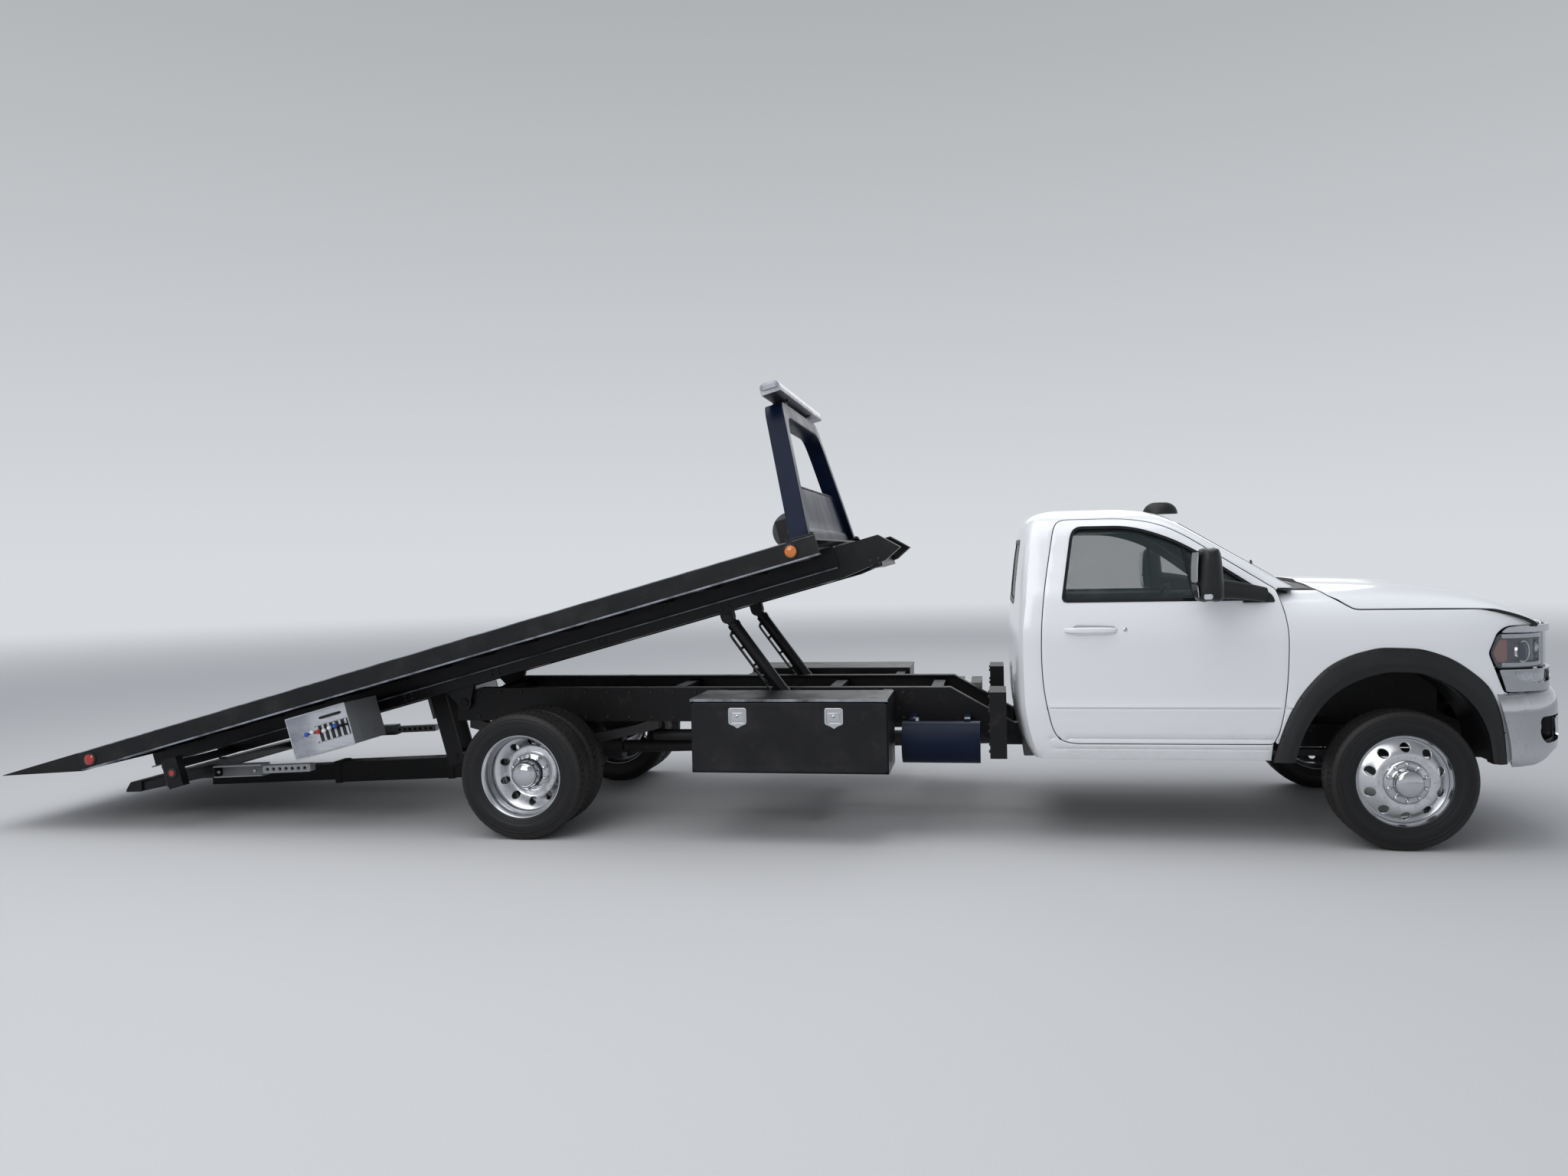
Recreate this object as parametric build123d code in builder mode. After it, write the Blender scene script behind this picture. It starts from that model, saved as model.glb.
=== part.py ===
from build123d import *
import os
from math import atan2, cos, degrees, hypot, radians, sin, tan

# A rollback tow truck: a two-door cab on a ladder chassis, with a sliding steel bed on a tilting frame.
# Millimetres. +X is forward, +Y is the truck's left, +Z is up. The wheels stand on Z = 0, and the origin
# lies under the middle of the parked truck's length and width.

# Chassis sizes
WHEELBASE = 5194
FRONT_REACH = 1000          # front axle to the tips of the tow hooks
FRONT_TRACK = 1798
DUAL_TRACK = 1925           # between the middles of the two pairs of rear tyres
DUAL_SPACING = 254
TYRE_RADIUS = 397
TYRE_WIDTH = 225
RIM_RADIUS = 248
RIM_LIP = 16
RIM_WIDTH = 194
RIM_OUTSET = 127            # middle of the rim to its mounting face
RAIL_TOP = 868
RAIL_DEPTH = 228
RAIL_OUT = 430              # middle of the truck to the outer face of a chassis rail
RAIL_FLANGE = 80
RAIL_WALL = 8
FRONT_RAIL_TOP = 640
FRONT_RAIL_DEPTH = 140

# Bed, tilting frame and their hinge
HINGE_BEHIND_AXLE = 700
HINGE_HEIGHT = 770
TILT = 15                   # degrees, as parked
HINGE_PIN_RADIUS = 30
FRAME_FLOOR = 103           # hinge to the underside of the tilting frame
FRAME_DEPTH = 205
FRAME_MID = 470             # middle of the truck to the middle of a frame rail
FRAME_WIDTH = 100
FRAME_WALL = 10
FRAME_REAR = 1900           # behind the hinge
FRAME_FRONT = 3201          # ahead of the hinge
BED_REAR = 3005             # behind the hinge, with the bed as parked
BED_LENGTH = 5791
BED_WIDTH = 2438
BED_RAIL_TOP = 388
BED_RAIL_HEIGHT = 125
BED_RAIL_WALL = 8
BED_LIP = 7
DECK_DROP = 30              # from the rail's top to the deck
DECK_THICK = 5
TAIL_LENGTH = 606
SLIDE_GAP = 0.5

# Running fits
PIN_GAP = 0.06
SEAT_GAP = 0.3

# Places worked out from the sizes above
C, S = cos(radians(TILT)), sin(radians(TILT))
TAIL_BEHIND_HINGE = BED_REAR * C + BED_RAIL_TOP * S
FRONT_AXLE_X = (WHEELBASE + HINGE_BEHIND_AXLE + TAIL_BEHIND_HINGE - FRONT_REACH) / 2
REAR_AXLE_X = FRONT_AXLE_X - WHEELBASE
HINGE_X = REAR_AXLE_X - HINGE_BEHIND_AXLE
AXLE_Z = TYRE_RADIUS

SIDE = Plane(origin=(0, 0, 0), x_dir=(1, 0, 0), z_dir=(0, -1, 0))
NOSE = Plane(origin=(FRONT_AXLE_X, 0, 0), x_dir=(1, 0, 0), z_dir=(0, -1, 0))
BED = Plane(origin=(HINGE_X, 0, HINGE_HEIGHT), x_dir=(C, 0, S), z_dir=(-S, 0, C))
BED_SIDE = Plane(origin=(HINGE_X, 0, HINGE_HEIGHT), x_dir=(C, 0, S), z_dir=(0, -1, 0))

SIDES = ((1, "left"), (-1, "right"))

os.makedirs("parts", exist_ok=True)


def finish(piece, name):
    """Labels one piece and writes it."""
    piece.part.label = name
    export_step(piece.part, f"parts/{name}.step")


def block(x, y, z, mode=Mode.ADD):
    """A box from three (low, high) pairs along the active plane's own axes."""
    with Locations(((x[0] + x[1]) / 2, (y[0] + y[1]) / 2, (z[0] + z[1]) / 2)):
        Box(abs(x[1] - x[0]), abs(y[1] - y[0]), abs(z[1] - z[0]), mode=mode)


def outline(points, mode=Mode.ADD):
    """A closed face through a list of corners, in the active sketch."""
    Polygon(*points, align=None, mode=mode)


def rod_along_y(radius, x, z, y, mode=Mode.ADD):
    """A round bar parallel to Y, from a (low, high) pair, in the active plane."""
    with Locations(Location((x, (y[0] + y[1]) / 2, z), (90, 0, 0))):
        Cylinder(radius, abs(y[1] - y[0]), mode=mode)


def bar_along_x(radius, x, y, z, mode=Mode.ADD):
    """A round bar parallel to X, from a (low, high) pair, in the active plane."""
    with Locations(Location(((x[0] + x[1]) / 2, y, z), (0, 90, 0))):
        Cylinder(radius, abs(x[1] - x[0]), mode=mode)


# Chassis frame
REAR_END = -WHEELBASE - HINGE_BEHIND_AXLE - 70
RAIL_STEP = -2550
RAIL_SPLICE = RAIL_STEP + 400                   # where the front section is bolted on
RAIL_FRONT = 820
FRONT_RAIL_FLOOR = FRONT_RAIL_TOP - FRONT_RAIL_DEPTH
RAIL_OUTLINE = [
    (REAR_END, RAIL_TOP - RAIL_DEPTH), (REAR_END, RAIL_TOP - 68), (REAR_END + 164, RAIL_TOP),
    (RAIL_STEP, RAIL_TOP), (RAIL_SPLICE, FRONT_RAIL_TOP), (RAIL_SPLICE, FRONT_RAIL_FLOOR),
    (RAIL_SPLICE - 60, FRONT_RAIL_FLOOR), (RAIL_STEP - 60, RAIL_TOP - RAIL_DEPTH)]
FRONT_RAIL_OUTLINE = [
    (RAIL_SPLICE, FRONT_RAIL_FLOOR), (RAIL_SPLICE, FRONT_RAIL_TOP), (RAIL_FRONT, FRONT_RAIL_TOP),
    (RAIL_FRONT, FRONT_RAIL_FLOOR)]
REAR_MEMBERS = (-5760, -4450, -3345, -2650)     # from the front axle
FRONT_MEMBERS = (-1420, 740)
LIFT_Y = 490                # middle of the truck to a lift cylinder
LIFT_EYE = 34
LIFT_FOOT = (-3345, 450)    # lower pin, from the front axle and the ground
LIFT_TOP = (1980, 65)       # upper pin, from the hinge, along and square to the bed
BOX_REAR, BOX_FRONT = -4090, -2890
BOX_IN, BOX_OUT = 730, 1170
BOX_FLOOR, BOX_TOP = 435, 870
BOX_HANGERS = (BOX_REAR + 40, BOX_FRONT - 60)
FOOT_X, FOOT_Z = FRONT_AXLE_X + LIFT_FOOT[0], LIFT_FOOT[1]


def rail(side, corners):
    """One channel rail of the active part: a solid from its outline, hollowed from the inner side."""
    with BuildSketch(Plane(origin=(FRONT_AXLE_X, side * RAIL_OUT, 0), x_dir=(1, 0, 0), z_dir=(0, -1, 0))) as web:
        outline(corners)
    extrude(web.sketch, amount=side * RAIL_FLANGE)
    with BuildSketch(Plane(origin=(FRONT_AXLE_X, side * (RAIL_OUT - RAIL_WALL), 0), x_dir=(1, 0, 0),
                           z_dir=(0, -1, 0))) as hollow:
        outline(corners)
        offset(amount=-RAIL_WALL, mode=Mode.REPLACE)
    extrude(hollow.sketch, amount=side * RAIL_FLANGE, mode=Mode.SUBTRACT)


with BuildPart() as chassis_frame:
    for side, name in SIDES:
        rail(side, RAIL_OUTLINE)
        for x in BOX_HANGERS:
            block((FRONT_AXLE_X + x - 30, FRONT_AXLE_X + x + 30),
                  (side * (RAIL_OUT - RAIL_WALL), side * BOX_IN), (RAIL_TOP - 88, RAIL_TOP - 8))
        # Brackets for the feet of the lift cylinders
        block((FOOT_X - 75, FOOT_X + 75), (side * (RAIL_OUT - 4), side * (LIFT_Y - 45)), (FOOT_Z - 110, 700))
        block((FOOT_X - 75, FOOT_X + 75), (side * (LIFT_Y + 45), side * (LIFT_Y + 57)), (FOOT_Z - 110, FOOT_Z + 90))
        block((FOOT_X - 75, FOOT_X + 75), (side * (LIFT_Y - 50), side * (LIFT_Y + 50)),
              (FOOT_Z - 110, FOOT_Z - 98))
        for y in ((LIFT_Y - 46, LIFT_Y - 28), (LIFT_Y + 28, LIFT_Y + 46)):
            rod_along_y(30, FOOT_X, FOOT_Z, (side * y[0], side * y[1]))
    for x in REAR_MEMBERS:
        block((FRONT_AXLE_X + x - 40, FRONT_AXLE_X + x + 40), (-RAIL_OUT + 4, RAIL_OUT - 4),
              (RAIL_TOP - 110, RAIL_TOP - 30))
    rod_along_y(HINGE_PIN_RADIUS, HINGE_X, HINGE_HEIGHT, (-RAIL_OUT - 50, RAIL_OUT + 50))
finish(chassis_frame, "chassis_frame")

# Front section of the frame; a post for the nose and a tow hook seat on each rail's end
with BuildPart() as front_frame:
    for side, name in SIDES:
        rail(side, FRONT_RAIL_OUTLINE)
    for x in FRONT_MEMBERS:
        block((FRONT_AXLE_X + x - 40, FRONT_AXLE_X + x + 40), (-RAIL_OUT + 4, RAIL_OUT - 4),
              (FRONT_RAIL_TOP - 60, FRONT_RAIL_TOP - 4))
    for side, name in SIDES:
        block((FRONT_AXLE_X + RAIL_FRONT + SEAT_GAP, FRONT_AXLE_X + RAIL_FRONT + 25),
              (side * 350, side * 374), (560, 897))
        block((FRONT_AXLE_X + RAIL_FRONT + SEAT_GAP, FRONT_AXLE_X + FRONT_REACH),
              (side * 376, side * 404), (600, FRONT_RAIL_TOP))
finish(front_frame, "front_frame")

# Axles, springs and knuckles
KING_Y = 700
KING_RADIUS = 20
SPINDLE_RADIUS = 35
SPRING_Y = RAIL_OUT - RAIL_FLANGE / 2
with BuildPart() as front_axle:
    block((FRONT_AXLE_X - 45, FRONT_AXLE_X + 45), (-KING_Y + 30, KING_Y - 30), (AXLE_Z - 45, AXLE_Z + 45))
    for side, name in SIDES:
        with Locations((FRONT_AXLE_X, side * KING_Y, AXLE_Z)):
            Cylinder(42, 100)
            Cylinder(KING_RADIUS + PIN_GAP, 100, mode=Mode.SUBTRACT)
finish(front_axle, "front_axle")

for side, name in SIDES:
    with BuildPart() as knuckle:
        for z in (AXLE_Z - 75, AXLE_Z + 55):
            block((FRONT_AXLE_X - 45, FRONT_AXLE_X + 45), (side * (KING_Y - 40), side * (KING_Y + 80)),
                  (z, z + 20))
        block((FRONT_AXLE_X - 60, FRONT_AXLE_X + 60), (side * (KING_Y + 52), side * (KING_Y + 80)),
              (AXLE_Z - 75, AXLE_Z + 75))
        with Locations((FRONT_AXLE_X, side * KING_Y, AXLE_Z)):
            Cylinder(KING_RADIUS, 150)
        rod_along_y(SPINDLE_RADIUS, FRONT_AXLE_X, AXLE_Z, (side * (KING_Y + 70), side * 960))
    finish(knuckle, f"knuckle_{name}")

HUB_RADIUS = 45
with BuildPart() as rear_axle:
    rod_along_y(65, REAR_AXLE_X, AXLE_Z, (-700, 700))
    rod_along_y(HUB_RADIUS, REAR_AXLE_X, AXLE_Z, (-1060, 1060))
    with Locations((REAR_AXLE_X, 0, AXLE_Z)):
        Sphere(190)
    with BuildSketch(Plane.YZ.offset(REAR_AXLE_X)):
        with Locations((0, AXLE_Z)):
            Circle(80)
    extrude(amount=300)
finish(rear_axle, "rear_axle")

with BuildPart() as springs:
    for side, name in SIDES:
        block((FRONT_AXLE_X - 620, FRONT_AXLE_X + 620), (side * (SPRING_Y - 38), side * (SPRING_Y + 38)),
              (AXLE_Z + 45, AXLE_Z + 85))
        for x in (-600, 600):
            block((FRONT_AXLE_X + x - 30, FRONT_AXLE_X + x + 30),
                  (side * (SPRING_Y - 38), side * (SPRING_Y + 38)),
                  (AXLE_Z + 70, FRONT_RAIL_TOP - FRONT_RAIL_DEPTH))
        with BuildSketch(Plane(origin=(REAR_AXLE_X, side * (SPRING_Y - 38), 0), x_dir=(1, 0, 0),
                               z_dir=(0, -1, 0))):
            outline([(-680, RAIL_TOP - RAIL_DEPTH), (-680, 590), (-560, 560), (-120, AXLE_Z + 65),
                     (120, AXLE_Z + 65), (560, 560), (680, 590), (680, RAIL_TOP - RAIL_DEPTH),
                     (600, RAIL_TOP - RAIL_DEPTH), (500, 605), (120, AXLE_Z + 135),
                     (-120, AXLE_Z + 135), (-500, 605), (-600, RAIL_TOP - RAIL_DEPTH)])
        extrude(amount=-side * 76)
finish(springs, "springs")

# Engine, drive, tank and exhaust
with BuildPart() as engine_block:
    block((FRONT_AXLE_X - 360, FRONT_AXLE_X + 420), (-260, 260), (FRONT_RAIL_TOP + 20, 1190))
    block((FRONT_AXLE_X - 60, FRONT_AXLE_X + 60), (-RAIL_OUT + 10, RAIL_OUT - 10),
          (FRONT_RAIL_TOP, FRONT_RAIL_TOP + 30))
finish(engine_block, "engine_block")

SHAFT_FRONT = (-1150, 0, 520)
SHAFT_REAR = (306 - WHEELBASE, 0, AXLE_Z)
with BuildPart() as driveline:
    block((FRONT_AXLE_X - 1150, FRONT_AXLE_X - 370), (-170, 170), (430, FRONT_RAIL_TOP + 10))
    block((FRONT_AXLE_X - 1100, FRONT_AXLE_X - 1020), (-RAIL_OUT + RAIL_WALL, RAIL_OUT - RAIL_WALL),
          (FRONT_RAIL_TOP - 130, FRONT_RAIL_TOP - 80))
    shaft_start = Vector(FRONT_AXLE_X + SHAFT_FRONT[0], 0, SHAFT_FRONT[2])
    shaft_end = Vector(FRONT_AXLE_X + SHAFT_REAR[0], 0, SHAFT_REAR[2])
    with BuildSketch(Plane(origin=shaft_start, z_dir=shaft_end - shaft_start)):
        Circle(45)
    extrude(amount=(shaft_end - shaft_start).length)
finish(driveline, "driveline")

with BuildPart() as fuel_tank:
    block((FRONT_AXLE_X - 2840, FRONT_AXLE_X - 2360), (RAIL_OUT, 960), (400, 800))
    fillet(fuel_tank.edges().filter_by(Axis.X), radius=60)
finish(fuel_tank, "fuel_tank")

with BuildPart() as air_tank:
    bar_along_x(130, (FRONT_AXLE_X - 2840, FRONT_AXLE_X - 2360), -720, 560)
    for x in (-2780, -2440):
        block((FRONT_AXLE_X + x - 20, FRONT_AXLE_X + x + 20), (-720, -RAIL_OUT), (680, 700))
finish(air_tank, "air_tank")

PIPE_Y, PIPE_Z = -230, 520
with BuildPart() as exhaust:
    bar_along_x(38, (FRONT_AXLE_X - 4600, FRONT_AXLE_X - 1200), PIPE_Y, PIPE_Z)
    bar_along_x(75, (FRONT_AXLE_X - 4200, FRONT_AXLE_X - 3550), PIPE_Y, PIPE_Z)
    for x in (REAR_MEMBERS[1], REAR_MEMBERS[3]):
        block((FRONT_AXLE_X + x - 20, FRONT_AXLE_X + x + 20), (PIPE_Y - 6, PIPE_Y + 6),
              (PIPE_Z + 30, RAIL_TOP - 110))
finish(exhaust, "exhaust")

# Cab, as a body section along the truck cut to a side outline
CAB_BACK = -2175
HOOD_REAR = -425
HOOD_AXIS = (-427.5, 1540)
HOOD_OUTSIDE = ((1270, 930), (1420, 930), (1475, 860), (1515, 600), (1530, 200))
DOOR_REAR = -1990
CAB_NOSE = -600
CAB_FLOOR = 660
ROCKER = 500
# height and half width of the outside and of the inside
CAB_OUTSIDE = ((ROCKER, 955), (600, 985), (850, 1005), (1220, 1005), (1440, 965), (1885, 740), (1955, 600),
               (1990, 300))
CAB_INSIDE = ((CAB_FLOOR + 40, 860), (850, 905), (1220, 905), (1440, 875), (1850, 690), (1915, 570),
              (1950, 280))
# distance from the front axle and height
CAB_SIDE = [(CAB_NOSE, ROCKER), (CAB_NOSE, 1552), (-1200, 1945), (-1420, 2000), (-1900, 2000), (-2050, 1955),
            (-2110, 1811), (CAB_BACK, 1082), (CAB_BACK + 7, 916), (-2121, 608), (-2071, ROCKER)]
CAB_SIDE_INSIDE = [(CAB_NOSE - 40, CAB_FLOOR + 20), (CAB_NOSE - 40, 1530), (-1210, 1900), (-1430, 1960),
                   (-1890, 1960), (-2010, 1920), (-2070, 1811), (CAB_BACK + 45, 1082),
                   (CAB_BACK + 45, CAB_FLOOR + 20)]
DOOR_EDGE = [(-662, 1473), (-624, 1343), (-609, 1214), (-616, 1003), (-635, 815), (-664, 662), (-697, 602)]
DOOR_OUTLINE = [(-1846, 597), (-1920, 646), (DOOR_REAR - 1, 954), (DOOR_REAR + 2, 1388), (-1899, 1884),
                (-1862, 1925), (-1440, 1925), (-1215, 1862), (-670, 1490)] + DOOR_EDGE
WINDOW_OUTLINE = [(-1870, 1432), (-1800, 1850), (-1767, 1885), (-1455, 1883), (-1250, 1815), (-1086, 1725),
                  (-712, 1460), (-700, 1432)]
# the inner face of a door, by height and half width
DOOR_INSIDE = ((ROCKER - 20, 906), (1220, 906), (1440, 876), (1850, 691), (1915, 571), (1960, 300))
DOOR_GAP = 5
GLASS = 5
FENDER_TOP = 1417


def body_section(rows):
    """Half widths by height, mirrored to both sides."""
    right = [(w, z) for z, w in rows]
    left = [(-w, z) for z, w in reversed(rows)]
    return right + left


def section_prism(rows, x=(CAB_BACK - 50, -250), mode=Mode.ADD):
    """A body section, carried along the truck between two distances from the front axle."""
    with BuildSketch(Plane.YZ.offset(FRONT_AXLE_X + x[0])) as face:
        outline(body_section(rows))
    extrude(face.sketch, amount=x[1] - x[0], mode=mode)


def hinge_ear(y, x, mode=Mode.ADD):
    """One ear of a hood hinge: a round end about the hinge axis and a block down to what carries it."""
    rod_along_y(9, FRONT_AXLE_X + HOOD_AXIS[0], HOOD_AXIS[1], y, mode=mode)
    block((FRONT_AXLE_X + x[0], FRONT_AXLE_X + x[1]), y, (HOOD_AXIS[1] - 40, HOOD_AXIS[1] + 9), mode=mode)


def side_cut(points, side=0, mode=Mode.INTERSECT):
    """Keeps, or takes away, what lies behind a side outline, on one side of the truck or on both."""
    with BuildSketch(NOSE) as face:
        outline(points)
    if side:
        extrude(face.sketch, amount=-side * 1100, mode=mode)
    else:
        extrude(face.sketch, amount=1100, both=True, mode=mode)


with BuildPart() as cab_inside:
    section_prism(CAB_INSIDE)
    side_cut(CAB_SIDE_INSIDE)

with BuildPart() as doorway:
    section_prism([(z, w + 40) for z, w in CAB_OUTSIDE])
    with BuildSketch(NOSE):
        outline(DOOR_OUTLINE)
        offset(amount=DOOR_GAP, kind=Kind.INTERSECTION, mode=Mode.REPLACE)
    extrude(amount=1100, both=True, mode=Mode.INTERSECT)
    block((FRONT_AXLE_X - 720, FRONT_AXLE_X + CAB_NOSE + 20), (-1100, 1100), (600, FENDER_TOP + 5))
    section_prism([(z, w - 6) for z, w in DOOR_INSIDE], mode=Mode.SUBTRACT)

with BuildPart() as cab_shell:
    section_prism(CAB_OUTSIDE)
    side_cut(CAB_SIDE)
    block((FRONT_AXLE_X + CAB_BACK - 60, FRONT_AXLE_X + CAB_NOSE + 60), (-820, 820),
          (ROCKER - 10, CAB_FLOOR), mode=Mode.SUBTRACT)
    add(cab_inside.part, mode=Mode.SUBTRACT)
    add(doorway.part, mode=Mode.SUBTRACT)
    # Windscreen and rear window
    with BuildSketch(Plane.YZ.offset(FRONT_AXLE_X - 1200)):
        outline([(-790, 1575), (790, 1575), (650, 1885), (-650, 1885)])
    extrude(amount=800, mode=Mode.SUBTRACT)
    with BuildSketch(Plane.YZ.offset(FRONT_AXLE_X + CAB_BACK - 20)):
        outline([(-620, 1420), (620, 1420), (540, 1800), (-540, 1800)])
    extrude(amount=140, mode=Mode.SUBTRACT)
    # Scuttle ahead of the windscreen
    block((FRONT_AXLE_X + CAB_NOSE - 5, FRONT_AXLE_X + CAB_NOSE + 25), (-800, 800), (CAB_FLOOR, FENDER_TOP + 10))
    section_prism([(FENDER_TOP + 5, 930)] + list(HOOD_OUTSIDE[2:]), (CAB_NOSE - 5, HOOD_REAR - DOOR_GAP))
    for side, name in SIDES:
        hinge_ear((side * 534, side * 546), (-452, -431))
        rod_along_y(5 + PIN_GAP, FRONT_AXLE_X + HOOD_AXIS[0], HOOD_AXIS[1], (side * 530, side * 550),
                    mode=Mode.SUBTRACT)
finish(cab_shell, "cab_shell")

with BuildPart() as windscreen:
    side_cut([(-640, 1576), (-652, 1576), (-1137, 1884), (-1125, 1884)], mode=Mode.ADD)
    with BuildSketch(Plane.YZ.offset(FRONT_AXLE_X - 1200)):
        outline([(-789, 1576), (789, 1576), (649, 1884), (-649, 1884)])
    extrude(amount=700, mode=Mode.INTERSECT)

with BuildPart() as rear_window:
    side_cut([(-2136, 1421), (-2131, 1421), (-2092, 1799), (-2097, 1799)], mode=Mode.ADD)
    with BuildSketch(Plane.YZ.offset(FRONT_AXLE_X + CAB_BACK - 20)):
        outline([(-619, 1421), (619, 1421), (539, 1799), (-539, 1799)])
    extrude(amount=200, mode=Mode.INTERSECT)

with BuildPart() as cab_glass:
    add(windscreen.part)
    add(rear_window.part)
finish(cab_glass, "cab_glass")

for side, name in SIDES:
    with BuildPart() as door:
        section_prism(CAB_OUTSIDE)
        side_cut(DOOR_OUTLINE, side)
        section_prism(DOOR_INSIDE, mode=Mode.SUBTRACT)
        side_cut(WINDOW_OUTLINE, side, mode=Mode.SUBTRACT)
    finish(door, f"door_{name}")
    with BuildPart() as door_glass:
        with BuildSketch(Plane.YZ.offset(FRONT_AXLE_X + CAB_BACK)):
            outline([(side * 930, 1430), (side * (930 + GLASS), 1430), (side * (706 + GLASS), 1890),
                     (side * 706, 1890)])
        extrude(amount=1700)
        side_cut(WINDOW_OUTLINE, side)
    finish(door_glass, f"door_glass_{name}")
    with BuildPart() as mirror:
        block((FRONT_AXLE_X - 1085, FRONT_AXLE_X - 985), (side * 1090, side * 1330), (1430, 1740))
        fillet(mirror.edges().filter_by(Axis.Y), radius=24)
        block((FRONT_AXLE_X - 1000, FRONT_AXLE_X - 700), (side * 1060, side * 1200), (1470, 1510))
        block((FRONT_AXLE_X - 740, FRONT_AXLE_X - 660), (side * 973, side * 1070), (1400, 1510))
    finish(mirror, f"mirror_{name}")

# Inside the cab
SEAT_FLOOR = CAB_FLOOR + 40
with BuildPart() as seat:
    with BuildSketch(NOSE):
        outline([(-1350, SEAT_FLOOR), (-1320, 1000), (-1250, 1080), (-1290, 1130), (-1760, 1080),
                 (-1930, 1600), (-2020, 1620), (-2040, 1560), (-1880, 1000), (-1850, SEAT_FLOOR)])
    extrude(amount=660, both=True)
finish(seat, "seat")

WHEEL_TILT = 24
STEER_Y = 400
steer_plane = Plane(origin=(FRONT_AXLE_X - 1150, STEER_Y, 1320),
                    z_dir=(-cos(radians(WHEEL_TILT)), 0, sin(radians(WHEEL_TILT))))
with BuildPart() as dashboard:
    with BuildSketch(NOSE):
        outline([(-640, 1130), (-640, 1500), (-800, 1470), (-940, 1400), (-960, 1250), (-900, 1100)])
    extrude(amount=820, both=True)
    with BuildSketch(steer_plane.offset(-260)):
        Circle(30.3)
    extrude(amount=240, mode=Mode.SUBTRACT)
finish(dashboard, "dashboard")

with BuildPart(steer_plane) as steering_wheel:
    Torus(180, 15)
    Cylinder(60, 40)
    Box(350, 30, 20)
    with Locations((0, 0, -120)):
        Cylinder(30, 220)
finish(steering_wheel, "steering_wheel")

# Hood, fenders and nose
NOSE_X = 900
SKIN = 25
HOOD_SIDE = [(HOOD_REAR, 1422), (HOOD_REAR, 1530), (0, 1512), (400, 1470), (640, 1400), (760, 1340),
             (860, 1278), (700, 1278), (640, 1332), (450, 1422)]
HOOD_SIDE_INSIDE = [(HOOD_REAR - 10, 1270), (HOOD_REAR - 10, 1505), (0, 1487), (395, 1445), (630, 1376),
                    (745, 1320), (815, 1270)]
FENDER_OUTSIDE = ((ROCKER, 985), (850, 1005), (1220, 1005), (1330, 985), (1425, 930))
FENDER_REAR = -700
LAMP_REAR, LAMP_LOW, LAMP_HIGH = 455, 1035, 1225
NOSE_LOW, NOSE_HIGH = 897, 1273
FENDER_SIDE = [(-595, ROCKER), (-595, 605), (-692, 605)] + [(x + DOOR_GAP, z) for x, z in reversed(DOOR_EDGE[1:-1])] + [(-640, FENDER_TOP), (447, FENDER_TOP), (637, 1327), (690, NOSE_HIGH + 3),
               (637, NOSE_HIGH + 3), (637, LAMP_HIGH + 3), (LAMP_REAR - 3, LAMP_HIGH + 3),
               (LAMP_REAR - 3, LAMP_LOW - 3), (637, LAMP_LOW - 3), (637, NOSE_LOW), (595, 890), (590, ROCKER), (0, ROCKER)]
# edges of a wheel flare, from the front axle and the ground
FLARE_OUTER = [(-704, ROCKER), (-645, 690), (-579, 839), (-496, 956), (-385, 1061), (-233, 1130), (-100, 1155),
               (50, 1150), (200, 1110), (340, 1025), (454, 905), (510, 720), (531, ROCKER)]
FLARE_INNER = [(-582, ROCKER), (-542, 633), (-486, 745), (-398, 862), (-288, 944), (-179, 990), (-60, 1014),
               (60, 1010), (190, 962), (300, 885), (390, 770), (440, 640), (457, ROCKER)]
FLARE_LIP = 22
PLAN_CORNER, PLAN_WIDE = 700, 950


def nose_cut(inset, height, mode=Mode.INTERSECT):
    """Keeps what lies behind the nose seen from above: one long arc, and sides that widen rearwards."""
    corner, front = FRONT_AXLE_X + PLAN_CORNER - inset, FRONT_AXLE_X + NOSE_X - inset
    with BuildSketch(Plane.XY.offset(height[0])) as face:
        with BuildLine():
            arc = ThreePointArc((corner, -PLAN_WIDE), (front, 0), (corner, PLAN_WIDE))
            Polyline(arc @ 1, (FRONT_AXLE_X + 200, 1010), (FRONT_AXLE_X - 1000, 1010),
                     (FRONT_AXLE_X - 1000, -1010), (FRONT_AXLE_X + 200, -1010), arc @ 0)
        make_face()
    extrude(face.sketch, amount=height[1] - height[0], mode=mode)


with BuildPart() as hood_inside:
    section_prism([(z, w - SKIN) for z, w in HOOD_OUTSIDE], (HOOD_REAR - 10, 880))
    side_cut(HOOD_SIDE_INSIDE)
    nose_cut(SKIN, (1200, 1600))

with BuildPart() as hood:
    section_prism(HOOD_OUTSIDE, (HOOD_REAR, 900))
    side_cut(HOOD_SIDE)
    nose_cut(0, (1200, 1600))
    add(hood_inside.part, mode=Mode.SUBTRACT)
    for side, name in SIDES:
        hinge_ear((side * 520, side * 532), (-424, -404))
        rod_along_y(5, FRONT_AXLE_X + HOOD_AXIS[0], HOOD_AXIS[1], (side * 526, side * 546))
finish(hood, "hood")


def lip(points, out):
    """The arch pushed outwards from the middle of the wheel."""
    return [(x + out * x / hypot(x, z - 450), z + (out * (z - 450) / hypot(x, z - 450) if z > ROCKER else 0))
            for x, z in points]


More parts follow.
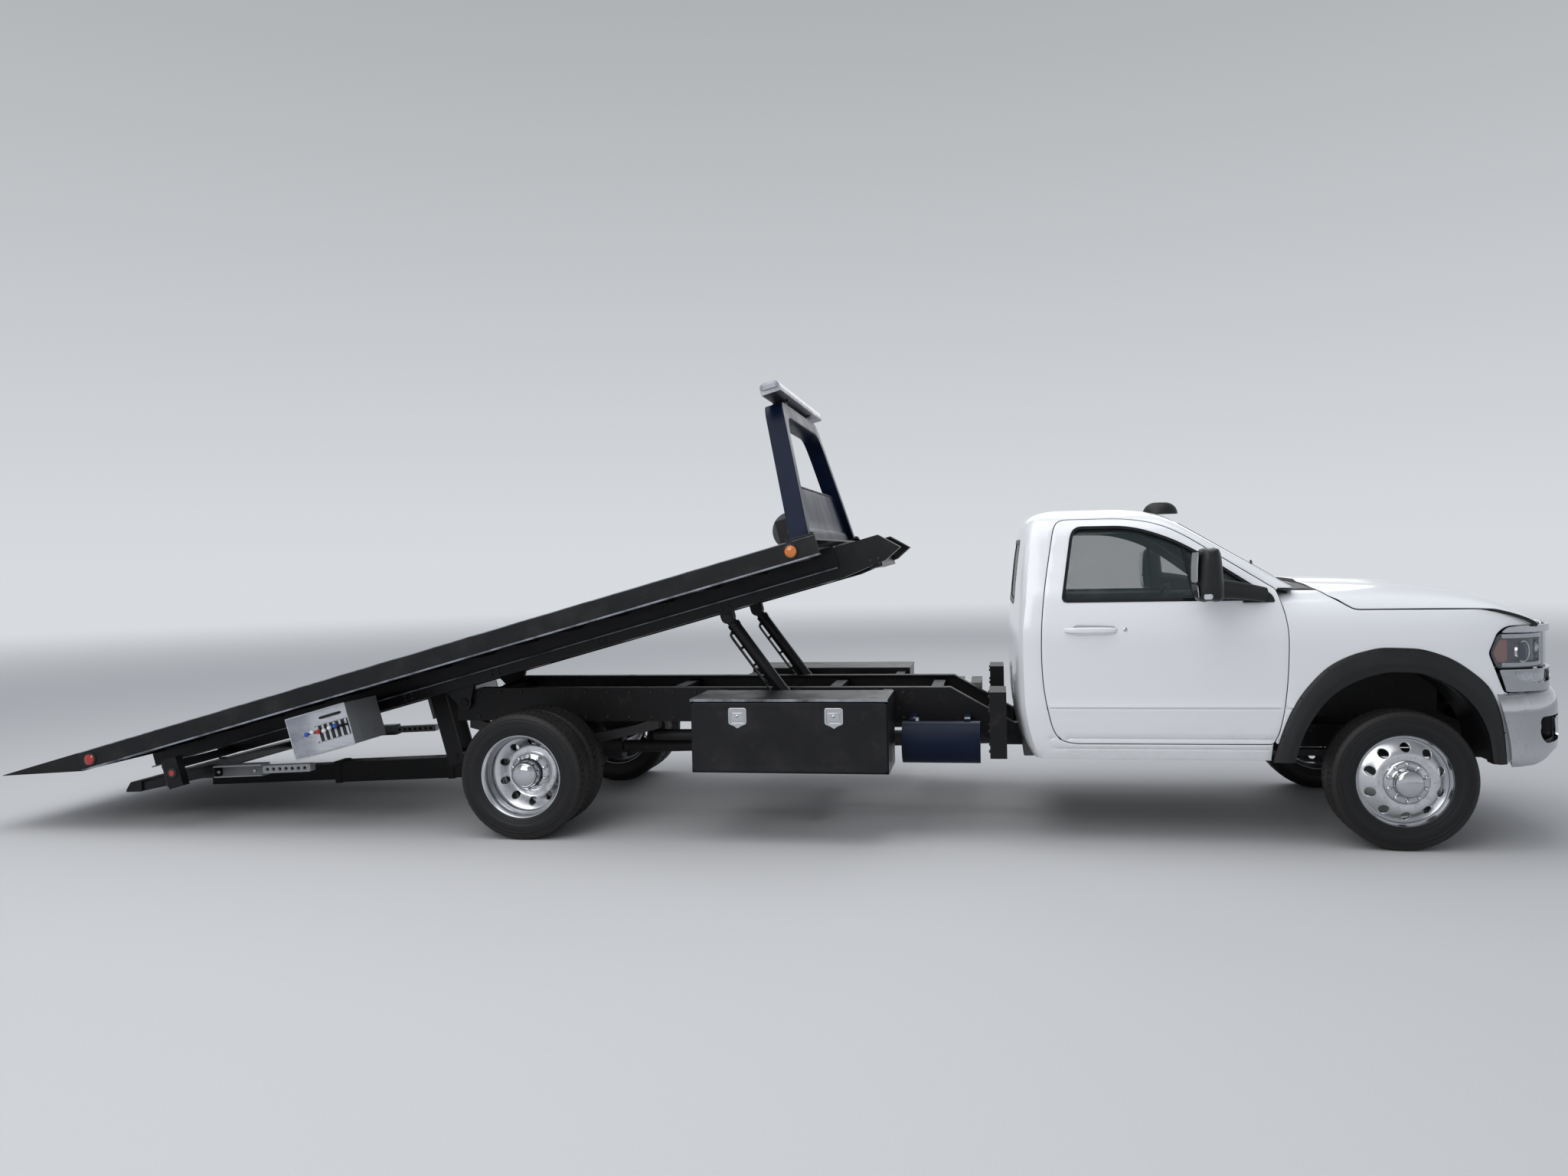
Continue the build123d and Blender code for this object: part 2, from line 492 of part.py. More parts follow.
fenders = []
for side, name in SIDES:
    with BuildPart() as fender:
        section_prism(FENDER_OUTSIDE, (FENDER_REAR, 700))
        section_prism([(ROCKER - 1, 960)] + [(z, w - SKIN) for z, w in FENDER_OUTSIDE] + [(1500, 860)],
                      (FENDER_REAR - 10, 710), mode=Mode.SUBTRACT)
        side_cut(FENDER_SIDE, side)
        nose_cut(0, (400, 1600))
        side_cut(lip(FLARE_INNER, FLARE_LIP) + [(480, 300), (-610, 300)], mode=Mode.SUBTRACT)
        # Stays from the fender to the scuttle and the chassis rail
        block((FRONT_AXLE_X - 600, FRONT_AXLE_X - 540), (side * 800, side * 985), (1150, 1170))
        block((FRONT_AXLE_X + 560, FRONT_AXLE_X + 600), (side * RAIL_OUT, side * 975), (600, 620))
    fenders.append(fender.part)

with BuildPart() as fender_pair:
    for half in fenders:
        add(half)
finish(fender_pair, "fenders")

with BuildPart() as wheel_flares:
    for side, name in SIDES:
        for y, deep, edge in ((1005, 17, FLARE_OUTER), (925, 82, lip(FLARE_INNER, FLARE_LIP - 5))):
            with BuildSketch(Plane(origin=(FRONT_AXLE_X, side * y, 0), x_dir=(1, 0, 0), z_dir=(0, -1, 0))):
                outline(edge + FLARE_INNER[::-1])
            extrude(amount=-side * deep)
finish(wheel_flares, "wheel_flares")


def nose_band(deep, height, near, far, side, mode=Mode.ADD):
    """A curved wall across the nose, from a depth, two heights and two distances from the middle."""
    corner, front = FRONT_AXLE_X + PLAN_CORNER, FRONT_AXLE_X + NOSE_X
    with BuildSketch(Plane.XY.offset(height[0])) as face:
        with BuildLine():
            outer = ThreePointArc((corner, -PLAN_WIDE), (front, 0), (corner, PLAN_WIDE))
            inner = ThreePointArc((corner - deep, PLAN_WIDE), (front - deep, 0), (corner - deep, -PLAN_WIDE))
            Line(outer @ 1, inner @ 0)
            Line(inner @ 1, outer @ 0)
        make_face()
        with Locations((FRONT_AXLE_X + 600, side * (near + far) / 2)):
            Rectangle(1400, far - near, mode=Mode.INTERSECT)
    extrude(face.sketch, amount=height[1] - height[0], mode=mode)


LAMP_NEAR, LAMP_FAR = 590, 948
with BuildPart() as grille:
    for side, name in SIDES:
        nose_band(58, (NOSE_LOW, NOSE_HIGH), 0, LAMP_NEAR, side)
        nose_band(58, (NOSE_LOW, LAMP_LOW), 0, LAMP_FAR, side)
        nose_band(58, (LAMP_HIGH, NOSE_HIGH), 0, LAMP_FAR, side)
        for z in (960, 1030, 1100, 1170):
            block((FRONT_AXLE_X + 600, FRONT_AXLE_X + 1000), (side * 20, side * 530), (z, z + 50),
                  mode=Mode.SUBTRACT)
finish(grille, "grille")

with BuildPart() as headlamps:
    for side, name in SIDES:
        nose_band(PLAN_CORNER - LAMP_REAR, (LAMP_LOW, LAMP_HIGH), LAMP_NEAR, LAMP_FAR, side)
finish(headlamps, "headlamps")

with BuildPart() as front_bumper:
    with BuildSketch(Plane.XY.offset(500)):
        with BuildLine():
            arc = ThreePointArc((FRONT_AXLE_X + 790, -960), (FRONT_AXLE_X + 985, 0),
                                (FRONT_AXLE_X + 790, 960))
            Polyline(arc @ 1, (FRONT_AXLE_X + 600, 990), (FRONT_AXLE_X + 600, 950),
                     (FRONT_AXLE_X + 750, 925))
            ThreePointArc((FRONT_AXLE_X + 750, 925), (FRONT_AXLE_X + 945, 0), (FRONT_AXLE_X + 750, -925))
            Polyline((FRONT_AXLE_X + 750, -925), (FRONT_AXLE_X + 600, -950), (FRONT_AXLE_X + 600, -990),
                     arc @ 0)
        make_face()
    extrude(amount=390)
    block((FRONT_AXLE_X + 500, FRONT_AXLE_X + 1100), (-600, 600), (590, 720), mode=Mode.SUBTRACT)
    for side, name in SIDES:
        block((FRONT_AXLE_X + 700, FRONT_AXLE_X + 1100), (side * 680, side * 860), (640, 790),
              mode=Mode.SUBTRACT)
        block((FRONT_AXLE_X + 820, FRONT_AXLE_X + 960), (side * 406, side * 430), (740, 800))
        block((FRONT_AXLE_X + 820, FRONT_AXLE_X + 830), (side * 406, side * 430), (560, 800))
finish(front_bumper, "front_bumper")

# Toolboxes with drop-down doors
with BuildPart() as toolboxes:
    for side, name in SIDES:
        block((FRONT_AXLE_X + BOX_REAR, FRONT_AXLE_X + BOX_FRONT), (side * BOX_IN, side * BOX_OUT),
              (BOX_FLOOR, BOX_TOP))
        block((FRONT_AXLE_X + BOX_REAR + 4, FRONT_AXLE_X + BOX_FRONT - 4),
              (side * (BOX_IN + 4), side * (BOX_OUT + 10)), (BOX_FLOOR + 4, BOX_TOP - 4), mode=Mode.SUBTRACT)
        block((FRONT_AXLE_X + BOX_REAR, FRONT_AXLE_X + BOX_FRONT), (side * BOX_IN, side * (BOX_OUT + 26)),
              (BOX_TOP, BOX_TOP + 14))
finish(toolboxes, "toolboxes")

for side, name in SIDES:
    with BuildPart() as toolbox_door:
        block((FRONT_AXLE_X + BOX_REAR + 6, FRONT_AXLE_X + BOX_FRONT - 6),
              (side * (BOX_OUT + SEAT_GAP), side * (BOX_OUT + 20)), (BOX_FLOOR + 10, BOX_TOP - 6))
    finish(toolbox_door, f"toolbox_door_{name}")

with BuildPart() as splash_panels:
    for side, name in SIDES:
        block((FRONT_AXLE_X - 2300, FRONT_AXLE_X - 2200), (side * 640, side * 975), (500, 900))
        block((FRONT_AXLE_X - 2300, FRONT_AXLE_X - 2250), (side * RAIL_OUT, side * 660), (600, 660))
finish(splash_panels, "splash_panels")

# Wheels
FRONT_Y = FRONT_TRACK / 2
HALF_TYRE = TYRE_WIDTH / 2
BEAD = RIM_WIDTH / 2 - 6
TYRE_SECTION = ((RIM_RADIUS + 1 + SEAT_GAP, -BEAD + 6), (335, -HALF_TYRE), (TYRE_RADIUS, -HALF_TYRE + 24),
                (TYRE_RADIUS, HALF_TYRE - 24), (335, HALF_TYRE), (RIM_RADIUS + 1 + SEAT_GAP, BEAD - 6))
RIM_SECTION = ((RIM_RADIUS + RIM_LIP, -RIM_WIDTH / 2), (RIM_RADIUS + RIM_LIP, -BEAD), (RIM_RADIUS + 1, -BEAD),
               (RIM_RADIUS + 1, BEAD), (RIM_RADIUS + RIM_LIP, BEAD), (RIM_RADIUS + RIM_LIP, RIM_WIDTH / 2),
               (RIM_RADIUS - 6, RIM_WIDTH / 2), (RIM_RADIUS - 6, -RIM_WIDTH / 2))
HAND_HOLES = 10


def ring(x, y, points, out, mode=Mode.ADD):
    """Turns (radius, distance out) corners about the wheel's axis."""
    with BuildSketch(Plane.YZ.offset(x)) as face:
        outline([(y + out * d, AXLE_Z + r) for r, d in points])
    revolve(face.sketch, axis=Axis((x, 0, AXLE_Z), (0, 1, 0)), mode=mode)


def disc(x, y, out, bore):
    """A wheel disc with its hand holes: mounting face at RIM_OUTSET along out from the rim's middle."""
    face = RIM_OUTSET
    ring(x, y, ((bore, face - 12), (bore, face), (155, face), (RIM_RADIUS - 3, face - 62),
                (RIM_RADIUS - 3, face - 78), (150, face - 12)), out)
    for k in range(HAND_HOLES):
        turn = 360 / HAND_HOLES * k
        cz, cx = 196 * cos(radians(turn)), 196 * sin(radians(turn))
        with Locations(Location((x + cx, y + out * (face - 40), AXLE_Z + cz), (90, 0, 0))):
            Cylinder(26, 120, mode=Mode.SUBTRACT)


for side, name in SIDES:
    with BuildPart() as front_rim:
        ring(FRONT_AXLE_X, side * FRONT_Y, RIM_SECTION, side)
        disc(FRONT_AXLE_X, side * FRONT_Y, side, SPINDLE_RADIUS + PIN_GAP)
        ring(FRONT_AXLE_X, side * FRONT_Y, ((SPINDLE_RADIUS + PIN_GAP, -85), (90, -85), (90, RIM_OUTSET - 12),
                                            (SPINDLE_RADIUS + PIN_GAP, RIM_OUTSET - 12)), side)
        ring(FRONT_AXLE_X, side * FRONT_Y, ((0, RIM_OUTSET - 12), (118, RIM_OUTSET - 12),
                                            (118, RIM_OUTSET + 40), (70, RIM_OUTSET + 62),
                                            (0, RIM_OUTSET + 76)), side)
    finish(front_rim, f"front_rim_{name}")
    with BuildPart() as front_tyre:
        ring(FRONT_AXLE_X, side * FRONT_Y, TYRE_SECTION, side)
    finish(front_tyre, f"front_tyre_{name}")
    middle = DUAL_TRACK / 2
    with BuildPart() as rear_rims:
        for step, out in ((-1, side), (1, -side)):
            ring(REAR_AXLE_X, side * (middle + step * DUAL_SPACING / 2), RIM_SECTION, out)
            disc(REAR_AXLE_X, side * (middle + step * DUAL_SPACING / 2), out, HUB_RADIUS + PIN_GAP)
        ring(REAR_AXLE_X, side * middle, ((HUB_RADIUS + PIN_GAP, -230), (95, -230), (95, 100),
                                          (HUB_RADIUS + PIN_GAP, 100)), side)
        ring(REAR_AXLE_X, side * middle, ((0, 100), (118, 100), (118, 10), (126, 10), (126, 150),
                                          (90, 190), (0, 200)), side)
    finish(rear_rims, f"rear_rims_{name}")
    with BuildPart() as rear_tyres:
        for step in (-1, 1):
            ring(REAR_AXLE_X, side * (middle + step * DUAL_SPACING / 2), TYRE_SECTION, side)
    finish(rear_tyres, f"rear_tyres_{name}")

# Tilting frame
FRAME_TOP = FRAME_FLOOR + FRAME_DEPTH
FRAME_OUTLINE = [(-FRAME_REAR, FRAME_TOP), (-FRAME_REAR, 140), (-FRAME_REAR + 200, FRAME_FLOOR),
                 (2800, FRAME_FLOOR), (3091, 138), (FRAME_FRONT, 192), (3084, FRAME_TOP)]
CROSS_TUBES = (-1820, -1200, -361, 300, 1100, 1980, 2600, 3020)
POST_REAR, POST_FRONT = -1837, -1731
STATION_REAR, STATION_FRONT = -898, -467
STATION_LOW, STATION_HIGH = -60, 215
STATION_IN, STATION_OUT = 750, 1150
POST_IN, POST_OUT = 1105, 1170
TAIL_BAR = (105, 160)       # lower and upper face, square to the bed
LIFT_LUG = 12
BOOM_PIVOT = (-361, -359)   # from the hinge, along and square to the bed
with BuildPart(BED) as tilt_frame:
    for side, name in SIDES:
        outer = side * (FRAME_MID + FRAME_WIDTH / 2)
        with BuildSketch(Plane(origin=(HINGE_X, outer, HINGE_HEIGHT), x_dir=(C, 0, S), z_dir=(0, -1, 0))):
            outline(FRAME_OUTLINE)
        extrude(amount=side * FRAME_WIDTH)
        with BuildSketch(Plane(origin=(HINGE_X, outer - side * FRAME_WALL, HINGE_HEIGHT),
                               x_dir=(C, 0, S), z_dir=(0, -1, 0))):
            outline(FRAME_OUTLINE)
            offset(amount=-FRAME_WALL, mode=Mode.REPLACE)
        extrude(amount=side * FRAME_WIDTH, mode=Mode.SUBTRACT)
        # Hinge lugs
        with BuildSketch(Plane(origin=(HINGE_X, side * (RAIL_OUT + 10), HINGE_HEIGHT), x_dir=(C, 0, S),
                               z_dir=(0, -1, 0))):
            outline([(-110, FRAME_FLOOR + 5), (-50, 0), (50, 0), (110, FRAME_FLOOR + 5)])
            Circle(50)
            Circle(HINGE_PIN_RADIUS + PIN_GAP, mode=Mode.SUBTRACT)
        extrude(amount=-side * 30)
        # Lugs and pin at the top of the lift cylinders
        u, w = LIFT_TOP
        for y in (LIFT_Y - LIFT_EYE / 2 - 1 - LIFT_LUG, LIFT_Y + LIFT_EYE / 2 + 1):
            with BuildSketch(Plane(origin=(HINGE_X, side * y, HINGE_HEIGHT), x_dir=(C, 0, S),
                                   z_dir=(0, -1, 0))):
                with Locations((u, w)):
                    Circle(45)
                with Locations((u, (w + FRAME_FLOOR + 5) / 2)):
                    Rectangle(90, FRAME_FLOOR + 5 - w)
            extrude(amount=-side * LIFT_LUG)
        rod_along_y(20, u, w, (side * (LIFT_Y - 32), side * (LIFT_Y + 32)))
        # Outriggers to the control stations
        block((-740, -680), (side * (FRAME_MID + 45), side * STATION_IN), (90, 160))
    for u in CROSS_TUBES:
        block((u - 40, u + 40), (-FRAME_MID - 42, FRAME_MID + 42), (FRAME_FLOOR + 5, FRAME_FLOOR + 75))
    # Hanger for the wheel lift
    for y in (-110, 92):
        block((BOOM_PIVOT[0] - 60, BOOM_PIVOT[0] + 60), (y, y + 18), (BOOM_PIVOT[1] - 60, FRAME_FLOOR + 40))
    rod_along_y(25, BOOM_PIVOT[0], BOOM_PIVOT[1], (-115, 115))
finish(tilt_frame, "tilt_frame")

# Bar across the frame's rear end, outside its rails, with a post for each tail lamp
FRAME_SIDE = FRAME_MID + FRAME_WIDTH / 2
with BuildPart(BED) as tail_bar:
    for side, name in SIDES:
        block((POST_REAR, POST_REAR + 80), (side * FRAME_SIDE, side * (POST_IN + 20)), TAIL_BAR)
        block((POST_REAR, POST_FRONT), (side * POST_IN, side * POST_OUT), (-15, 185))
finish(tail_bar, "tail_bar")

with BuildPart(BED) as control_stations:
    for side, name in SIDES:
        block((STATION_REAR, STATION_FRONT), (side * STATION_IN, side * STATION_OUT),
              (STATION_LOW, STATION_HIGH))
        block((STATION_REAR + 4, STATION_FRONT - 4), (side * (STATION_OUT - 120), side * (STATION_OUT + 10)),
              (STATION_LOW + 4, STATION_HIGH - 4), mode=Mode.SUBTRACT)
        block((STATION_REAR + 4, STATION_FRONT - 4), (side * (STATION_IN + 4), side * (STATION_OUT - 124)),
              (STATION_LOW - 10, STATION_HIGH - 4), mode=Mode.SUBTRACT)
finish(control_stations, "control_stations")

LEVERS = 6
LEVER_PITCH = 42
with BuildPart(BED) as control_levers:
    for side, name in SIDES:
        block((STATION_REAR + 140, STATION_REAR + 160 + LEVER_PITCH * (LEVERS - 1)),
              (side * (STATION_OUT - 120), side * (STATION_OUT - 112)), (55, 95))
        for k in range(LEVERS):
            u = STATION_REAR + 150 + LEVER_PITCH * k
            block((u - 5, u + 5), (side * (STATION_OUT - 116), side * (STATION_OUT - 30)), (70, 80))
            with Locations((u, side * (STATION_OUT - 28), 75)):
                Sphere(13)
finish(control_levers, "control_levers")

with BuildPart(BED) as tail_lamps:
    for side, name in SIDES:
        block((POST_REAR - 12, POST_REAR), (side * (POST_IN + 3), side * (POST_OUT - 3)), (0, 170))
        rod_along_y(30, (POST_REAR + POST_FRONT) / 2, 85, (side * POST_OUT, side * (POST_OUT + 10)))
finish(tail_lamps, "tail_lamps")

# Slide cylinder between the tilting frame and the bed
SLIDE_W = 240
SLIDE_RADIUS = 45
SLIDE_ROD = 25
SLIDE_REAR, SLIDE_MOUTH = -1600, 750
with BuildPart() as slide_barrel:
    with BuildSketch(Plane(origin=BED.from_local_coords((SLIDE_REAR, 0, SLIDE_W)), z_dir=(C, 0, S))):
        Circle(SLIDE_RADIUS)
    extrude(amount=SLIDE_MOUTH - SLIDE_REAR)
    with BuildSketch(Plane(origin=BED.from_local_coords((SLIDE_REAR + 20, 0, SLIDE_W)), z_dir=(C, 0, S))):
        Circle(SLIDE_ROD + PIN_GAP)
    extrude(amount=SLIDE_MOUTH - SLIDE_REAR, mode=Mode.SUBTRACT)
finish(slide_barrel, "slide_barrel")

# Lift cylinders between the chassis and the tilting frame
LIFT_HEAD = BED.from_local_coords((LIFT_TOP[0], 0, LIFT_TOP[1]))
LIFT_REACH = hypot(FOOT_X - LIFT_HEAD.X, FOOT_Z - LIFT_HEAD.Z)
LIFT_DX, LIFT_DZ = (FOOT_X - LIFT_HEAD.X) / LIFT_REACH, (FOOT_Z - LIFT_HEAD.Z) / LIFT_REACH
LIFT = Plane(origin=LIFT_HEAD, x_dir=(LIFT_DX, 0, LIFT_DZ), z_dir=(-LIFT_DZ, 0, LIFT_DX))
LIFT_PIN = 20
LIFT_BARREL = 40
LIFT_ROD = 23
BARREL_NEAR, BARREL_FAR = 52, 640
ROD_INNER = 560
with BuildPart(LIFT) as lift_barrels:
    for side, name in SIDES:
        y = side * LIFT_Y
        bar_along_x(LIFT_BARREL, (BARREL_NEAR, BARREL_FAR), y, 0)
        rod_along_y(33, 0, 0, (y - LIFT_EYE / 2, y + LIFT_EYE / 2))
        block((0, BARREL_NEAR + 4), (y - LIFT_EYE / 2, y + LIFT_EYE / 2), (-30, 30))
        rod_along_y(LIFT_PIN + PIN_GAP, 0, 0, (y - LIFT_EYE, y + LIFT_EYE), mode=Mode.SUBTRACT)
        bar_along_x(LIFT_ROD + PIN_GAP, (BARREL_NEAR + 40, BARREL_FAR + 10), y, 0, mode=Mode.SUBTRACT)
finish(lift_barrels, "lift_barrels")

with BuildPart(LIFT) as lift_rods:
    for side, name in SIDES:
        y = side * LIFT_Y
        bar_along_x(LIFT_ROD, (ROD_INNER, LIFT_REACH - 20), y, 0)
        rod_along_y(36, LIFT_REACH, 0, (y - LIFT_EYE / 2, y + LIFT_EYE / 2))
        rod_along_y(LIFT_PIN + 3, LIFT_REACH, 0, (y - LIFT_EYE, y + LIFT_EYE), mode=Mode.SUBTRACT)
finish(lift_rods, "lift_rods")

# Bed
BED_FRONT = BED_LENGTH - BED_REAR
HALF_BED = BED_WIDTH / 2
RAIL_FACE = HALF_BED - BED_LIP
BED_RAIL_LOW = BED_RAIL_TOP - BED_RAIL_HEIGHT
DECK_TOP = BED_RAIL_TOP - DECK_DROP
DECK_LOW = DECK_TOP - DECK_THICK
MEMBER_LOW = FRAME_TOP + SLIDE_GAP + 9.5
TAIL_U = -BED_REAR + TAIL_LENGTH
SILL_Y = FRAME_MID + FRAME_WIDTH / 2 + 15
SILL_LOW = 170
MEMBER_PITCH = 330
BED_CAP = 60
PLATFORM_REAR = 2350        # start of the thicker floor under the winch and the headboard
PLATFORM = 6
PLATFORM_TOP = DECK_TOP + PLATFORM
with BuildPart(BED) as bed_deck:
    for side, name in SIDES:
        # Side rail: web, top and bottom flanges, and the lip along the bottom
        block((TAIL_U, BED_FRONT), (side * (RAIL_FACE - BED_RAIL_WALL), side * RAIL_FACE),
              (BED_RAIL_LOW, BED_RAIL_TOP))
        block((TAIL_U, BED_FRONT), (side * (RAIL_FACE - BED_CAP), side * RAIL_FACE),
              (BED_RAIL_TOP - BED_RAIL_WALL, BED_RAIL_TOP))
        block((TAIL_U, BED_FRONT), (side * (RAIL_FACE - BED_CAP), side * HALF_BED),
              (BED_RAIL_LOW, BED_RAIL_LOW + BED_RAIL_WALL))
        # Tail end of the rail
        with BuildSketch(Plane(origin=(HINGE_X, side * RAIL_FACE, HINGE_HEIGHT), x_dir=(C, 0, S),
                               z_dir=(0, -1, 0))):
            outline([(TAIL_U, BED_RAIL_LOW), (TAIL_U, BED_RAIL_TOP), (-BED_REAR, BED_RAIL_TOP),
                     (-BED_REAR, BED_RAIL_TOP - 3)])
        extrude(amount=side * 30)
        # Deep sill beside the tilting frame, and the strip that slides on it
        block((TAIL_U, BED_FRONT), (side * SILL_Y, side * (SILL_Y + 8)), (SILL_LOW, MEMBER_LOW))
        block((TAIL_U, BED_FRONT), (side * SILL_Y, side * (SILL_Y + 48)), (SILL_LOW, SILL_LOW + 8))
        block((TAIL_U, BED_FRONT), (side * (FRAME_MID - 40), side * (FRAME_MID + 40)),
              (FRAME_TOP + SLIDE_GAP, MEMBER_LOW))
        for k in range(16):
            u = TAIL_U + 60 + k * MEMBER_PITCH
            block((u, u + 45), (side * (SILL_Y + 4), side * (RAIL_FACE - BED_CAP + 4)), (BED_RAIL_LOW, MEMBER_LOW + 2))
    block((TAIL_U, BED_FRONT), (-RAIL_FACE + 4, RAIL_FACE - 4), (DECK_LOW, DECK_TOP))
    block((PLATFORM_REAR, BED_FRONT), (-RAIL_FACE + 4, RAIL_FACE - 4), (DECK_TOP - 1, PLATFORM_TOP))
    for k in range(16):
        u = TAIL_U + 60 + k * MEMBER_PITCH
        block((u, u + 45), (-RAIL_FACE + 4, RAIL_FACE - 4), (MEMBER_LOW, DECK_LOW + 1))
    # Approach plate at the tail
    with BuildSketch(BED_SIDE):
        outline([(TAIL_U - 1, DECK_TOP), (TAIL_U + 20, DECK_TOP), (TAIL_U + 20, MEMBER_LOW), (TAIL_U - 40, MEMBER_LOW),
                 (-BED_REAR, BED_RAIL_TOP - 3), (-BED_REAR, BED_RAIL_TOP)])
    extrude(amount=RAIL_FACE - 4, both=True)
finish(bed_deck, "bed_deck")

# Pylon and headboard across the front of the bed
POST_U = (2637, 2753)
PYLON_WALL = 6
PYLON_OUTER = [(RAIL_FACE, BED_RAIL_TOP), (RAIL_FACE - 4, 410), (785, 1228), (705, 1288)]
PYLON_INNER = [(1110, BED_RAIL_TOP), (1100, 410), (735, 1090), (620, 1190)]
BOARD_TOP = 748


def arch_outline(rows):
    """A symmetric outline from (half width, height) corners, from the foot upwards."""
    return rows + [(-y, z) for y, z in reversed(rows)]


def bed_face(u):
    """A plane square to the bed, with the truck's left as its first axis."""
    return Plane(origin=BED.from_local_coords((u, 0, 0)), x_dir=(0, 1, 0), z_dir=(C, 0, S))


with BuildPart() as pylon:
    with BuildSketch(bed_face(POST_U[0])):
        outline(arch_outline(PYLON_OUTER))
        with BuildLine():
            Polyline(*arch_outline(PYLON_INNER), close=True)
        make_face(mode=Mode.SUBTRACT)
    extrude(amount=POST_U[1] - POST_U[0])
    with BuildSketch(bed_face(POST_U[0] + PYLON_WALL)):
        outline(arch_outline(PYLON_OUTER))
        with BuildLine():
            Polyline(*arch_outline(PYLON_INNER), close=True)
        make_face(mode=Mode.SUBTRACT)
        offset(amount=-PYLON_WALL, kind=Kind.INTERSECTION, mode=Mode.REPLACE)
    extrude(amount=POST_U[1] - POST_U[0] - 2 * PYLON_WALL, mode=Mode.SUBTRACT)
finish(pylon, "pylon")

with BuildPart() as headboard:
    with BuildSketch(bed_face(2700)):
        outline(arch_outline([(1090, PLATFORM_TOP), (1090, 405), (925, 700), (860, BOARD_TOP)]))
    extrude(amount=12)
finish(headboard, "headboard")

with BuildPart(BED) as light_bar:
    block((2665, 2785), (-900, 900), (1325, 1345))
    block((2672, 2778), (-888, 888), (1340, 1395))
    for y in (-450, 450):
        block((2670, 2740), (y - 40, y + 40), (1288, 1326))
finish(light_bar, "light_bar")

with BuildPart(BED) as bed_lamps:
    for side, name in SIDES:
        for u, w in ((2622, 330), (TAIL_U + 79, 324)):
            rod_along_y(37, u, w, (side * RAIL_FACE, side * HALF_BED))
finish(bed_lamps, "bed_lamps")

# Winch
WINCH_U, WINCH_W = 2500, 510
with BuildPart(BED) as winch_frame:
    block((2370, 2630), (-330, 420), (PLATFORM_TOP, PLATFORM_TOP + 12))
    for y in (-230, 215):
        block((WINCH_U - 90, WINCH_U + 90), (y, y + 15), (PLATFORM_TOP + 6, WINCH_W + 90))
        rod_along_y(25 + PIN_GAP, WINCH_U, WINCH_W, (y - 5, y + 20), mode=Mode.SUBTRACT)
    rod_along_y(95, WINCH_U, WINCH_W, (229, 330))
    rod_along_y(60, WINCH_U, WINCH_W, (320, 420))
    block((WINCH_U - 40, WINCH_U + 40), (240, 400), (PLATFORM_TOP + 6, WINCH_W - 40))
finish(winch_frame, "winch_frame")

with BuildPart(BED) as winch_drum:
    rod_along_y(25, WINCH_U, WINCH_W, (-228, 226))
    rod_along_y(95, WINCH_U, WINCH_W, (-190, 190))
    for y in (-205, 193):
        rod_along_y(130, WINCH_U, WINCH_W, (y, y + 12))
finish(winch_drum, "winch_drum")

with BuildPart(BED) as slide_rod:
    bar_along_x(SLIDE_ROD, (-180, 2620), 0, SLIDE_W)
    block((2590, 2630), (-60, 60), (200, MEMBER_LOW))
finish(slide_rod, "slide_rod")

# Wheel lift: boom, stinger and crossbar with an arm for each wheel
BOOM_PIN = BED.from_local_coords((BOOM_PIVOT[0], 0, BOOM_PIVOT[1]))
BOOM_SLOPE = 2.8
BOOM_C, BOOM_S = cos(radians(BOOM_SLOPE)), sin(radians(BOOM_SLOPE))
BOOM = Plane(origin=BOOM_PIN, x_dir=(BOOM_C, 0, BOOM_S), z_dir=(-BOOM_S, 0, BOOM_C))
BOOM_DROP = 85              # boom's pin to the middle of its tube
BOOM_END = -985
BOOM_HALF = 75
with BuildPart(BOOM) as lift_boom:
    block((BOOM_END, 60), (-BOOM_HALF, BOOM_HALF), (-BOOM_DROP - BOOM_HALF, -BOOM_DROP + BOOM_HALF))
    block((-45, 45), (-86, 86), (-BOOM_DROP, 30))
    block((BOOM_END - 1, 50), (-63, 63), (-BOOM_DROP - 63, -BOOM_DROP + 63), mode=Mode.SUBTRACT)
    block((-60, 60), (-63, 63), (-BOOM_DROP - 63, 40), mode=Mode.SUBTRACT)
    for y in ((-63.5, -58.3), (58.3, 63.5)):
        block((BOOM_END, BOOM_END + 80), y, (-BOOM_DROP - 40, -BOOM_DROP + 40))
        block((BOOM_END, BOOM_END + 80), (-40, 40), (y[0] - BOOM_DROP, y[1] - BOOM_DROP))
    rod_along_y(25 + PIN_GAP, 0, 0, (-100, 100), mode=Mode.SUBTRACT)
finish(lift_boom, "lift_boom")

CROSS_U = -1955
SWIVEL = 30
with BuildPart(BOOM) as stinger:
    block((CROSS_U - 60, -120), (-58, 58), (-BOOM_DROP - 58, -BOOM_DROP + 58))
    block((CROSS_U, -130), (-48, 48), (-BOOM_DROP - 48, -BOOM_DROP + 48), mode=Mode.SUBTRACT)
    with Locations((CROSS_U, 0, -BOOM_DROP + 98)):
        Cylinder(SWIVEL, 82)
finish(stinger, "stinger")

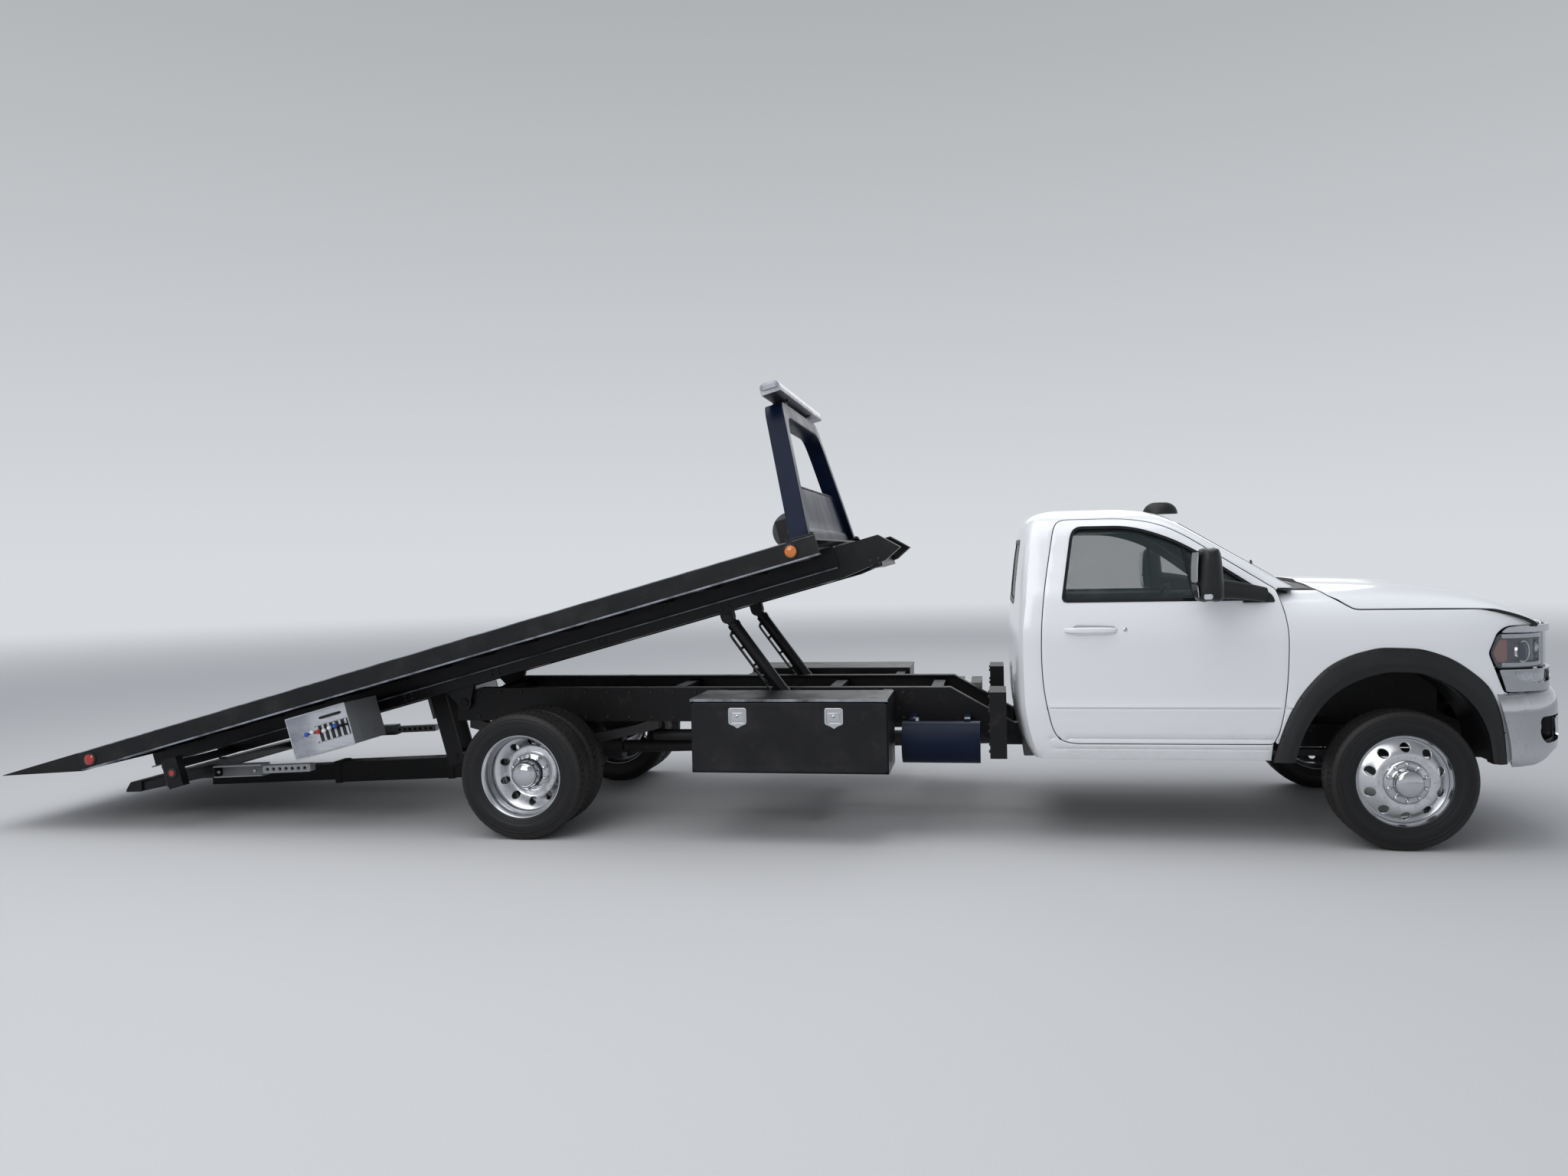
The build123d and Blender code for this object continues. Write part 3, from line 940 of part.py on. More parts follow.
ARM_Y = 900
BAR_Z = -BOOM_DROP + 66
with BuildPart(BOOM) as crossbar:
    block((CROSS_U - 62, CROSS_U + 62), (-ARM_Y - 60, ARM_Y + 60), (BAR_Z, BAR_Z + 70))
    with Locations((CROSS_U, 0, BAR_Z + 35)):
        Cylinder(SWIVEL + PIN_GAP, 80, mode=Mode.SUBTRACT)
    for side, name in SIDES:
        with BuildSketch(Plane(origin=BOOM.from_local_coords((0, side * (ARM_Y - 45), 0)), x_dir=(BOOM_C, 0, BOOM_S),
                               z_dir=(0, -1, 0))):
            outline([(CROSS_U + 50, BAR_Z), (CROSS_U + 50, BAR_Z + 60), (-1420, BAR_Z + 150), (-1340, BAR_Z + 150),
                     (-1340, BAR_Z + 72), (-1440, BAR_Z + 72)])
        extrude(amount=-side * 90)
        block((-1345, -985), (side * (ARM_Y - 50), side * (ARM_Y + 50)), (BAR_Z + 70, BAR_Z + 152))
        block((-990, -635), (side * (ARM_Y - 30), side * (ARM_Y + 30)), (BAR_Z + 85, BAR_Z + 137))
finish(crossbar, "crossbar")
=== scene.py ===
from math import cos, pi, radians, sin

import bmesh
import bpy
import numpy as np
from mathutils import Matrix, Vector
from mathutils.geometry import delaunay_2d_cdt


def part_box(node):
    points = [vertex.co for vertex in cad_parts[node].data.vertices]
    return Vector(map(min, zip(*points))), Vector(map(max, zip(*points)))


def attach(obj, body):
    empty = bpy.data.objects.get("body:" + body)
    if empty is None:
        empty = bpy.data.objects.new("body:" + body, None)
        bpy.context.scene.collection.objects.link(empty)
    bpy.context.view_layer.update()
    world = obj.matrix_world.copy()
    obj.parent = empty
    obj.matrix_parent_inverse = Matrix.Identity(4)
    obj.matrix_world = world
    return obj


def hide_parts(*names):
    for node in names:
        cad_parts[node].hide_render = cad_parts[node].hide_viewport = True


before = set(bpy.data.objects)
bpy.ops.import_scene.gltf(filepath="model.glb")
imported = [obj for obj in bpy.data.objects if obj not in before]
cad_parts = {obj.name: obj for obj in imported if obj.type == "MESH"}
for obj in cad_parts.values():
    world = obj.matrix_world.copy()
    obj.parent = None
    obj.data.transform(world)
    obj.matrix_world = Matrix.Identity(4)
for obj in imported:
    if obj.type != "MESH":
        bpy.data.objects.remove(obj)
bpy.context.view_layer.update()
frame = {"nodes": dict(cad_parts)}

bl_info = {
    "name": "Rollback tow truck",
    "version": (1, 0, 0),
    "blender": (4, 5, 0),
    "location": "3D View > Sidebar > Tow Truck",
    "description": "Dresses the packed tow truck: body panels, wheels, lamps, bed and wheel lift",
    "category": "Object",
}

# Metres throughout. Places on the cab and nose are measured from the front axle; AXLE_X brings them to the
# row's frame. The bed's own axes run along it (u) and square to it (w), from the hinge.


def middle(node):
    """The middle of a CAD node's box."""
    low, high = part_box(node)
    return (low + high) / 2


AXLE_X = middle("front_tyre_left").x
REAR_X = middle("rear_tyres_left").x
WHEEL_Z = middle("front_tyre_left").z
TILT = radians(15)
HINGE = np.array([REAR_X - 0.7, 0, 0.77])
BED_U = np.array([cos(TILT), 0, sin(TILT)])
BED_V = np.array([0, 1, 0])
BED_W = np.array([-sin(TILT), 0, cos(TILT)])
SIDES = ((1, "left"), (-1, "right"))


def nose(x, y, z):
    """Points from the front axle's place to the row's frame."""
    x, y, z = np.broadcast_arrays(np.asarray(x, float), y, z)
    return join(x + AXLE_X, y, z)


def bed(u, y, w):
    """Points along, across and square to the bed, from its hinge, in the row's frame."""
    u, y, w = np.broadcast_arrays(np.asarray(u, float), y, w)
    return HINGE + u[..., None] * BED_U + y[..., None] * BED_V + w[..., None] * BED_W


# Curves and outlines


def smooth_table(table, at):
    """Smooth values through a table's rows: cubic pieces between knots in the first column, with each slope
    the harmonic mean of its neighbours' slopes, so that the line never overshoots."""
    table = np.asarray(table, float)
    knots, values = table[:, 0], table[:, 1:]
    step = np.diff(knots)
    slope = np.diff(values, axis=0) / step[:, None]
    both = slope[:-1] * slope[1:] > 0
    mean = np.where(both, 2 * slope[:-1] * slope[1:] / np.where(both, slope[:-1] + slope[1:], 1), 0)
    tangent = np.concatenate([slope[:1], mean, slope[-1:]])
    at = np.asarray(at, float)
    k = np.clip(np.searchsorted(knots, at, side="right") - 1, 0, len(step) - 1)
    t = (np.clip(at, knots[0], knots[-1]) - knots[k]) / step[k]
    t, h = t[..., None], step[k][..., None]
    return ((2 * t**3 - 3 * t**2 + 1) * values[k] + (t**3 - 2 * t**2 + t) * h * tangent[k]
            + (3 * t**2 - 2 * t**3) * values[k + 1] + (t**3 - t**2) * h * tangent[k + 1])


def join(*parts):
    """Points from their coordinates, which may be numbers or arrays of like shape."""
    return np.stack(np.broadcast_arrays(*parts), -1)


def straight(start, end, count):
    """Evenly spaced points from start to end."""
    return join(*[np.linspace(a, b, count) for a, b in zip(start, end)])


def rows_at(along, heights):
    """One row of points for each height."""
    return [join(along, z) for z in heights]


def around(count):
    """Angles evenly round a circle."""
    return np.linspace(0, 2 * pi, count + 1)[:-1]


def bend(t, start, middle_at, end):
    """Points along a quadratic curve."""
    return (1 - t)**2 * start + 2 * t * (1 - t) * middle_at + t**2 * end


def strip(wide, low, narrow, high):
    """The section of a strip, as (across, up): wide at its low side and narrow at its high side."""
    return [(-wide, low), (wide, low), (narrow, high), (-narrow, high)]


def bolt_head(radius, high, top, crown):
    """A bolt head as (radius, distance out): a straight side up to high, and a chamfer to its flat top."""
    return [(radius, 0), (radius, high), (top, crown), (0, crown)]


def nearest(line, spot):
    """The index of a line's point that is nearest to a spot."""
    return int(np.argmin(np.hypot(*(line - spot).T)))


def ease(value, low, high):
    """0 below low, 1 above high and a smooth step between."""
    t = np.clip((np.asarray(value, float) - low) / (high - low), 0, 1)
    return t * t * (3 - 2 * t)


def rounded(corners, radius, count=7, closed=True):
    """Corners turned by quadratic curves that start a radius before each corner, or less on short edges.
    radius is one number or one for each corner."""
    corners = np.asarray(corners, float)
    radii = np.broadcast_to(np.asarray(radius, float), len(corners))
    t = np.linspace(0, 1, count)[:, None]
    line = []
    for k, corner in enumerate(corners):
        if not closed and k in (0, len(corners) - 1):
            line.append(corner[None])
            continue
        before, after = corners[k - 1] - corner, corners[(k + 1) % len(corners)] - corner
        la, lb = np.linalg.norm(before), np.linalg.norm(after)
        start = corner + before * min(radii[k] / la, 0.48)
        end = corner + after * min(radii[k] / lb, 0.48)
        line.append(bend(t, start, corner, end))
    return np.concatenate(line)


def resample(line, step, closed=True):
    """Points an even step apart along a line."""
    line = np.asarray(line, float)
    if closed:
        line = np.concatenate([line, line[:1]])
    run = np.concatenate([[0], np.cumsum(np.linalg.norm(np.diff(line, axis=0), axis=1))])
    count = max(int(round(run[-1] / step)), 3)
    at = np.linspace(0, run[-1], count + 1)[:None if not closed else -1]
    return join(*[np.interp(at, run, column) for column in line.T])


def turn_sign(line):
    """1 for an outline that runs anticlockwise, -1 for clockwise, from the sum of its cross products."""
    ahead = np.roll(line, -1, 0)
    return np.sign(np.sum(line[:, 0] * ahead[:, 1] - ahead[:, 0] * line[:, 1]))


def inset(line, amount):
    """A closed outline with each point moved inwards, square to the line through its neighbours."""
    tangent = np.roll(line, -1, 0) - np.roll(line, 1, 0)
    tangent /= np.maximum(np.linalg.norm(tangent, axis=1, keepdims=True), 1e-9)
    return line + amount * turn_sign(line) * join(-tangent[:, 1], tangent[:, 0])


def inside(points, line):
    """Whether each point lies inside a closed outline, by counting crossings of a ray."""
    x, y = points[:, :1], points[:, 1:2]
    x1, y1 = line[:, 0], line[:, 1]
    x2, y2 = np.roll(x1, -1), np.roll(y1, -1)
    crosses = (y1 > y) != (y2 > y)
    rise = np.where(y2 == y1, 1e-12, y2 - y1)
    return (np.sum(crosses & (x < (x2 - x1) * (y - y1) / rise + x1), axis=1) % 2) == 1


def covered(points, lines):
    """Whether each point lies inside the first outline and outside the others."""
    return inside(points, lines[0]) & ~np.any([inside(points, hole) for hole in lines[1:]] or [[False]],
                                              axis=0)


def distance_to(points, lines):
    """Distance from each point to the nearest edge of several closed outlines."""
    starts = np.concatenate(lines)
    ends = np.concatenate([np.roll(line, -1, 0) for line in lines])
    along = ends - starts
    size = np.maximum(np.sum(along**2, 1), 1e-14)
    best = np.full(len(points), 1e9)
    for first in range(0, len(points), 4000):
        part = points[first:first + 4000, None]
        t = np.clip(np.sum((part - starts) * along, -1) / size, 0, 1)
        gap = np.linalg.norm(part - starts - t[..., None] * along, axis=-1)
        best[first:first + 4000] = gap.min(1)
    return best


# Meshes


def grid_faces(rows, columns, close_rows=False, close_columns=False):
    """Quads between the points of a grid whose index is row times columns plus column."""
    r, c = np.meshgrid(np.arange(rows if close_rows else rows - 1),
                       np.arange(columns if close_columns else columns - 1), indexing="ij")
    r2, c2 = (r + 1) % rows, (c + 1) % columns
    quads = [r * columns + c, r * columns + c2, r2 * columns + c2, r2 * columns + c]
    return np.stack(quads, -1).reshape(-1, 4)


class Shape:
    """The points and faces of one piece, gathered from several surfaces. kind is the index of a finish."""

    def __init__(self):
        self.points, self.faces, self.kinds, self.count = [], [], [], 0

    def add(self, points, faces, kind=0):
        points = np.asarray(points, float).reshape(-1, 3)
        self.points.append(points)
        self.faces += [[i + self.count for i in face] for face in faces]
        self.kinds += [kind] * len(faces) if np.isscalar(kind) else list(kind)
        self.count += len(points)
        return self

    def mirrored(self):
        """The same shape and its mirror image across the truck's middle plane."""
        points = np.concatenate(self.points)
        other = points * [1, -1, 1]
        self.faces += [[i + self.count for i in reversed(face)] for face in self.faces]
        self.kinds += self.kinds
        self.points = [points, other]
        self.count *= 2
        return self

    def build(self, name, body, *finishes, replaces=(), crease=35, recalc=True):
        """One object at the origin that rides on a body, with welded seams and outward faces."""
        mesh = bpy.data.meshes.new(name)
        mesh.from_pydata(np.concatenate(self.points).tolist(), [], self.faces)
        mesh.polygons.foreach_set("material_index", np.array(self.kinds, np.int32))
        work = bmesh.new()
        work.from_mesh(mesh)
        bmesh.ops.remove_doubles(work, verts=work.verts, dist=1e-5)
        bmesh.ops.dissolve_degenerate(work, dist=5e-6, edges=work.edges)
        if recalc:
            bmesh.ops.recalc_face_normals(work, faces=work.faces)
        work.to_mesh(mesh)
        work.free()
        for name_of in finishes:
            mesh.materials.append(finish(name_of))
        mesh.shade_smooth()
        mesh.set_sharp_from_angle(angle=radians(crease))
        piece = bpy.data.objects.new(name, mesh)
        bpy.context.scene.collection.objects.link(piece)
        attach(piece, body)
        if replaces:
            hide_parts(*replaces)
        return piece


def sheet_grid(shape, points, close_rows=False, close_columns=False, kind=0, caps=False):
    """Adds a grid of points, with its first and last rows closed by one face each if caps is set."""
    rows, columns = points.shape[:2]
    faces = grid_faces(rows, columns, close_rows, close_columns).tolist()
    if caps:
        faces += [list(range(columns))[::-1], list(range((rows - 1) * columns, rows * columns))]
    return shape.add(points.reshape(-1, 3), faces, kind)


def block(shape, low, high, chamfer=0.002, place=None, kind=0):
    """A box with chamfered edges: each corner is three points, set in by the chamfer along one axis each.
    place turns the corners into the row's frame."""
    low, high = np.minimum(low, high), np.maximum(low, high)
    c = min(chamfer, 0.3 * float(np.min(high - low)))
    signs = np.array([[i, j, k] for i in (0, 1) for j in (0, 1) for k in (0, 1)])
    corner = low + signs * (high - low)
    inward = 1 - 2 * signs
    points = np.stack([corner + c * inward * mask for mask in ([0, 1, 1], [1, 0, 1], [1, 1, 0])], 1)
    index = {tuple(s): i * 3 for i, s in enumerate(signs.tolist())}
    faces = [[index[tuple(s)] + a for a in range(3)] for s in signs.tolist()]
    for axis in range(3):
        p, q = [a for a in range(3) if a != axis]
        for side in (0, 1):
            ring = []
            for i, j in ((0, 0), (1, 0), (1, 1), (0, 1)):
                s = [0, 0, 0]
                s[axis], s[p], s[q] = side, i, j
                ring.append(index[tuple(s)] + axis)
            faces.append(ring)
        for i, j in ((0, 0), (1, 0), (1, 1), (0, 1)):
            ends = []
            for side in (0, 1):
                s = [0, 0, 0]
                s[axis], s[p], s[q] = side, i, j
                ends.append(index[tuple(s)])
            faces.append([ends[0] + p, ends[1] + p, ends[1] + q, ends[0] + q])
    points = points.reshape(-1, 3)
    if place is not None:
        points = place(points[:, 0], points[:, 1], points[:, 2])
    return shape.add(points, faces, kind)


def frames_along(path, up):
    """Two unit vectors square to a path at each point: the first turned least from up."""
    tangent = np.gradient(path, axis=0)
    tangent /= np.linalg.norm(tangent, axis=1, keepdims=True)
    first = np.empty_like(path)
    last = np.asarray(up, float)
    for k, t in enumerate(tangent):
        last = last - t * np.dot(last, t)
        last = last / np.linalg.norm(last)
        first[k] = last
    return first, np.cross(tangent, first)


def sweep(shape, path, profile, up=(0, 0, 1), scale=1.0, closed=False):
    """Carries a closed profile (across, up) along a path, scaled by a number or one for each point."""
    path, profile = np.asarray(path, float), np.asarray(profile, float)
    first, second = frames_along(path, up)
    scale = np.broadcast_to(np.asarray(scale, float), len(path))[:, None, None]
    across, high = profile[None, :, :1] * second[:, None], profile[None, :, 1:] * first[:, None]
    points = path[:, None] + scale * (across + high)
    return sheet_grid(shape, points, close_rows=closed, close_columns=True, caps=not closed)


def circle(radius, count=12):
    """Points round a circle."""
    turn = np.arange(count) * 2 * pi / count
    return radius * join(np.cos(turn), np.sin(turn))


def lathe(shape, profile, centre, side=1, count=96, closed=False, kind=0, axis=(0, 1, 0)):
    """Turns (radius, distance out) rows about an axis through centre: radius times the unit circle square to
    the axis, plus the distance along it."""
    profile = np.asarray(profile, float)
    axis = np.asarray(axis, float)
    across = np.cross(axis, [0, 0, 1]) if abs(axis[2]) < 0.9 else np.array([1.0, 0, 0])
    across = across / np.linalg.norm(across)
    other = np.cross(axis, across)
    turn = np.arange(count) * 2 * pi / count
    ring = np.cos(turn)[:, None] * across + np.sin(turn)[:, None] * other
    points = np.asarray(centre, float) + profile[:, None, :1] * ring[None]
    points = points + side * profile[:, None, 1:] * axis
    return sheet_grid(shape, points, close_rows=closed, close_columns=True, kind=kind)


# distance in from a pressed edge, and depth below the face there
ROLL = np.array([(0.0, 0.004), (0.001, 0.0018), (0.0026, 0.0005), (0.005, 0.0)])


def normal_of(surface, a, b, out):
    """Unit normals of a surface, from its slopes along its two coordinates, turned about where out is -1."""
    step = 2e-3
    along, up = surface(a + step, b) - surface(a - step, b), surface(a, b + step) - surface(a, b - step)
    normal = np.cross(along, up) * out
    return normal / np.maximum(np.linalg.norm(normal, axis=-1, keepdims=True), 1e-12)


def panel(shape, surface, outline, holes=(), pitch=0.04, wall=0.02, roll=1.0, rows=(), out=1,
          inner_kind=0, seam=False):
    """A closed pressed panel over part of a surface. Rings of points run beside each edge, where the face
    rolls down, and a grid fills the rest; the flat outline is cut into triangles and carried to the surface,
    and a second layer lies a wall below it along the normal. rows are more lines of points. At a seam, where
    the panel meets its mirror image at the middle plane, there is no roll and no edge wall."""
    lines, edges, flat, count = [np.asarray(outline, float), *holes], [], [], 0
    for k, line in enumerate(lines):
        for depth in ROLL[:, 0] * roll:
            ring = inset(line, depth if k == 0 else -depth) if depth else line
            number = np.arange(len(ring)) + count
            if depth in (0, ROLL[-1, 0] * roll):
                edges += join(number, np.roll(number, -1)).tolist()
            flat.append(ring)
            count += len(ring)
    low, high = lines[0].min(0), lines[0].max(0)
    steps = np.maximum(np.ceil((high - low) / pitch).astype(int), 2)
    u, v = np.meshgrid(np.linspace(low[0], high[0], steps[0] + 1), np.linspace(low[1], high[1], steps[1] + 1))
    fill = join(u.ravel(), v.ravel())
    for row in rows:
        fill = fill[distance_to(fill, [row]) > 0.3 * pitch]
    fill = np.concatenate([fill, *rows])
    fill = fill[covered(fill, lines)]
    fill = fill[distance_to(fill, lines) > ROLL[-1, 0] * roll + 0.25 * pitch]
    flat = np.concatenate(flat + [fill])
    found = delaunay_2d_cdt([Vector(p) for p in flat], edges, [], 0, 1e-6)
    flat = np.array([(p.x, p.y) for p in found[0]])
    triangles = np.array(found[2])
    triangles = triangles[covered(flat[triangles].mean(1), lines)]
    used, triangles = np.unique(triangles, return_inverse=True)
    flat, triangles = flat[used], triangles.reshape(-1, 3)
    a, b = flat.T
    place, normal = surface(a, b), normal_of(surface, a, b, out)
    depth = np.interp(distance_to(flat, lines), ROLL[:, 0] * roll, ROLL[:, 1] * roll)
    middle_line = np.abs(place[:, 1]) < 1e-4
    if seam:
        depth[middle_line] = 0
    thick = wall(flat[:, 0], flat[:, 1]) if callable(wall) else wall
    outer = place - depth[:, None] * normal
    inner = place - np.reshape(thick, (-1, 1)) * normal
    if seam:
        outer[middle_line, 1], inner[middle_line, 1] = 0, 0
    n = len(flat)
    sides = np.concatenate([triangles[:, [0, 1]], triangles[:, [1, 2]], triangles[:, [2, 0]]])
    forward = sides[:, 0].astype(np.int64) * n + sides[:, 1]
    backward = sides[:, 1].astype(np.int64) * n + sides[:, 0]
    rim = sides[~np.isin(forward, backward)]
    if seam:
        rim = rim[~(middle_line[rim[:, 0]] & middle_line[rim[:, 1]])]
    faces = triangles.tolist() + (triangles[:, ::-1] + n).tolist()
    faces += join(rim[:, 1], rim[:, 0], rim[:, 0] + n, rim[:, 1] + n).tolist()
    kinds = [0] * len(triangles) + [inner_kind] * (len(triangles) + len(rim))
    return shape.add(np.concatenate([outer, inner]), faces, kinds)


# Shader maths


class Socket:
    """One output in a material's node tree. Operators on it add Math nodes."""

    def __init__(self, tree, output):
        self.tree, self.output = tree, output

    def math(self, operation, *others):
        return self.tree.node("ShaderNodeMath", {"operation": operation}, self, *others)

    def __add__(self, other):
        return self.math("ADD", other)

    def __sub__(self, other):
        return self.math("SUBTRACT", other)

    def __mul__(self, other):
        return self.math("MULTIPLY", other)

    def __rsub__(self, other):
        return self.tree.node("ShaderNodeMath", {"operation": "SUBTRACT"}, other, self)

    __radd__, __rmul__ = __add__, __mul__

    def band(self, low, high):
        """0 at low, 1 at high, smooth between."""
        return self.tree.node("ShaderNodeMapRange", {"interpolation_type": "SMOOTHSTEP"}, self, low,
                              high, 0.0, 1.0)


class Nodes:
    """The node tree of a material or world, and shared ways to add nodes to it."""

    def __init__(self, owner):
        owner.use_nodes = True
        self.nodes, self.links = owner.node_tree.nodes, owner.node_tree.links
        self.place = None

    def node(self, kind, settings=None, *values, output=0, **named):
        """Adds a node: its settings first, then the values or links of its inputs, by order or by name."""
        node = self.nodes.new(kind)
        for key, value in (settings or {}).items():
            setattr(node, key, value)
        pairs = list(enumerate(values)) + [(k.replace("_", " "), v) for k, v in named.items()]
        for key, value in pairs:
            if value is not None:
                self.put(node.inputs[key], value)
        return Socket(self, node.outputs[output])

    def put(self, socket, value):
        """Gives a socket a link or a value. A colour's alpha is 1."""
        if isinstance(value, Socket):
            self.links.new(value.output, socket)
        elif socket.type == "RGBA" and len(value) == 3:
            socket.default_value = (*value, 1)
        else:
            socket.default_value = value

    def coordinates(self):
        if self.place is None:
            self.place = self.node("ShaderNodeTexCoord", None, output="Object")
        return self.place

    def noise(self, scale, detail=3.0, rough=0.5, stretch=None):
        """Noise from 0 to 1 on object coordinates, with cells 1/scale metres across."""
        place = self.coordinates()
        if stretch is not None:
            place = self.node("ShaderNodeMapping", None, place, Scale=stretch)
        return self.node("ShaderNodeTexNoise", None, place, Scale=scale, Detail=detail, Roughness=rough)

    def mix(self, factor, first, second):
        """A colour between two colours. The node's colours are its inputs 6 and 7, and its output 2."""
        return self.node("ShaderNodeMix", {"data_type": "RGBA"}, factor, *[None] * 5, first, second, output=2)

    def axis(self, name):
        """One of the object coordinates."""
        return self.node("ShaderNodeSeparateXYZ", None, self.coordinates(), output=name)

    def bump(self, height, distance=0.001, strength=0.5):
        """A normal that follows a height."""
        return self.node("ShaderNodeBump", None, Strength=strength, Distance=distance, Height=height)


class Finish(Nodes):
    """One material."""

    def __init__(self, name):
        self.material = bpy.data.materials.new(name)
        super().__init__(self.material)
        self.shader = self.nodes["Principled BSDF"]

    def set(self, **values):
        """Values or links for the main shader's sockets."""
        for key, value in values.items():
            self.put(self.shader.inputs[key.replace("_", " ")], value)
        return self.material


FINISHES = {}


def finish(name):
    """A finish by its name, made once."""
    if name not in FINISHES:
        FINISHES[name] = SPECIAL[name](name) if name in SPECIAL else patched(name, *PLAIN[name])
    return FINISHES[name]


def patched(name, first, second, scale, low, high, rough, gain=0.1, grain=(300, 0.0003, 0.2), more=None,
            stretch=None):
    """Two colours mixed by smooth patches of noise, which also raise the roughness by gain, under a fine
    grain given by its scale, depth and strength. more holds other sockets' values."""
    f = Finish(name)
    patch = f.noise(scale, 5, 0.6, stretch).band(low, high)
    return f.set(Base_Color=f.mix(patch, first, second), Roughness=rough + patch * gain,
                 Normal=f.bump(f.noise(grain[0], 2, 0.5, stretch), *grain[1:]), **(more or {}))


METAL, DULL, DRAWN = {"Metallic": 1.0}, {"Specular_IOR_Level": 0.25}, (0.03, 1.0, 1.0)


def clear(alpha):
    """Sockets of clear or tinted glass."""
    return {"Alpha": alpha, "IOR": 1.5, "Coat_Weight": 0.5}


def pane(first, second, alpha):
    """A row of PLAIN for smooth glass."""
    return first, second, 8, 0.5, 0.9, 0.02, 0.04, (9, 0.00001, 0.02), clear(alpha)


def lens(first, second, rough, grain=(200, 0.0004, 0.25)):
    """A row of PLAIN for a coloured lamp lens."""
    return first, second, 60, 0.3, 0.9, rough, 0.05, grain, {"Coat_Weight": 0.8}


def knob(first, second):
    """A row of PLAIN for a lever's knob."""
    return first, second, 150, 0.5, 0.9, 0.25, 0.2


# For each finish: two colours, the patches' scale and band, roughness and gain, grain, other sockets, stretch
PLAIN = {
    "moulded_black": ((0.007, 0.007, 0.008), (0.013, 0.0135, 0.015), 5, 0.3, 0.8, 0.38, 0.14,
                      (900, 0.0003, 0.25), {"Specular_IOR_Level": 0.4}),
    "chassis_black": ((0.005, 0.005, 0.006), (0.035, 0.031, 0.026), 11, 0.55, 0.8, 0.45, 0.3,
                      (240, 0.0006, 0.3), DULL),
    "gloss_black": ((0.006, 0.007, 0.009), (0.011, 0.012, 0.015), 40, 0.4, 0.9, 0.12),
    # black paint tinted dark blue: a painted reflection of the sky
    "dark_blue": ((0.003, 0.008, 0.024), (0.007, 0.014, 0.036), 3, 0.3, 0.8, 0.3, 0.15, (40, 0.0002, 0.1),
                  {"Specular_IOR_Level": 0.12}),
    "chrome": ((0.56, 0.57, 0.59), (0.46, 0.47, 0.48), 34, 0.5, 0.85, 0.05, 0.09, (40, 0.00002, 0.05), METAL),
    "stainless": ((0.6, 0.61, 0.65), (0.74, 0.75, 0.79), 40, 0.3, 0.8, 0.26, 0.1, (200, 0.0001, 0.2),
                  METAL, DRAWN),
    "bare_steel": ((0.42, 0.43, 0.45), (0.28, 0.27, 0.26), 9, 0.5, 0.85, 0.3, 0.2, (160, 0.0002, 0.25),
                   METAL, DRAWN),
    "dull_alloy": ((0.3, 0.31, 0.34), (0.22, 0.22, 0.24), 12, 0.3, 0.8, 0.34, 0.15,
                   (300, 0.0002, 0.2), METAL),
    "grey_paint": ((0.26, 0.27, 0.28), (0.11, 0.09, 0.07), 55, 0.62, 0.72, 0.4, 0.3, (90, 0.0004, 0.2)),
    "cast_iron": ((0.018, 0.018, 0.02), (0.07, 0.04, 0.024), 18, 0.52, 0.78, 0.6, 0.1, (240, 0.001, 0.45)),
    "cab_trim": ((0.03, 0.031, 0.034), (0.045, 0.046, 0.05), 6, 0.3, 0.7, 0.6, 0.05, (500, 0.0005, 0.35)),
    # near black with bright bluish patches: a painted highlight for edges that catch the light
    "worn_edge": ((0.03, 0.032, 0.038), (0.26, 0.28, 0.32), 6, 0.3, 0.62, 0.32, 0.1),
    # flat near black: painted shade, set behind holes where only shadow would show
    "soot": ((0.003, 0.003, 0.003), (0.01, 0.009, 0.009), 90, 0.5, 0.9, 0.9, 0.0),
    "ribbed_lens": ((0.27, 0.27, 0.32), (0.4, 0.4, 0.46), 9, 0.3, 0.7, 0.16, 0.1, (60, 0.0004, 0.2),
                    clear(0.78)),
    "tinted_glass": pane((0.05, 0.07, 0.07), (0.16, 0.17, 0.17), 0.26),
    "clear_lens": pane((0.5, 0.54, 0.6), (0.58, 0.6, 0.64), 0.1),
    "white_lens": lens((0.62, 0.64, 0.68), (0.36, 0.38, 0.42), 0.08, (200, 0.0003, 0.2)),
    "red_lens": lens((0.42, 0.01, 0.008), (0.2, 0.004, 0.003), 0.1),
    "amber_lens": lens((0.72, 0.2, 0.02), (0.34, 0.085, 0.01), 0.1),
    "brown_lens": lens((0.22, 0.06, 0.022), (0.1, 0.03, 0.014), 0.08),
    "knob_red": knob((0.55, 0.02, 0.02), (0.4, 0.03, 0.03)),
    "knob_white": knob((0.8, 0.8, 0.8), (0.62, 0.62, 0.62)),
    "knob_blue": knob((0.02, 0.1, 0.5), (0.04, 0.11, 0.4)),
}


def body_paint(name):
    """Clear-coated white paint with road film low on the body."""
    f = Finish(name)
    film = (1 - f.axis("Z").band(0.45, 0.85)) * f.noise(9, 4).band(0.35, 0.8) * 0.35
    return f.set(Base_Color=f.mix(film, tuple(bpy.context.scene.tow_truck_colours.body), (0.62, 0.6, 0.56)),
                 Roughness=0.22 + film * 0.4, Coat_Weight=0.6, Coat_Roughness=0.04,
                 Normal=f.bump(f.noise(260, 2, 0.4), 0.0002, 0.05))


def black_paint(name):
    """Black paint of the bed and frame: scuffs, patches of dust and a faint ripple."""
    f = Finish(name)
    scuff = f.noise(14, 6, 0.62).band(0.56, 0.78)
    dust = f.noise(4, 5, 0.6).band(0.4, 0.85) * 0.16
    shade = f.mix(scuff * 0.3, tuple(bpy.context.scene.tow_truck_colours.frame), (0.03, 0.032, 0.037))
    return f.set(Base_Color=f.mix(dust, shade, (0.1, 0.095, 0.085)), Roughness=0.3 + scuff * 0.2 + dust,
                 Specular_IOR_Level=0.25, Normal=f.bump(f.noise(7, 2, 0.4), 0.002, 0.1))


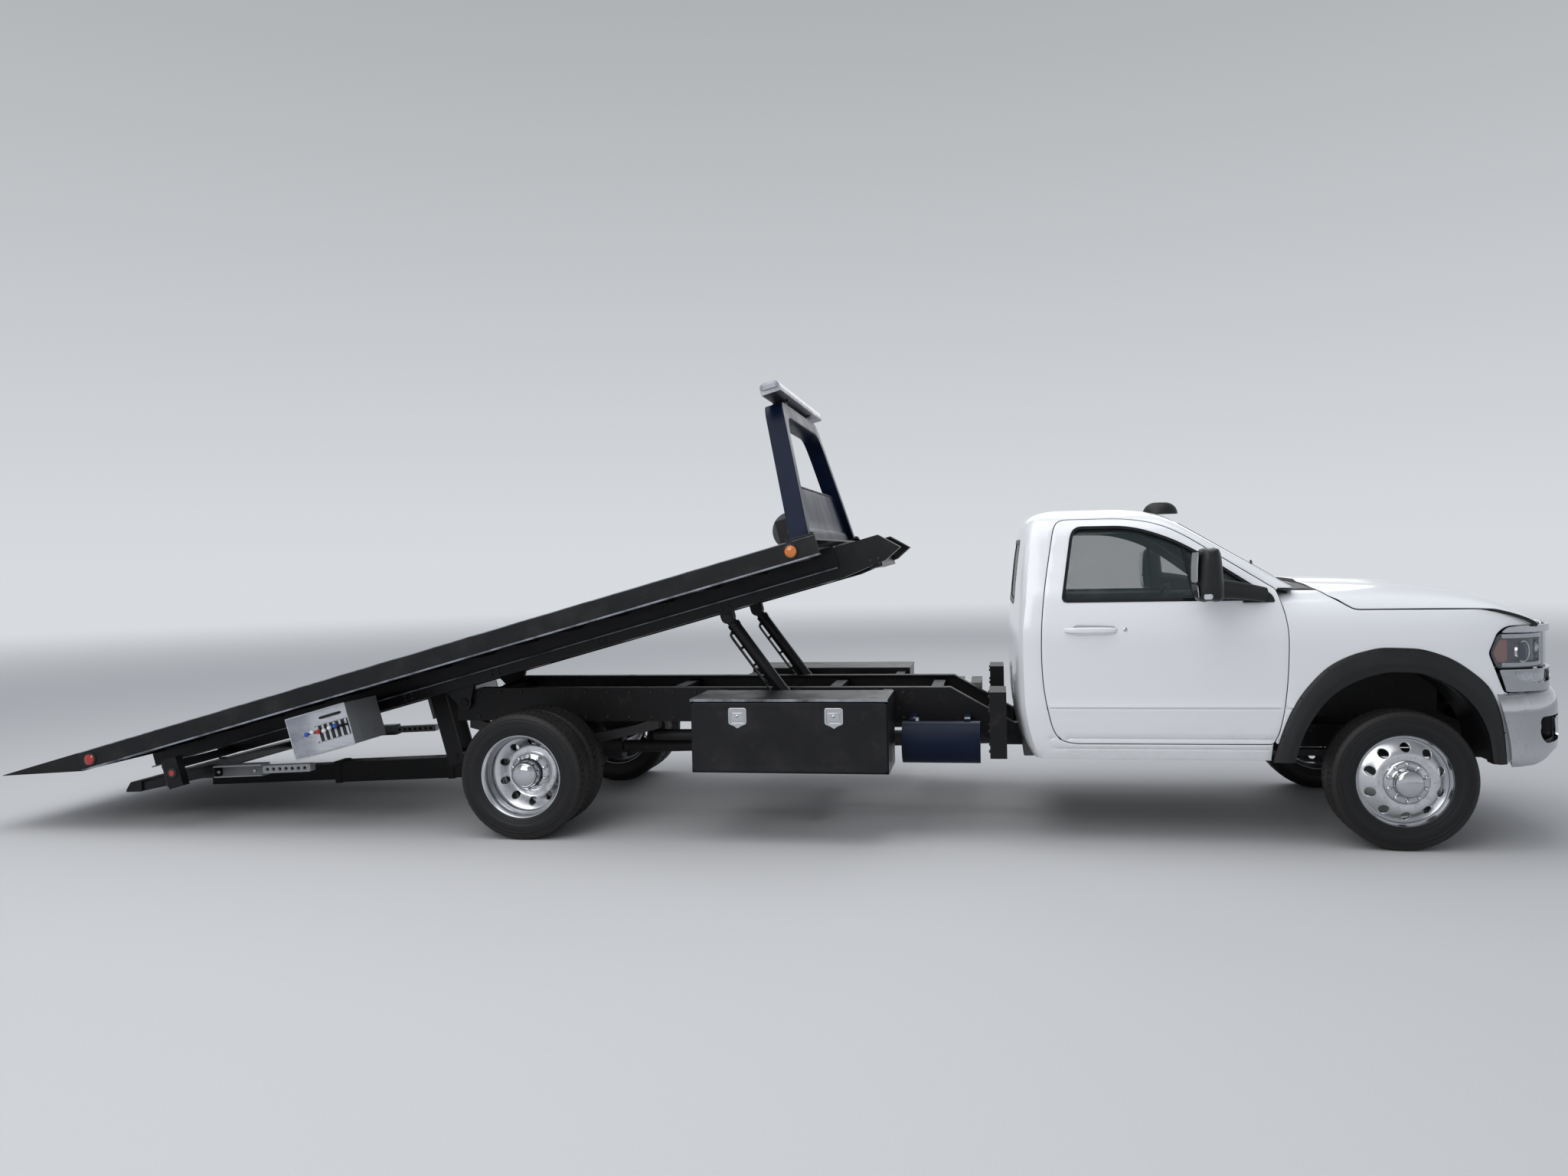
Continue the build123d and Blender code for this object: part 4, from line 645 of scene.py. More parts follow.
def wheel_radius(f):
    """Distance from the nearer axle's line."""
    x = f.axis("X")
    dx = x - (x.math("GREATER_THAN", (AXLE_X + REAR_X) / 2) * (AXLE_X - REAR_X) + REAR_X)
    dz = f.axis("Z") - WHEEL_Z
    return (dx * dx + dz * dz).math("SQRT")


def polished_alloy(name):
    """Turned and polished alloy: fine rings about the wheel's axis, and brake dust near the middle."""
    f = Finish(name)
    radius = wheel_radius(f)
    rings = (radius * 5200).math("SINE")
    dust = f.noise(26, 4).band(0.45, 0.8) * (1 - radius.band(0.11, 0.24)) * 0.5
    return f.set(Base_Color=f.mix(dust, (0.66, 0.67, 0.69), (0.26, 0.24, 0.22)), Metallic=1.0,
                 Roughness=0.24 + dust * 0.4 + 0.04 * rings, Normal=f.bump(rings, 0.00002, 0.25))


def tyre_rubber(name):
    """Black rubber: brown dust on the shoulder, and a fine grain."""
    f = Finish(name)
    dust = wheel_radius(f).band(0.35, 0.395) * (0.1 + 0.35 * f.noise(30, 5, 0.6))
    return f.set(Base_Color=f.mix(dust, (0.006, 0.006, 0.007), (0.05, 0.045, 0.038)),
                 Roughness=0.46 + 0.3 * dust, Specular_IOR_Level=0.35,
                 Normal=f.bump(f.noise(700, 2), 0.0003, 0.25))


def cab_cloth(name):
    """Dark woven seat cloth: two crossed fine waves."""
    f = Finish(name)
    weave = (f.axis("Y") * 2600).math("SINE") * (f.axis("X") * 2600 + f.axis("Z") * 2600).math("SINE")
    return f.set(Base_Color=f.mix(f.noise(60, 4), (0.035, 0.036, 0.04), (0.07, 0.072, 0.078)), Roughness=0.9,
                 Normal=f.bump(weave, 0.0004, 0.4))


def wire_rope(name):
    """Galvanised winch rope: a slanting lay across each turn."""
    f = Finish(name)
    lay = (f.axis("X") * 900 + f.axis("Y") * 700 + f.axis("Z") * 900).math("SINE")
    return f.set(Base_Color=f.mix(lay * 0.5 + 0.5, (0.1, 0.1, 0.11), (0.3, 0.3, 0.31)), Metallic=0.85,
                 Roughness=0.38, Normal=f.bump(lay, 0.0015, 0.6))


def deck_steel(name):
    """Black deck plate, scuffed grey along the wheel tracks, with dust in broad patches."""
    f = Finish(name)
    y = f.axis("Y").math("ABSOLUTE")
    track = y.band(0.45, 0.7) * (1 - y.band(0.85, 1.05))
    scuff = f.noise(38, 6, 0.7, (0.15, 1.0, 0.15)).band(0.42, 0.72) * (0.25 + 0.75 * track)
    dust = f.noise(5, 5, 0.6).band(0.35, 0.8) * 0.3
    shade = f.mix(dust, f.mix(scuff, (0.008, 0.008, 0.01), (0.07, 0.07, 0.075)), (0.09, 0.083, 0.073))
    return f.set(Base_Color=shade, Roughness=0.38 + scuff * 0.2 + dust * 0.4,
                 Normal=f.bump(scuff + f.noise(300, 2) * 0.3, 0.0006, 0.3))


SPECIAL = {maker.__name__: maker for maker in (body_paint, black_paint, polished_alloy,
                                               tyre_rubber, cab_cloth, wire_rope, deck_steel)}


# The cab as one smooth skin

# height, half width, front at the middle, depth of the front's curve, back at the middle
CAB_LEVELS = np.array([
    (0.5, 0.955, -0.45, 0.12, -2.071), (0.6, 0.985, -0.45, 0.12, -2.118), (0.85, 1.004, -0.45, 0.12, -2.163),
    (1.22, 1.004, -0.45, 0.12, -2.17), (1.44, 0.967, -0.45, 0.12, -2.148),
    (1.552, 0.912, -0.6, 0.085, -2.138), (1.7, 0.838, -0.826, 0.1, -2.122),
    (1.885, 0.742, -1.108, 0.125, -2.086), (1.94, 0.668, -1.195, 0.14, -2.052),
    (1.975, 0.52, -1.32, 0.15, -1.985), (1.993, 0.3, -1.45, 0.12, -1.88), (2.0, 0.004, -1.64, 0.004, -1.66)])
BACK_DEPTH = 0.105
SECTION_RUN = np.concatenate([[0], np.cumsum(np.hypot(np.diff(CAB_LEVELS[:, 0]), np.diff(CAB_LEVELS[:, 1])))])
CAB_TABLE = np.column_stack([SECTION_RUN, CAB_LEVELS])
ROOF_END = SECTION_RUN[-1]


def end_curve(power, half, depth, count=1500):
    """The plan curve of the cab's front or back: a superellipse from the middle (0) to the side, as arrays of
    distance run, share of the half width and share of the depth."""
    turn = np.linspace(0, pi / 2, count)
    across, back = np.sin(turn)**(2 / power), 1 - np.cos(turn)**(2 / power)
    run = np.concatenate([[0], np.cumsum(np.hypot(np.diff(across) * half, np.diff(back) * depth))])
    even = np.linspace(0, run[-1], count)
    return even, np.interp(even, run, across), np.interp(even, run, back)


FRONT_CURVE = end_curve(2.5, 0.9, 0.11)
BACK_CURVE = end_curve(3.2, 0.95, 0.105)
BACK_RUN, FRONT_RUN, SIDE_RUN = BACK_CURVE[0][-1], FRONT_CURVE[0][-1], 1.3
CAB_RUN = BACK_RUN + SIDE_RUN + FRONT_RUN
# The crest along the doors: its height above the ground, how far it stands out and how wide it is. Then
# three grooves under it: height, depth and width of each.
CREST, CREST_HIGH, CREST_WIDE = 0.816, 0.0065, 0.02
GROOVES_LOW = ((0.806, 0.008, 0.004), (0.628, 0.008, 0.0045), (0.566, 0.008, 0.0045))


def pressed(z):
    """How far the side stands out at a height: a crest that falls off as an exponential on both sides, less
    a bell curve at each groove."""
    out = CREST_HIGH * np.exp(-np.abs(z - CREST) / CREST_WIDE)
    for height, deep, wide in GROOVES_LOW:
        out = out - deep * np.exp(-((z - height) / wide)**2)
    return out


def pressed_rows(low, high):
    """Lines of points along the crest and grooves."""
    heights = [CREST + d for d in (-0.045, -0.025, 0, 0.007, 0.02, 0.045)]
    heights += [height + d for height, _, _ in GROOVES_LOW for d in (-0.009, -0.004, 0, 0.004, 0.009)]
    return rows_at(np.arange(low, high, 0.03), run_at(heights))


def cab_section(run):
    """Height, half width, front, front depth and back at a distance up the cab's section."""
    return np.moveaxis(smooth_table(CAB_TABLE, run), -1, 0)


def cab_skin(side):
    """The cab's outer skin on one side: a is the distance round it from the middle of the back, over the
    side, to the middle of the front; s is the distance up its section. The sides carry the pressed crest
    and grooves."""

    def surface(a, s):
        z, half, front, depth, back = cab_section(s)
        shrink = np.clip(half / 0.7, 0, 1)
        back_depth = BACK_DEPTH * shrink
        side_start, side_end = back + back_depth, front - depth
        along = np.clip((a - BACK_RUN) / SIDE_RUN, 0, 1)
        x = side_start + (side_end - side_start) * along
        y = half.copy()
        ahead = a - BACK_RUN - SIDE_RUN
        q = FRONT_RUN - np.clip(ahead, 0, FRONT_RUN)
        share, deep = np.interp(q, *FRONT_CURVE[:2]), np.interp(q, FRONT_CURVE[0], FRONT_CURVE[2])
        x = np.where(ahead > 0, front - depth * deep, x)
        y = np.where(ahead > 0, half * share, y)
        q = np.clip(a, 0, BACK_RUN)
        share, deep = np.interp(q, *BACK_CURVE[:2]), np.interp(q, BACK_CURVE[0], BACK_CURVE[2])
        x = np.where(a < BACK_RUN, back + back_depth * deep, x)
        y = np.where(a < BACK_RUN, half * share, y)
        y = y + pressed(z) * ease(a, BACK_RUN + 0.02, BACK_RUN + 0.12)
        return nose(x, side * y, z)

    return surface


HEIGHTS = np.linspace(0, ROOF_END, 800)
HEIGHT_OF = smooth_table(CAB_TABLE, HEIGHTS)


def run_at(z):
    """Distance up the section at a height."""
    return np.interp(z, HEIGHT_OF[:, 0], HEIGHTS)


def from_side(line):
    """(x, z) points seen from the side, as (a, s) on the cab's skin."""
    line = np.asarray(line, float)
    s = run_at(line[:, 1])
    z, half, front, depth, back = cab_section(s)
    start, end = back + BACK_DEPTH * np.clip(half / 0.7, 0, 1), front - depth
    return join(BACK_RUN + SIDE_RUN * (line[:, 0] - start) / (end - start), s)


def from_end(line, curve):
    """(y, z) points seen from the end that a plan curve belongs to, as (a, s) on the cab's skin."""
    line = np.asarray(line, float)
    s = run_at(line[:, 1])
    a = np.interp(line[:, 0] / cab_section(s)[1], curve[1], curve[0])
    return join(CAB_RUN - a if curve is FRONT_CURVE else a, s)


# corners of the door and its window, seen from the side, with the radius of each
DOOR_FRONT = [(-0.67, 1.492), (-0.624, 1.343), (-0.609, 1.214), (-0.616, 1.003), (-0.635, 0.815),
              (-0.664, 0.662), (-0.697, 0.6)]
DOOR_REST = [(-1.846, 0.597), (-1.925, 0.65), (-1.991, 0.954), (-1.988, 1.388), (-1.899, 1.884),
             (-1.862, 1.925), (-1.44, 1.925), (-1.215, 1.862)]
DOOR_RADII = [0.012, 0.1, 0.1, 0.1, 0.1, 0.1, 0.012, 0.08, 0.1, 0.2, 0.25, 0.05, 0.05, 0.15, 0.15]
WINDOW = [(-1.868, 1.434), (-1.8, 1.838), (-1.767, 1.878), (-1.455, 1.876), (-1.25, 1.81), (-1.086, 1.722),
          (-0.745, 1.482), (-0.712, 1.434)]
WINDOW_RADII = [0.03, 0.04, 0.04, 0.1, 0.1, 0.1, 0.02, 0.015]
DOOR_GAP = 0.0045
# length of a wiper's blade as a share of its arm
BLADE_LONG = 0.81
SCREEN_LOW, SCREEN_TOP = 1.556, 1.884
SCREEN = [(0, SCREEN_LOW), (0.77, SCREEN_LOW), (0.628, SCREEN_TOP), (0, SCREEN_TOP)]
REAR_PANE = [(0, 1.42), (0.62, 1.42), (0.545, 1.8), (0, 1.8)]
ROCKER_Z = 0.5
COWL_Z = 1.5


def half_open(corners, radius):
    """A rounded line from the middle plane out and back to it."""
    return rounded(corners, [0, radius, radius, 0], closed=False)


class TOWTRUCK_OT_cab(bpy.types.Operator):
    """Cab skin with its pillars, roof, windscreen, rear window, floor and cowl"""
    bl_idname = "towtruck.cab"
    bl_label = "Cab"

    def execute(self, context):
        door = inset(rounded(DOOR_FRONT + DOOR_REST, DOOR_RADII), -DOOR_GAP)
        door = np.roll(door, -nearest(door, DOOR_FRONT[-1]), 0)
        frame_line = door[:nearest(door, (-0.66, 1.495)) + 1]
        run = lambda line, step: resample(line, step, closed=False)
        back_low = straight((0, 0), (BACK_RUN, 0), 30)
        sill = from_side(run([(-1.96, ROCKER_Z), (-0.7, ROCKER_Z)], 0.04))
        front_edge = from_side(run([(-0.702, ROCKER_Z + 0.01), tuple(frame_line[0])], 0.02))
        opening = from_side(run(frame_line, 0.018))
        level = run_at(COWL_Z)
        cowl = straight((opening[-1, 0] + 0.02, level), (CAB_RUN, level), 40)
        screen = from_end(run(half_open(SCREEN, 0.05), 0.02), FRONT_CURVE)
        roof_front = straight((CAB_RUN, run_at(SCREEN_TOP) + 0.02), (CAB_RUN, ROOF_END), 30)
        roof_back = straight((0, ROOF_END), (0, run_at(REAR_PANE[2][1]) + 0.02), 30)
        pane = from_end(run(half_open(REAR_PANE, 0.06), 0.02)[::-1], BACK_CURVE)
        back_middle = straight((0, run_at(REAR_PANE[0][1]) - 0.02), (0, 0.02), 24)
        across = straight((CAB_RUN - 0.04, ROOF_END), (0.04, ROOF_END), 60)
        outline = np.concatenate([back_low, sill, front_edge, opening, cowl, screen, roof_front,
                                  across, roof_back, pane, back_middle])
        rows = pressed_rows(BACK_RUN + 0.08, BACK_RUN + SIDE_RUN)
        shape = Shape()
        # The inner layer and the edge walls take the dark trim: inside, the cab's lining; at the door
        # openings' edges, painted shade in the shut lines.
        panel(shape, cab_skin(1), outline, wall=0.034, rows=rows, out=-1, inner_kind=1, seam=True)
        shape.mirrored().build("cab_body", "chassis", "body_paint", "cab_trim",
                               replaces=["cab_shell"], crease=38)

        floor = Shape()
        for low, high in (((-2.1, -0.86, 0.655), (-0.61, 0.86, 0.7)),
                          ((-0.615, -0.86, 0.66), (-0.585, 0.86, 1.47)),
                          ((-2.1, -0.85, 0.5), (-2.04, 0.85, 0.66))):
            block(floor, low, high, 0.004, nose)
        floor.build("cab_floor", "chassis", "cab_trim")
        self.cowl()
        self.glass()
        return {"FINISHED"}

    def cowl(self):
        """Black cowl panel between hood and windscreen: height falls off to the sides as the hood does, with
        slots across the middle; and two wipers parked on the screen."""
        shape = Shape()
        across, along = np.meshgrid(np.linspace(-0.79, 0.79, 91), np.linspace(0, 1, 13), indexing="ij")
        out = np.abs(across)
        x = -0.672 + along * 0.255 + 0.02 * out**2 * (1 - along) - 0.07 * (1 - along) * out**3
        z = 1.5 - 0.055 * out**2.4 + 0.014 * along + 0.01 * np.sin(pi * along)
        ribs = 0.004 * (np.sin(across * 260) > 0.2) * ((along > 0.3) & (along < 0.75)) * (out < 0.7)
        top = nose(x, across, z - ribs)
        low = nose(x, across, z - 0.02)
        ring = np.concatenate([top, low[:, ::-1]], 1)
        sheet_grid(shape, ring, close_columns=True, caps=True)
        shape.build("cowl_panel", "chassis", "moulded_black", crease=30)
        wipers = Shape()
        for start in (0.56, -0.1):
            foot = np.array([AXLE_X - 0.62, start, 1.515])
            tip = np.array([AXLE_X - 0.715, start - 0.4, 1.612])
            mid = (foot + tip) / 2 + [0.012, 0, 0.02]
            t = np.linspace(0, 1, 14)[:, None]
            path = bend(t, foot, mid, tip)
            sweep(wipers, path, strip(0.008, 0, 0.006, 0.008), scale=np.linspace(1.3, 0.6, 14))
            blade = tip + np.linspace(-0.5, 0.45, 18)[:, None] * (tip - foot) * BLADE_LONG
            sweep(wipers, blade + [0.008, 0, 0.004], strip(0.004, -0.01, 0.007, 0.006))
            lathe(wipers, [(0, -0.01), (0.016, -0.01), (0.018, 0.008), (0.012, 0.016), (0, 0.017)],
                  foot, 1, 16, axis=(0, 0, 1))
        wipers.build("wipers", "chassis", "moulded_black")

    def glass(self):
        """Windscreen and rear window: the skin sunk a little inside each opening, with a dark border."""
        skin = cab_skin(1)

        def normal(a, s):
            out = normal_of(skin, a, s, -1)
            out[np.abs(skin(a, s)[..., 1]) < 1e-6, 1] = 0
            return out

        for name, corners, radius, curve, sunk in (("windscreen", SCREEN, 0.05, FRONT_CURVE, 0.008),
                                                   ("rear_window", REAR_PANE, 0.06, BACK_CURVE, 0.01)):
            ahead = curve is FRONT_CURVE
            edge = half_open(corners, radius)
            centre = np.array([0, (corners[0][1] + corners[2][1]) / 2])
            line = from_end(resample(centre + (edge - centre) * 1.012, 0.02, closed=False), curve)
            span = np.linspace(line[-1, 1], line[0, 1], 16)[1:-1]
            outline = np.concatenate([line, join(CAB_RUN if ahead else 0, span)])
            pane = Shape()
            panel(pane, lambda a, s: skin(a, s) - sunk * normal(a, s), outline, wall=0.005, roll=0.2,
                  out=-1, seam=True)
            pane.mirrored().build(name, "chassis", "tinted_glass",
                                  replaces=["cab_glass"] if ahead else ())
            seal = Shape()
            band = from_end(resample(edge, 0.015, closed=False), curve)
            path = skin(band[:, 0], band[:, 1])
            path = np.concatenate([path, (path * [1, -1, 1])[::-1][1:-1]])
            sweep(seal, path, strip(0.014, -0.007, 0.012, 0.001), up=(0.4, 0, 1) if ahead else (-1, 0, 0.1),
                  closed=True)
            seal.build(f"{name}_seal", "chassis", "moulded_black")


HANDLE_X, HANDLE_Z = (-1.858, -1.56), 1.268
HANDLE_CUP = rounded([(-1.812, 1.238), (-1.56, 1.245), (-1.56, 1.291), (-1.812, 1.298)], 0.028)


class TOWTRUCK_OT_doors(bpy.types.Operator):
    """Door skins with their window, seals, handles and inner trim"""
    bl_idname = "towtruck.doors"
    bl_label = "Doors"

    def execute(self, context):
        outline = from_side(resample(rounded(DOOR_FRONT + DOOR_REST, DOOR_RADII), 0.018))
        window = rounded(WINDOW, WINDOW_RADII)
        hole = from_side(resample(window, 0.016))
        rows = pressed_rows(outline[:, 0].min() + 0.01, outline[:, 0].max())
        for side, name in SIDES:
            body = f"door_{name}"
            skin = cab_skin(side)
            shape = Shape()

            def thick(a, s):
                return 0.092 - 0.034 * ease(cab_section(s)[0], 1.3, 1.8)

            # The door's inner layer and edge walls take dark trim: inside, the door's lining; on its edges,
            # painted shade in the shut lines.
            panel(shape, skin, outline, [hole, from_side(resample(HANDLE_CUP, 0.012))], pitch=0.036,
                  wall=thick, rows=rows, out=-side, inner_kind=1)
            shape.build(f"door_skin_{name}", body, "body_paint", "cab_trim",
                        replaces=[body], crease=38)
            self.trim(side, name, body, skin, window)
        return {"FINISHED"}

    def trim(self, side, name, body, skin, window):
        def on_door(line, sunk=0.0):
            """Points seen from the side, carried to the door's skin and sunk below it."""
            flat = from_side(line)
            return skin(flat[:, 0], flat[:, 1]) - [0, side * sunk, 0]

        seal = Shape()
        edge = on_door(resample(inset(window, 0.004), 0.016))
        sweep(seal, edge, strip(0.01, -0.01, 0.009, 0.002), up=(0, side, 0.5),
              closed=True)
        divider = on_door(resample([(-1.158, 1.762), (-1.11, 1.44)], 0.02, closed=False), 0.013)
        sweep(seal, divider, strip(0.012, -0.006, 0.01, 0.004), up=(0, side, 0.5))
        seal.build(f"window_seal_{name}", body, "gloss_black")

        glass = Shape()
        panel(glass, lambda a, s: skin(a, s) - [0, side * 0.018, 0.008],
              from_side(resample(inset(window, -0.006), 0.03)), pitch=0.06, wall=0.005, roll=0.2, out=-side)
        glass.build(f"side_window_{name}", body, "tinted_glass", replaces=[f"door_glass_{name}"])

        # Handle: a bowed bar over a shallow cup
        x0, x1 = HANDLE_X
        t = np.linspace(0, 1, 25)
        base = on_door(join(x0 + (x1 - x0) * t, HANDLE_Z))
        bow = np.sin(pi * t)**0.35 * 0.03
        path = base + join(0, side * (bow - 0.004), 0)
        handle = Shape()
        width = 0.75 + 0.35 * np.sin(pi * t)**0.5
        sweep(handle, path, rounded([(-0.007, -0.017), (0.007, -0.014), (0.007, 0.014), (-0.007, 0.017)],
                                    0.006, 4),
              scale=width)
        handle.build(f"door_handle_{name}", body, "body_paint", crease=50)
        cup = Shape()
        # the cup's depth falls off as the root of one less the square of the share of the way out
        ring = resample(HANDLE_CUP, 0.012)
        inwards = [1.0, 0.97, 0.92, 0.8, 0.6, 0.35]
        share = np.array([1.0, 1.04, *inwards, 0.0, *inwards[::-1]])[:, None, None]
        middle_point = ring.mean(0)
        lines = middle_point + (ring - middle_point) * share
        deep = 0.028 * np.sqrt(np.maximum(1 - share**2, 0))
        deep[9:] += 0.003
        deep[0] += 0.003
        bowl = on_door(lines.reshape(-1, 2)).reshape(*lines.shape[:2], 3) - deep * [0, side, 0]
        sheet_grid(cup, bowl, close_columns=True)
        cup.build(f"handle_cup_{name}", body, "body_paint")
        lock = Shape()
        spot = on_door(np.array([(-1.512, HANDLE_Z + 0.002)]))[0]
        lathe(lock, [(0, 0.004), (0.009, 0.004), (0.012, 0.002), (0.013, -0.003)], spot, side, 20)
        lock.build(f"door_lock_{name}", body, "chrome")


# Hood: knots from cowl to nose, with x and z on the middle line and x and z along the side edge
HOOD_LINES = np.array([
    (0.0, -0.425, 1.53, -0.425, 1.376), (0.22, -0.2, 1.524, -0.2, 1.376), (0.42, 0.0, 1.513, 0.0, 1.376),
    (0.62, 0.2, 1.496, 0.185, 1.376), (0.82, 0.4, 1.47, 0.35, 1.376), (0.98, 0.56, 1.434, 0.465, 1.372),
    (1.07, 0.65, 1.402, 0.535, 1.356), (1.2, 0.765, 1.346, 0.622, 1.326), (1.28, 0.836, 1.306, 0.676, 1.3),
    (1.33, 0.866, 1.278, 0.703, 1.28)])
# knots across: distance from the middle, share of the way down to the side edge
HOOD_ACROSS = np.array([(0.0, 0.0, 0.0), (0.3, 0.3, 0.02), (0.56, 0.555, 0.09), (0.74, 0.73, 0.206),
                        (0.86, 0.835, 0.357), (0.93, 0.888, 0.509), (0.98, 0.915, 0.63), (1.01, 0.93, 0.75),
                        (1.05, 0.946, 0.89), (1.08, 0.957, 1.0)])
HOOD_CORNER = [(0.02, 0.82), (0.05, 0.91), (0.09, 0.97), (0.135, 1.03), (0.175, 1.08)]


def hood_skin(p, q):
    """Hood: p runs from cowl to nose, q across from the middle. Each point lies between the middle line and
    the side edge: sunk by the share for its q, and set back by the square of its share of the width. A low
    dome runs along the middle, and a crease at each side of it."""
    lines = smooth_table(HOOD_LINES, p)
    across = smooth_table(HOOD_ACROSS, np.abs(q))
    y, share = across[..., 0], across[..., 1]
    wide = 0.93 + 0.02 * ease(p, 0.5, 1.2)
    part = np.minimum(y / 0.926, 1)
    x = lines[..., 0] + (lines[..., 2] - lines[..., 0]) * part**2
    z = lines[..., 1] + (lines[..., 3] - lines[..., 1]) * share
    fade = 1 - ease(p, 0.9, 1.25)
    z = z + (0.012 * (1 - ease(np.abs(y), 0.3, 0.4)) - 0.004) * fade
    return nose(x, np.sign(q) * y * wide / 0.93, z)


class TOWTRUCK_OT_hood(bpy.types.Operator):
    """Hood skin, crowned from side to side and rolled down at the nose"""
    bl_idname = "towtruck.hood"
    bl_label = "Hood"

    def execute(self, context):
        half = [(0.0, 0.0), (0.0, 0.74), *HOOD_CORNER, (1.33, 1.08)]
        ends = half[1:] + [(p, -q) for p, q in reversed(half[1:])]
        outline = resample(rounded(ends, 0.03), 0.02)
        creases = (0.3, 0.325, 0.35, 0.375, 0.4)
        rows = rows_at(np.arange(0.04, 1.3, 0.04), [side * y for side in (-1, 1) for y in creases])
        # The underside and the edge walls are moulded black: underneath, a black pad; on the edges, painted
        # shade in the shut lines.
        panel(Shape(), hood_skin, outline, pitch=0.036, wall=0.022, rows=rows, inner_kind=1).build(
            "hood_skin", "hood", "body_paint", "moulded_black", replaces=["hood"], crease=40)
        return {"FINISHED"}


# Fender section: height and half width; its plan narrows ahead of the wheel
FENDER_SECTION = np.array([(0.5, 0.985), (0.7, 0.997), (0.9, 1.005), (1.18, 1.005), (1.28, 0.998),
                           (1.35, 0.978), (1.4, 0.948), (1.43, 0.916), (1.455, 0.876), (1.475, 0.828),
                           (1.487, 0.775)])
FENDER = [(-0.604, 0.5), (-0.604, 0.604), (-0.69, 0.604), (-0.66, 0.662), (-0.631, 0.815), (-0.612, 1.003),
          (-0.605, 1.214), (-0.62, 1.343), (-0.652, 1.484), (-0.412, 1.48), (-0.382, 1.452), (-0.341, 1.427),
          (-0.294, 1.394), (-0.25, 1.367), (0.447, 1.364), (0.535, 1.349), (0.622, 1.321), (0.676, 1.295),
          (0.7, 1.273), (0.535, 1.268), (0.484, 1.231), (0.438, 1.118), (0.47, 1.034), (0.52, 0.902),
          (0.548, 0.89), (0.56, 0.5)]
FENDER_RADII = [0, 0, 0.01, 0.08, 0.1, 0.1, 0.1, 0.06, 0.01, 0.01, 0.02, 0.02, 0.02, 0.03, 0.05, 0.05, 0.05,
                0.03, 0.004, 0.03, 0.02, 0.015, 0.02, 0.006, 0.006, 0]
# edges of a wheel flare, from the front axle and the ground
FLARE_OUTER = [(-0.704, 0.5), (-0.645, 0.69), (-0.579, 0.839), (-0.496, 0.956), (-0.385, 1.061),
               (-0.233, 1.13), (-0.1, 1.155), (0.05, 1.15), (0.2, 1.11), (0.34, 1.025), (0.454, 0.905),
               (0.51, 0.72), (0.531, 0.5)]
FLARE_INNER = [(-0.582, 0.5), (-0.542, 0.633), (-0.486, 0.745), (-0.398, 0.862), (-0.288, 0.944),
               (-0.179, 0.99), (-0.06, 1.014), (0.06, 1.01), (0.19, 0.962), (0.3, 0.885), (0.39, 0.77),
               (0.44, 0.64), (0.457, 0.5)]
FLARE_LIP = 0.022


def fender_skin(side):
    """Fender: half width from its section, less a parabola ahead of the wheel where the nose narrows."""

    def surface(x, z):
        half = smooth_table(FENDER_SECTION, z)[..., 0]
        half = half - 0.06 * (np.clip(x - 0.2, 0, None) / 0.5)**2
        half = half + pressed(z) * (1 - ease(x, -0.62, -0.5)) * (z < 1.2)
        return nose(x, side * half, z)

    return surface


def arch_line(count=90):
    """The flare's outer and inner edges, as smooth lines with as many points each."""
    knots = np.arange(len(FLARE_OUTER), dtype=float)[:, None]
    at = np.linspace(0, len(FLARE_OUTER) - 1, count)
    return (smooth_table(np.hstack([knots, FLARE_OUTER]), at),
            smooth_table(np.hstack([knots, FLARE_INNER]), at))


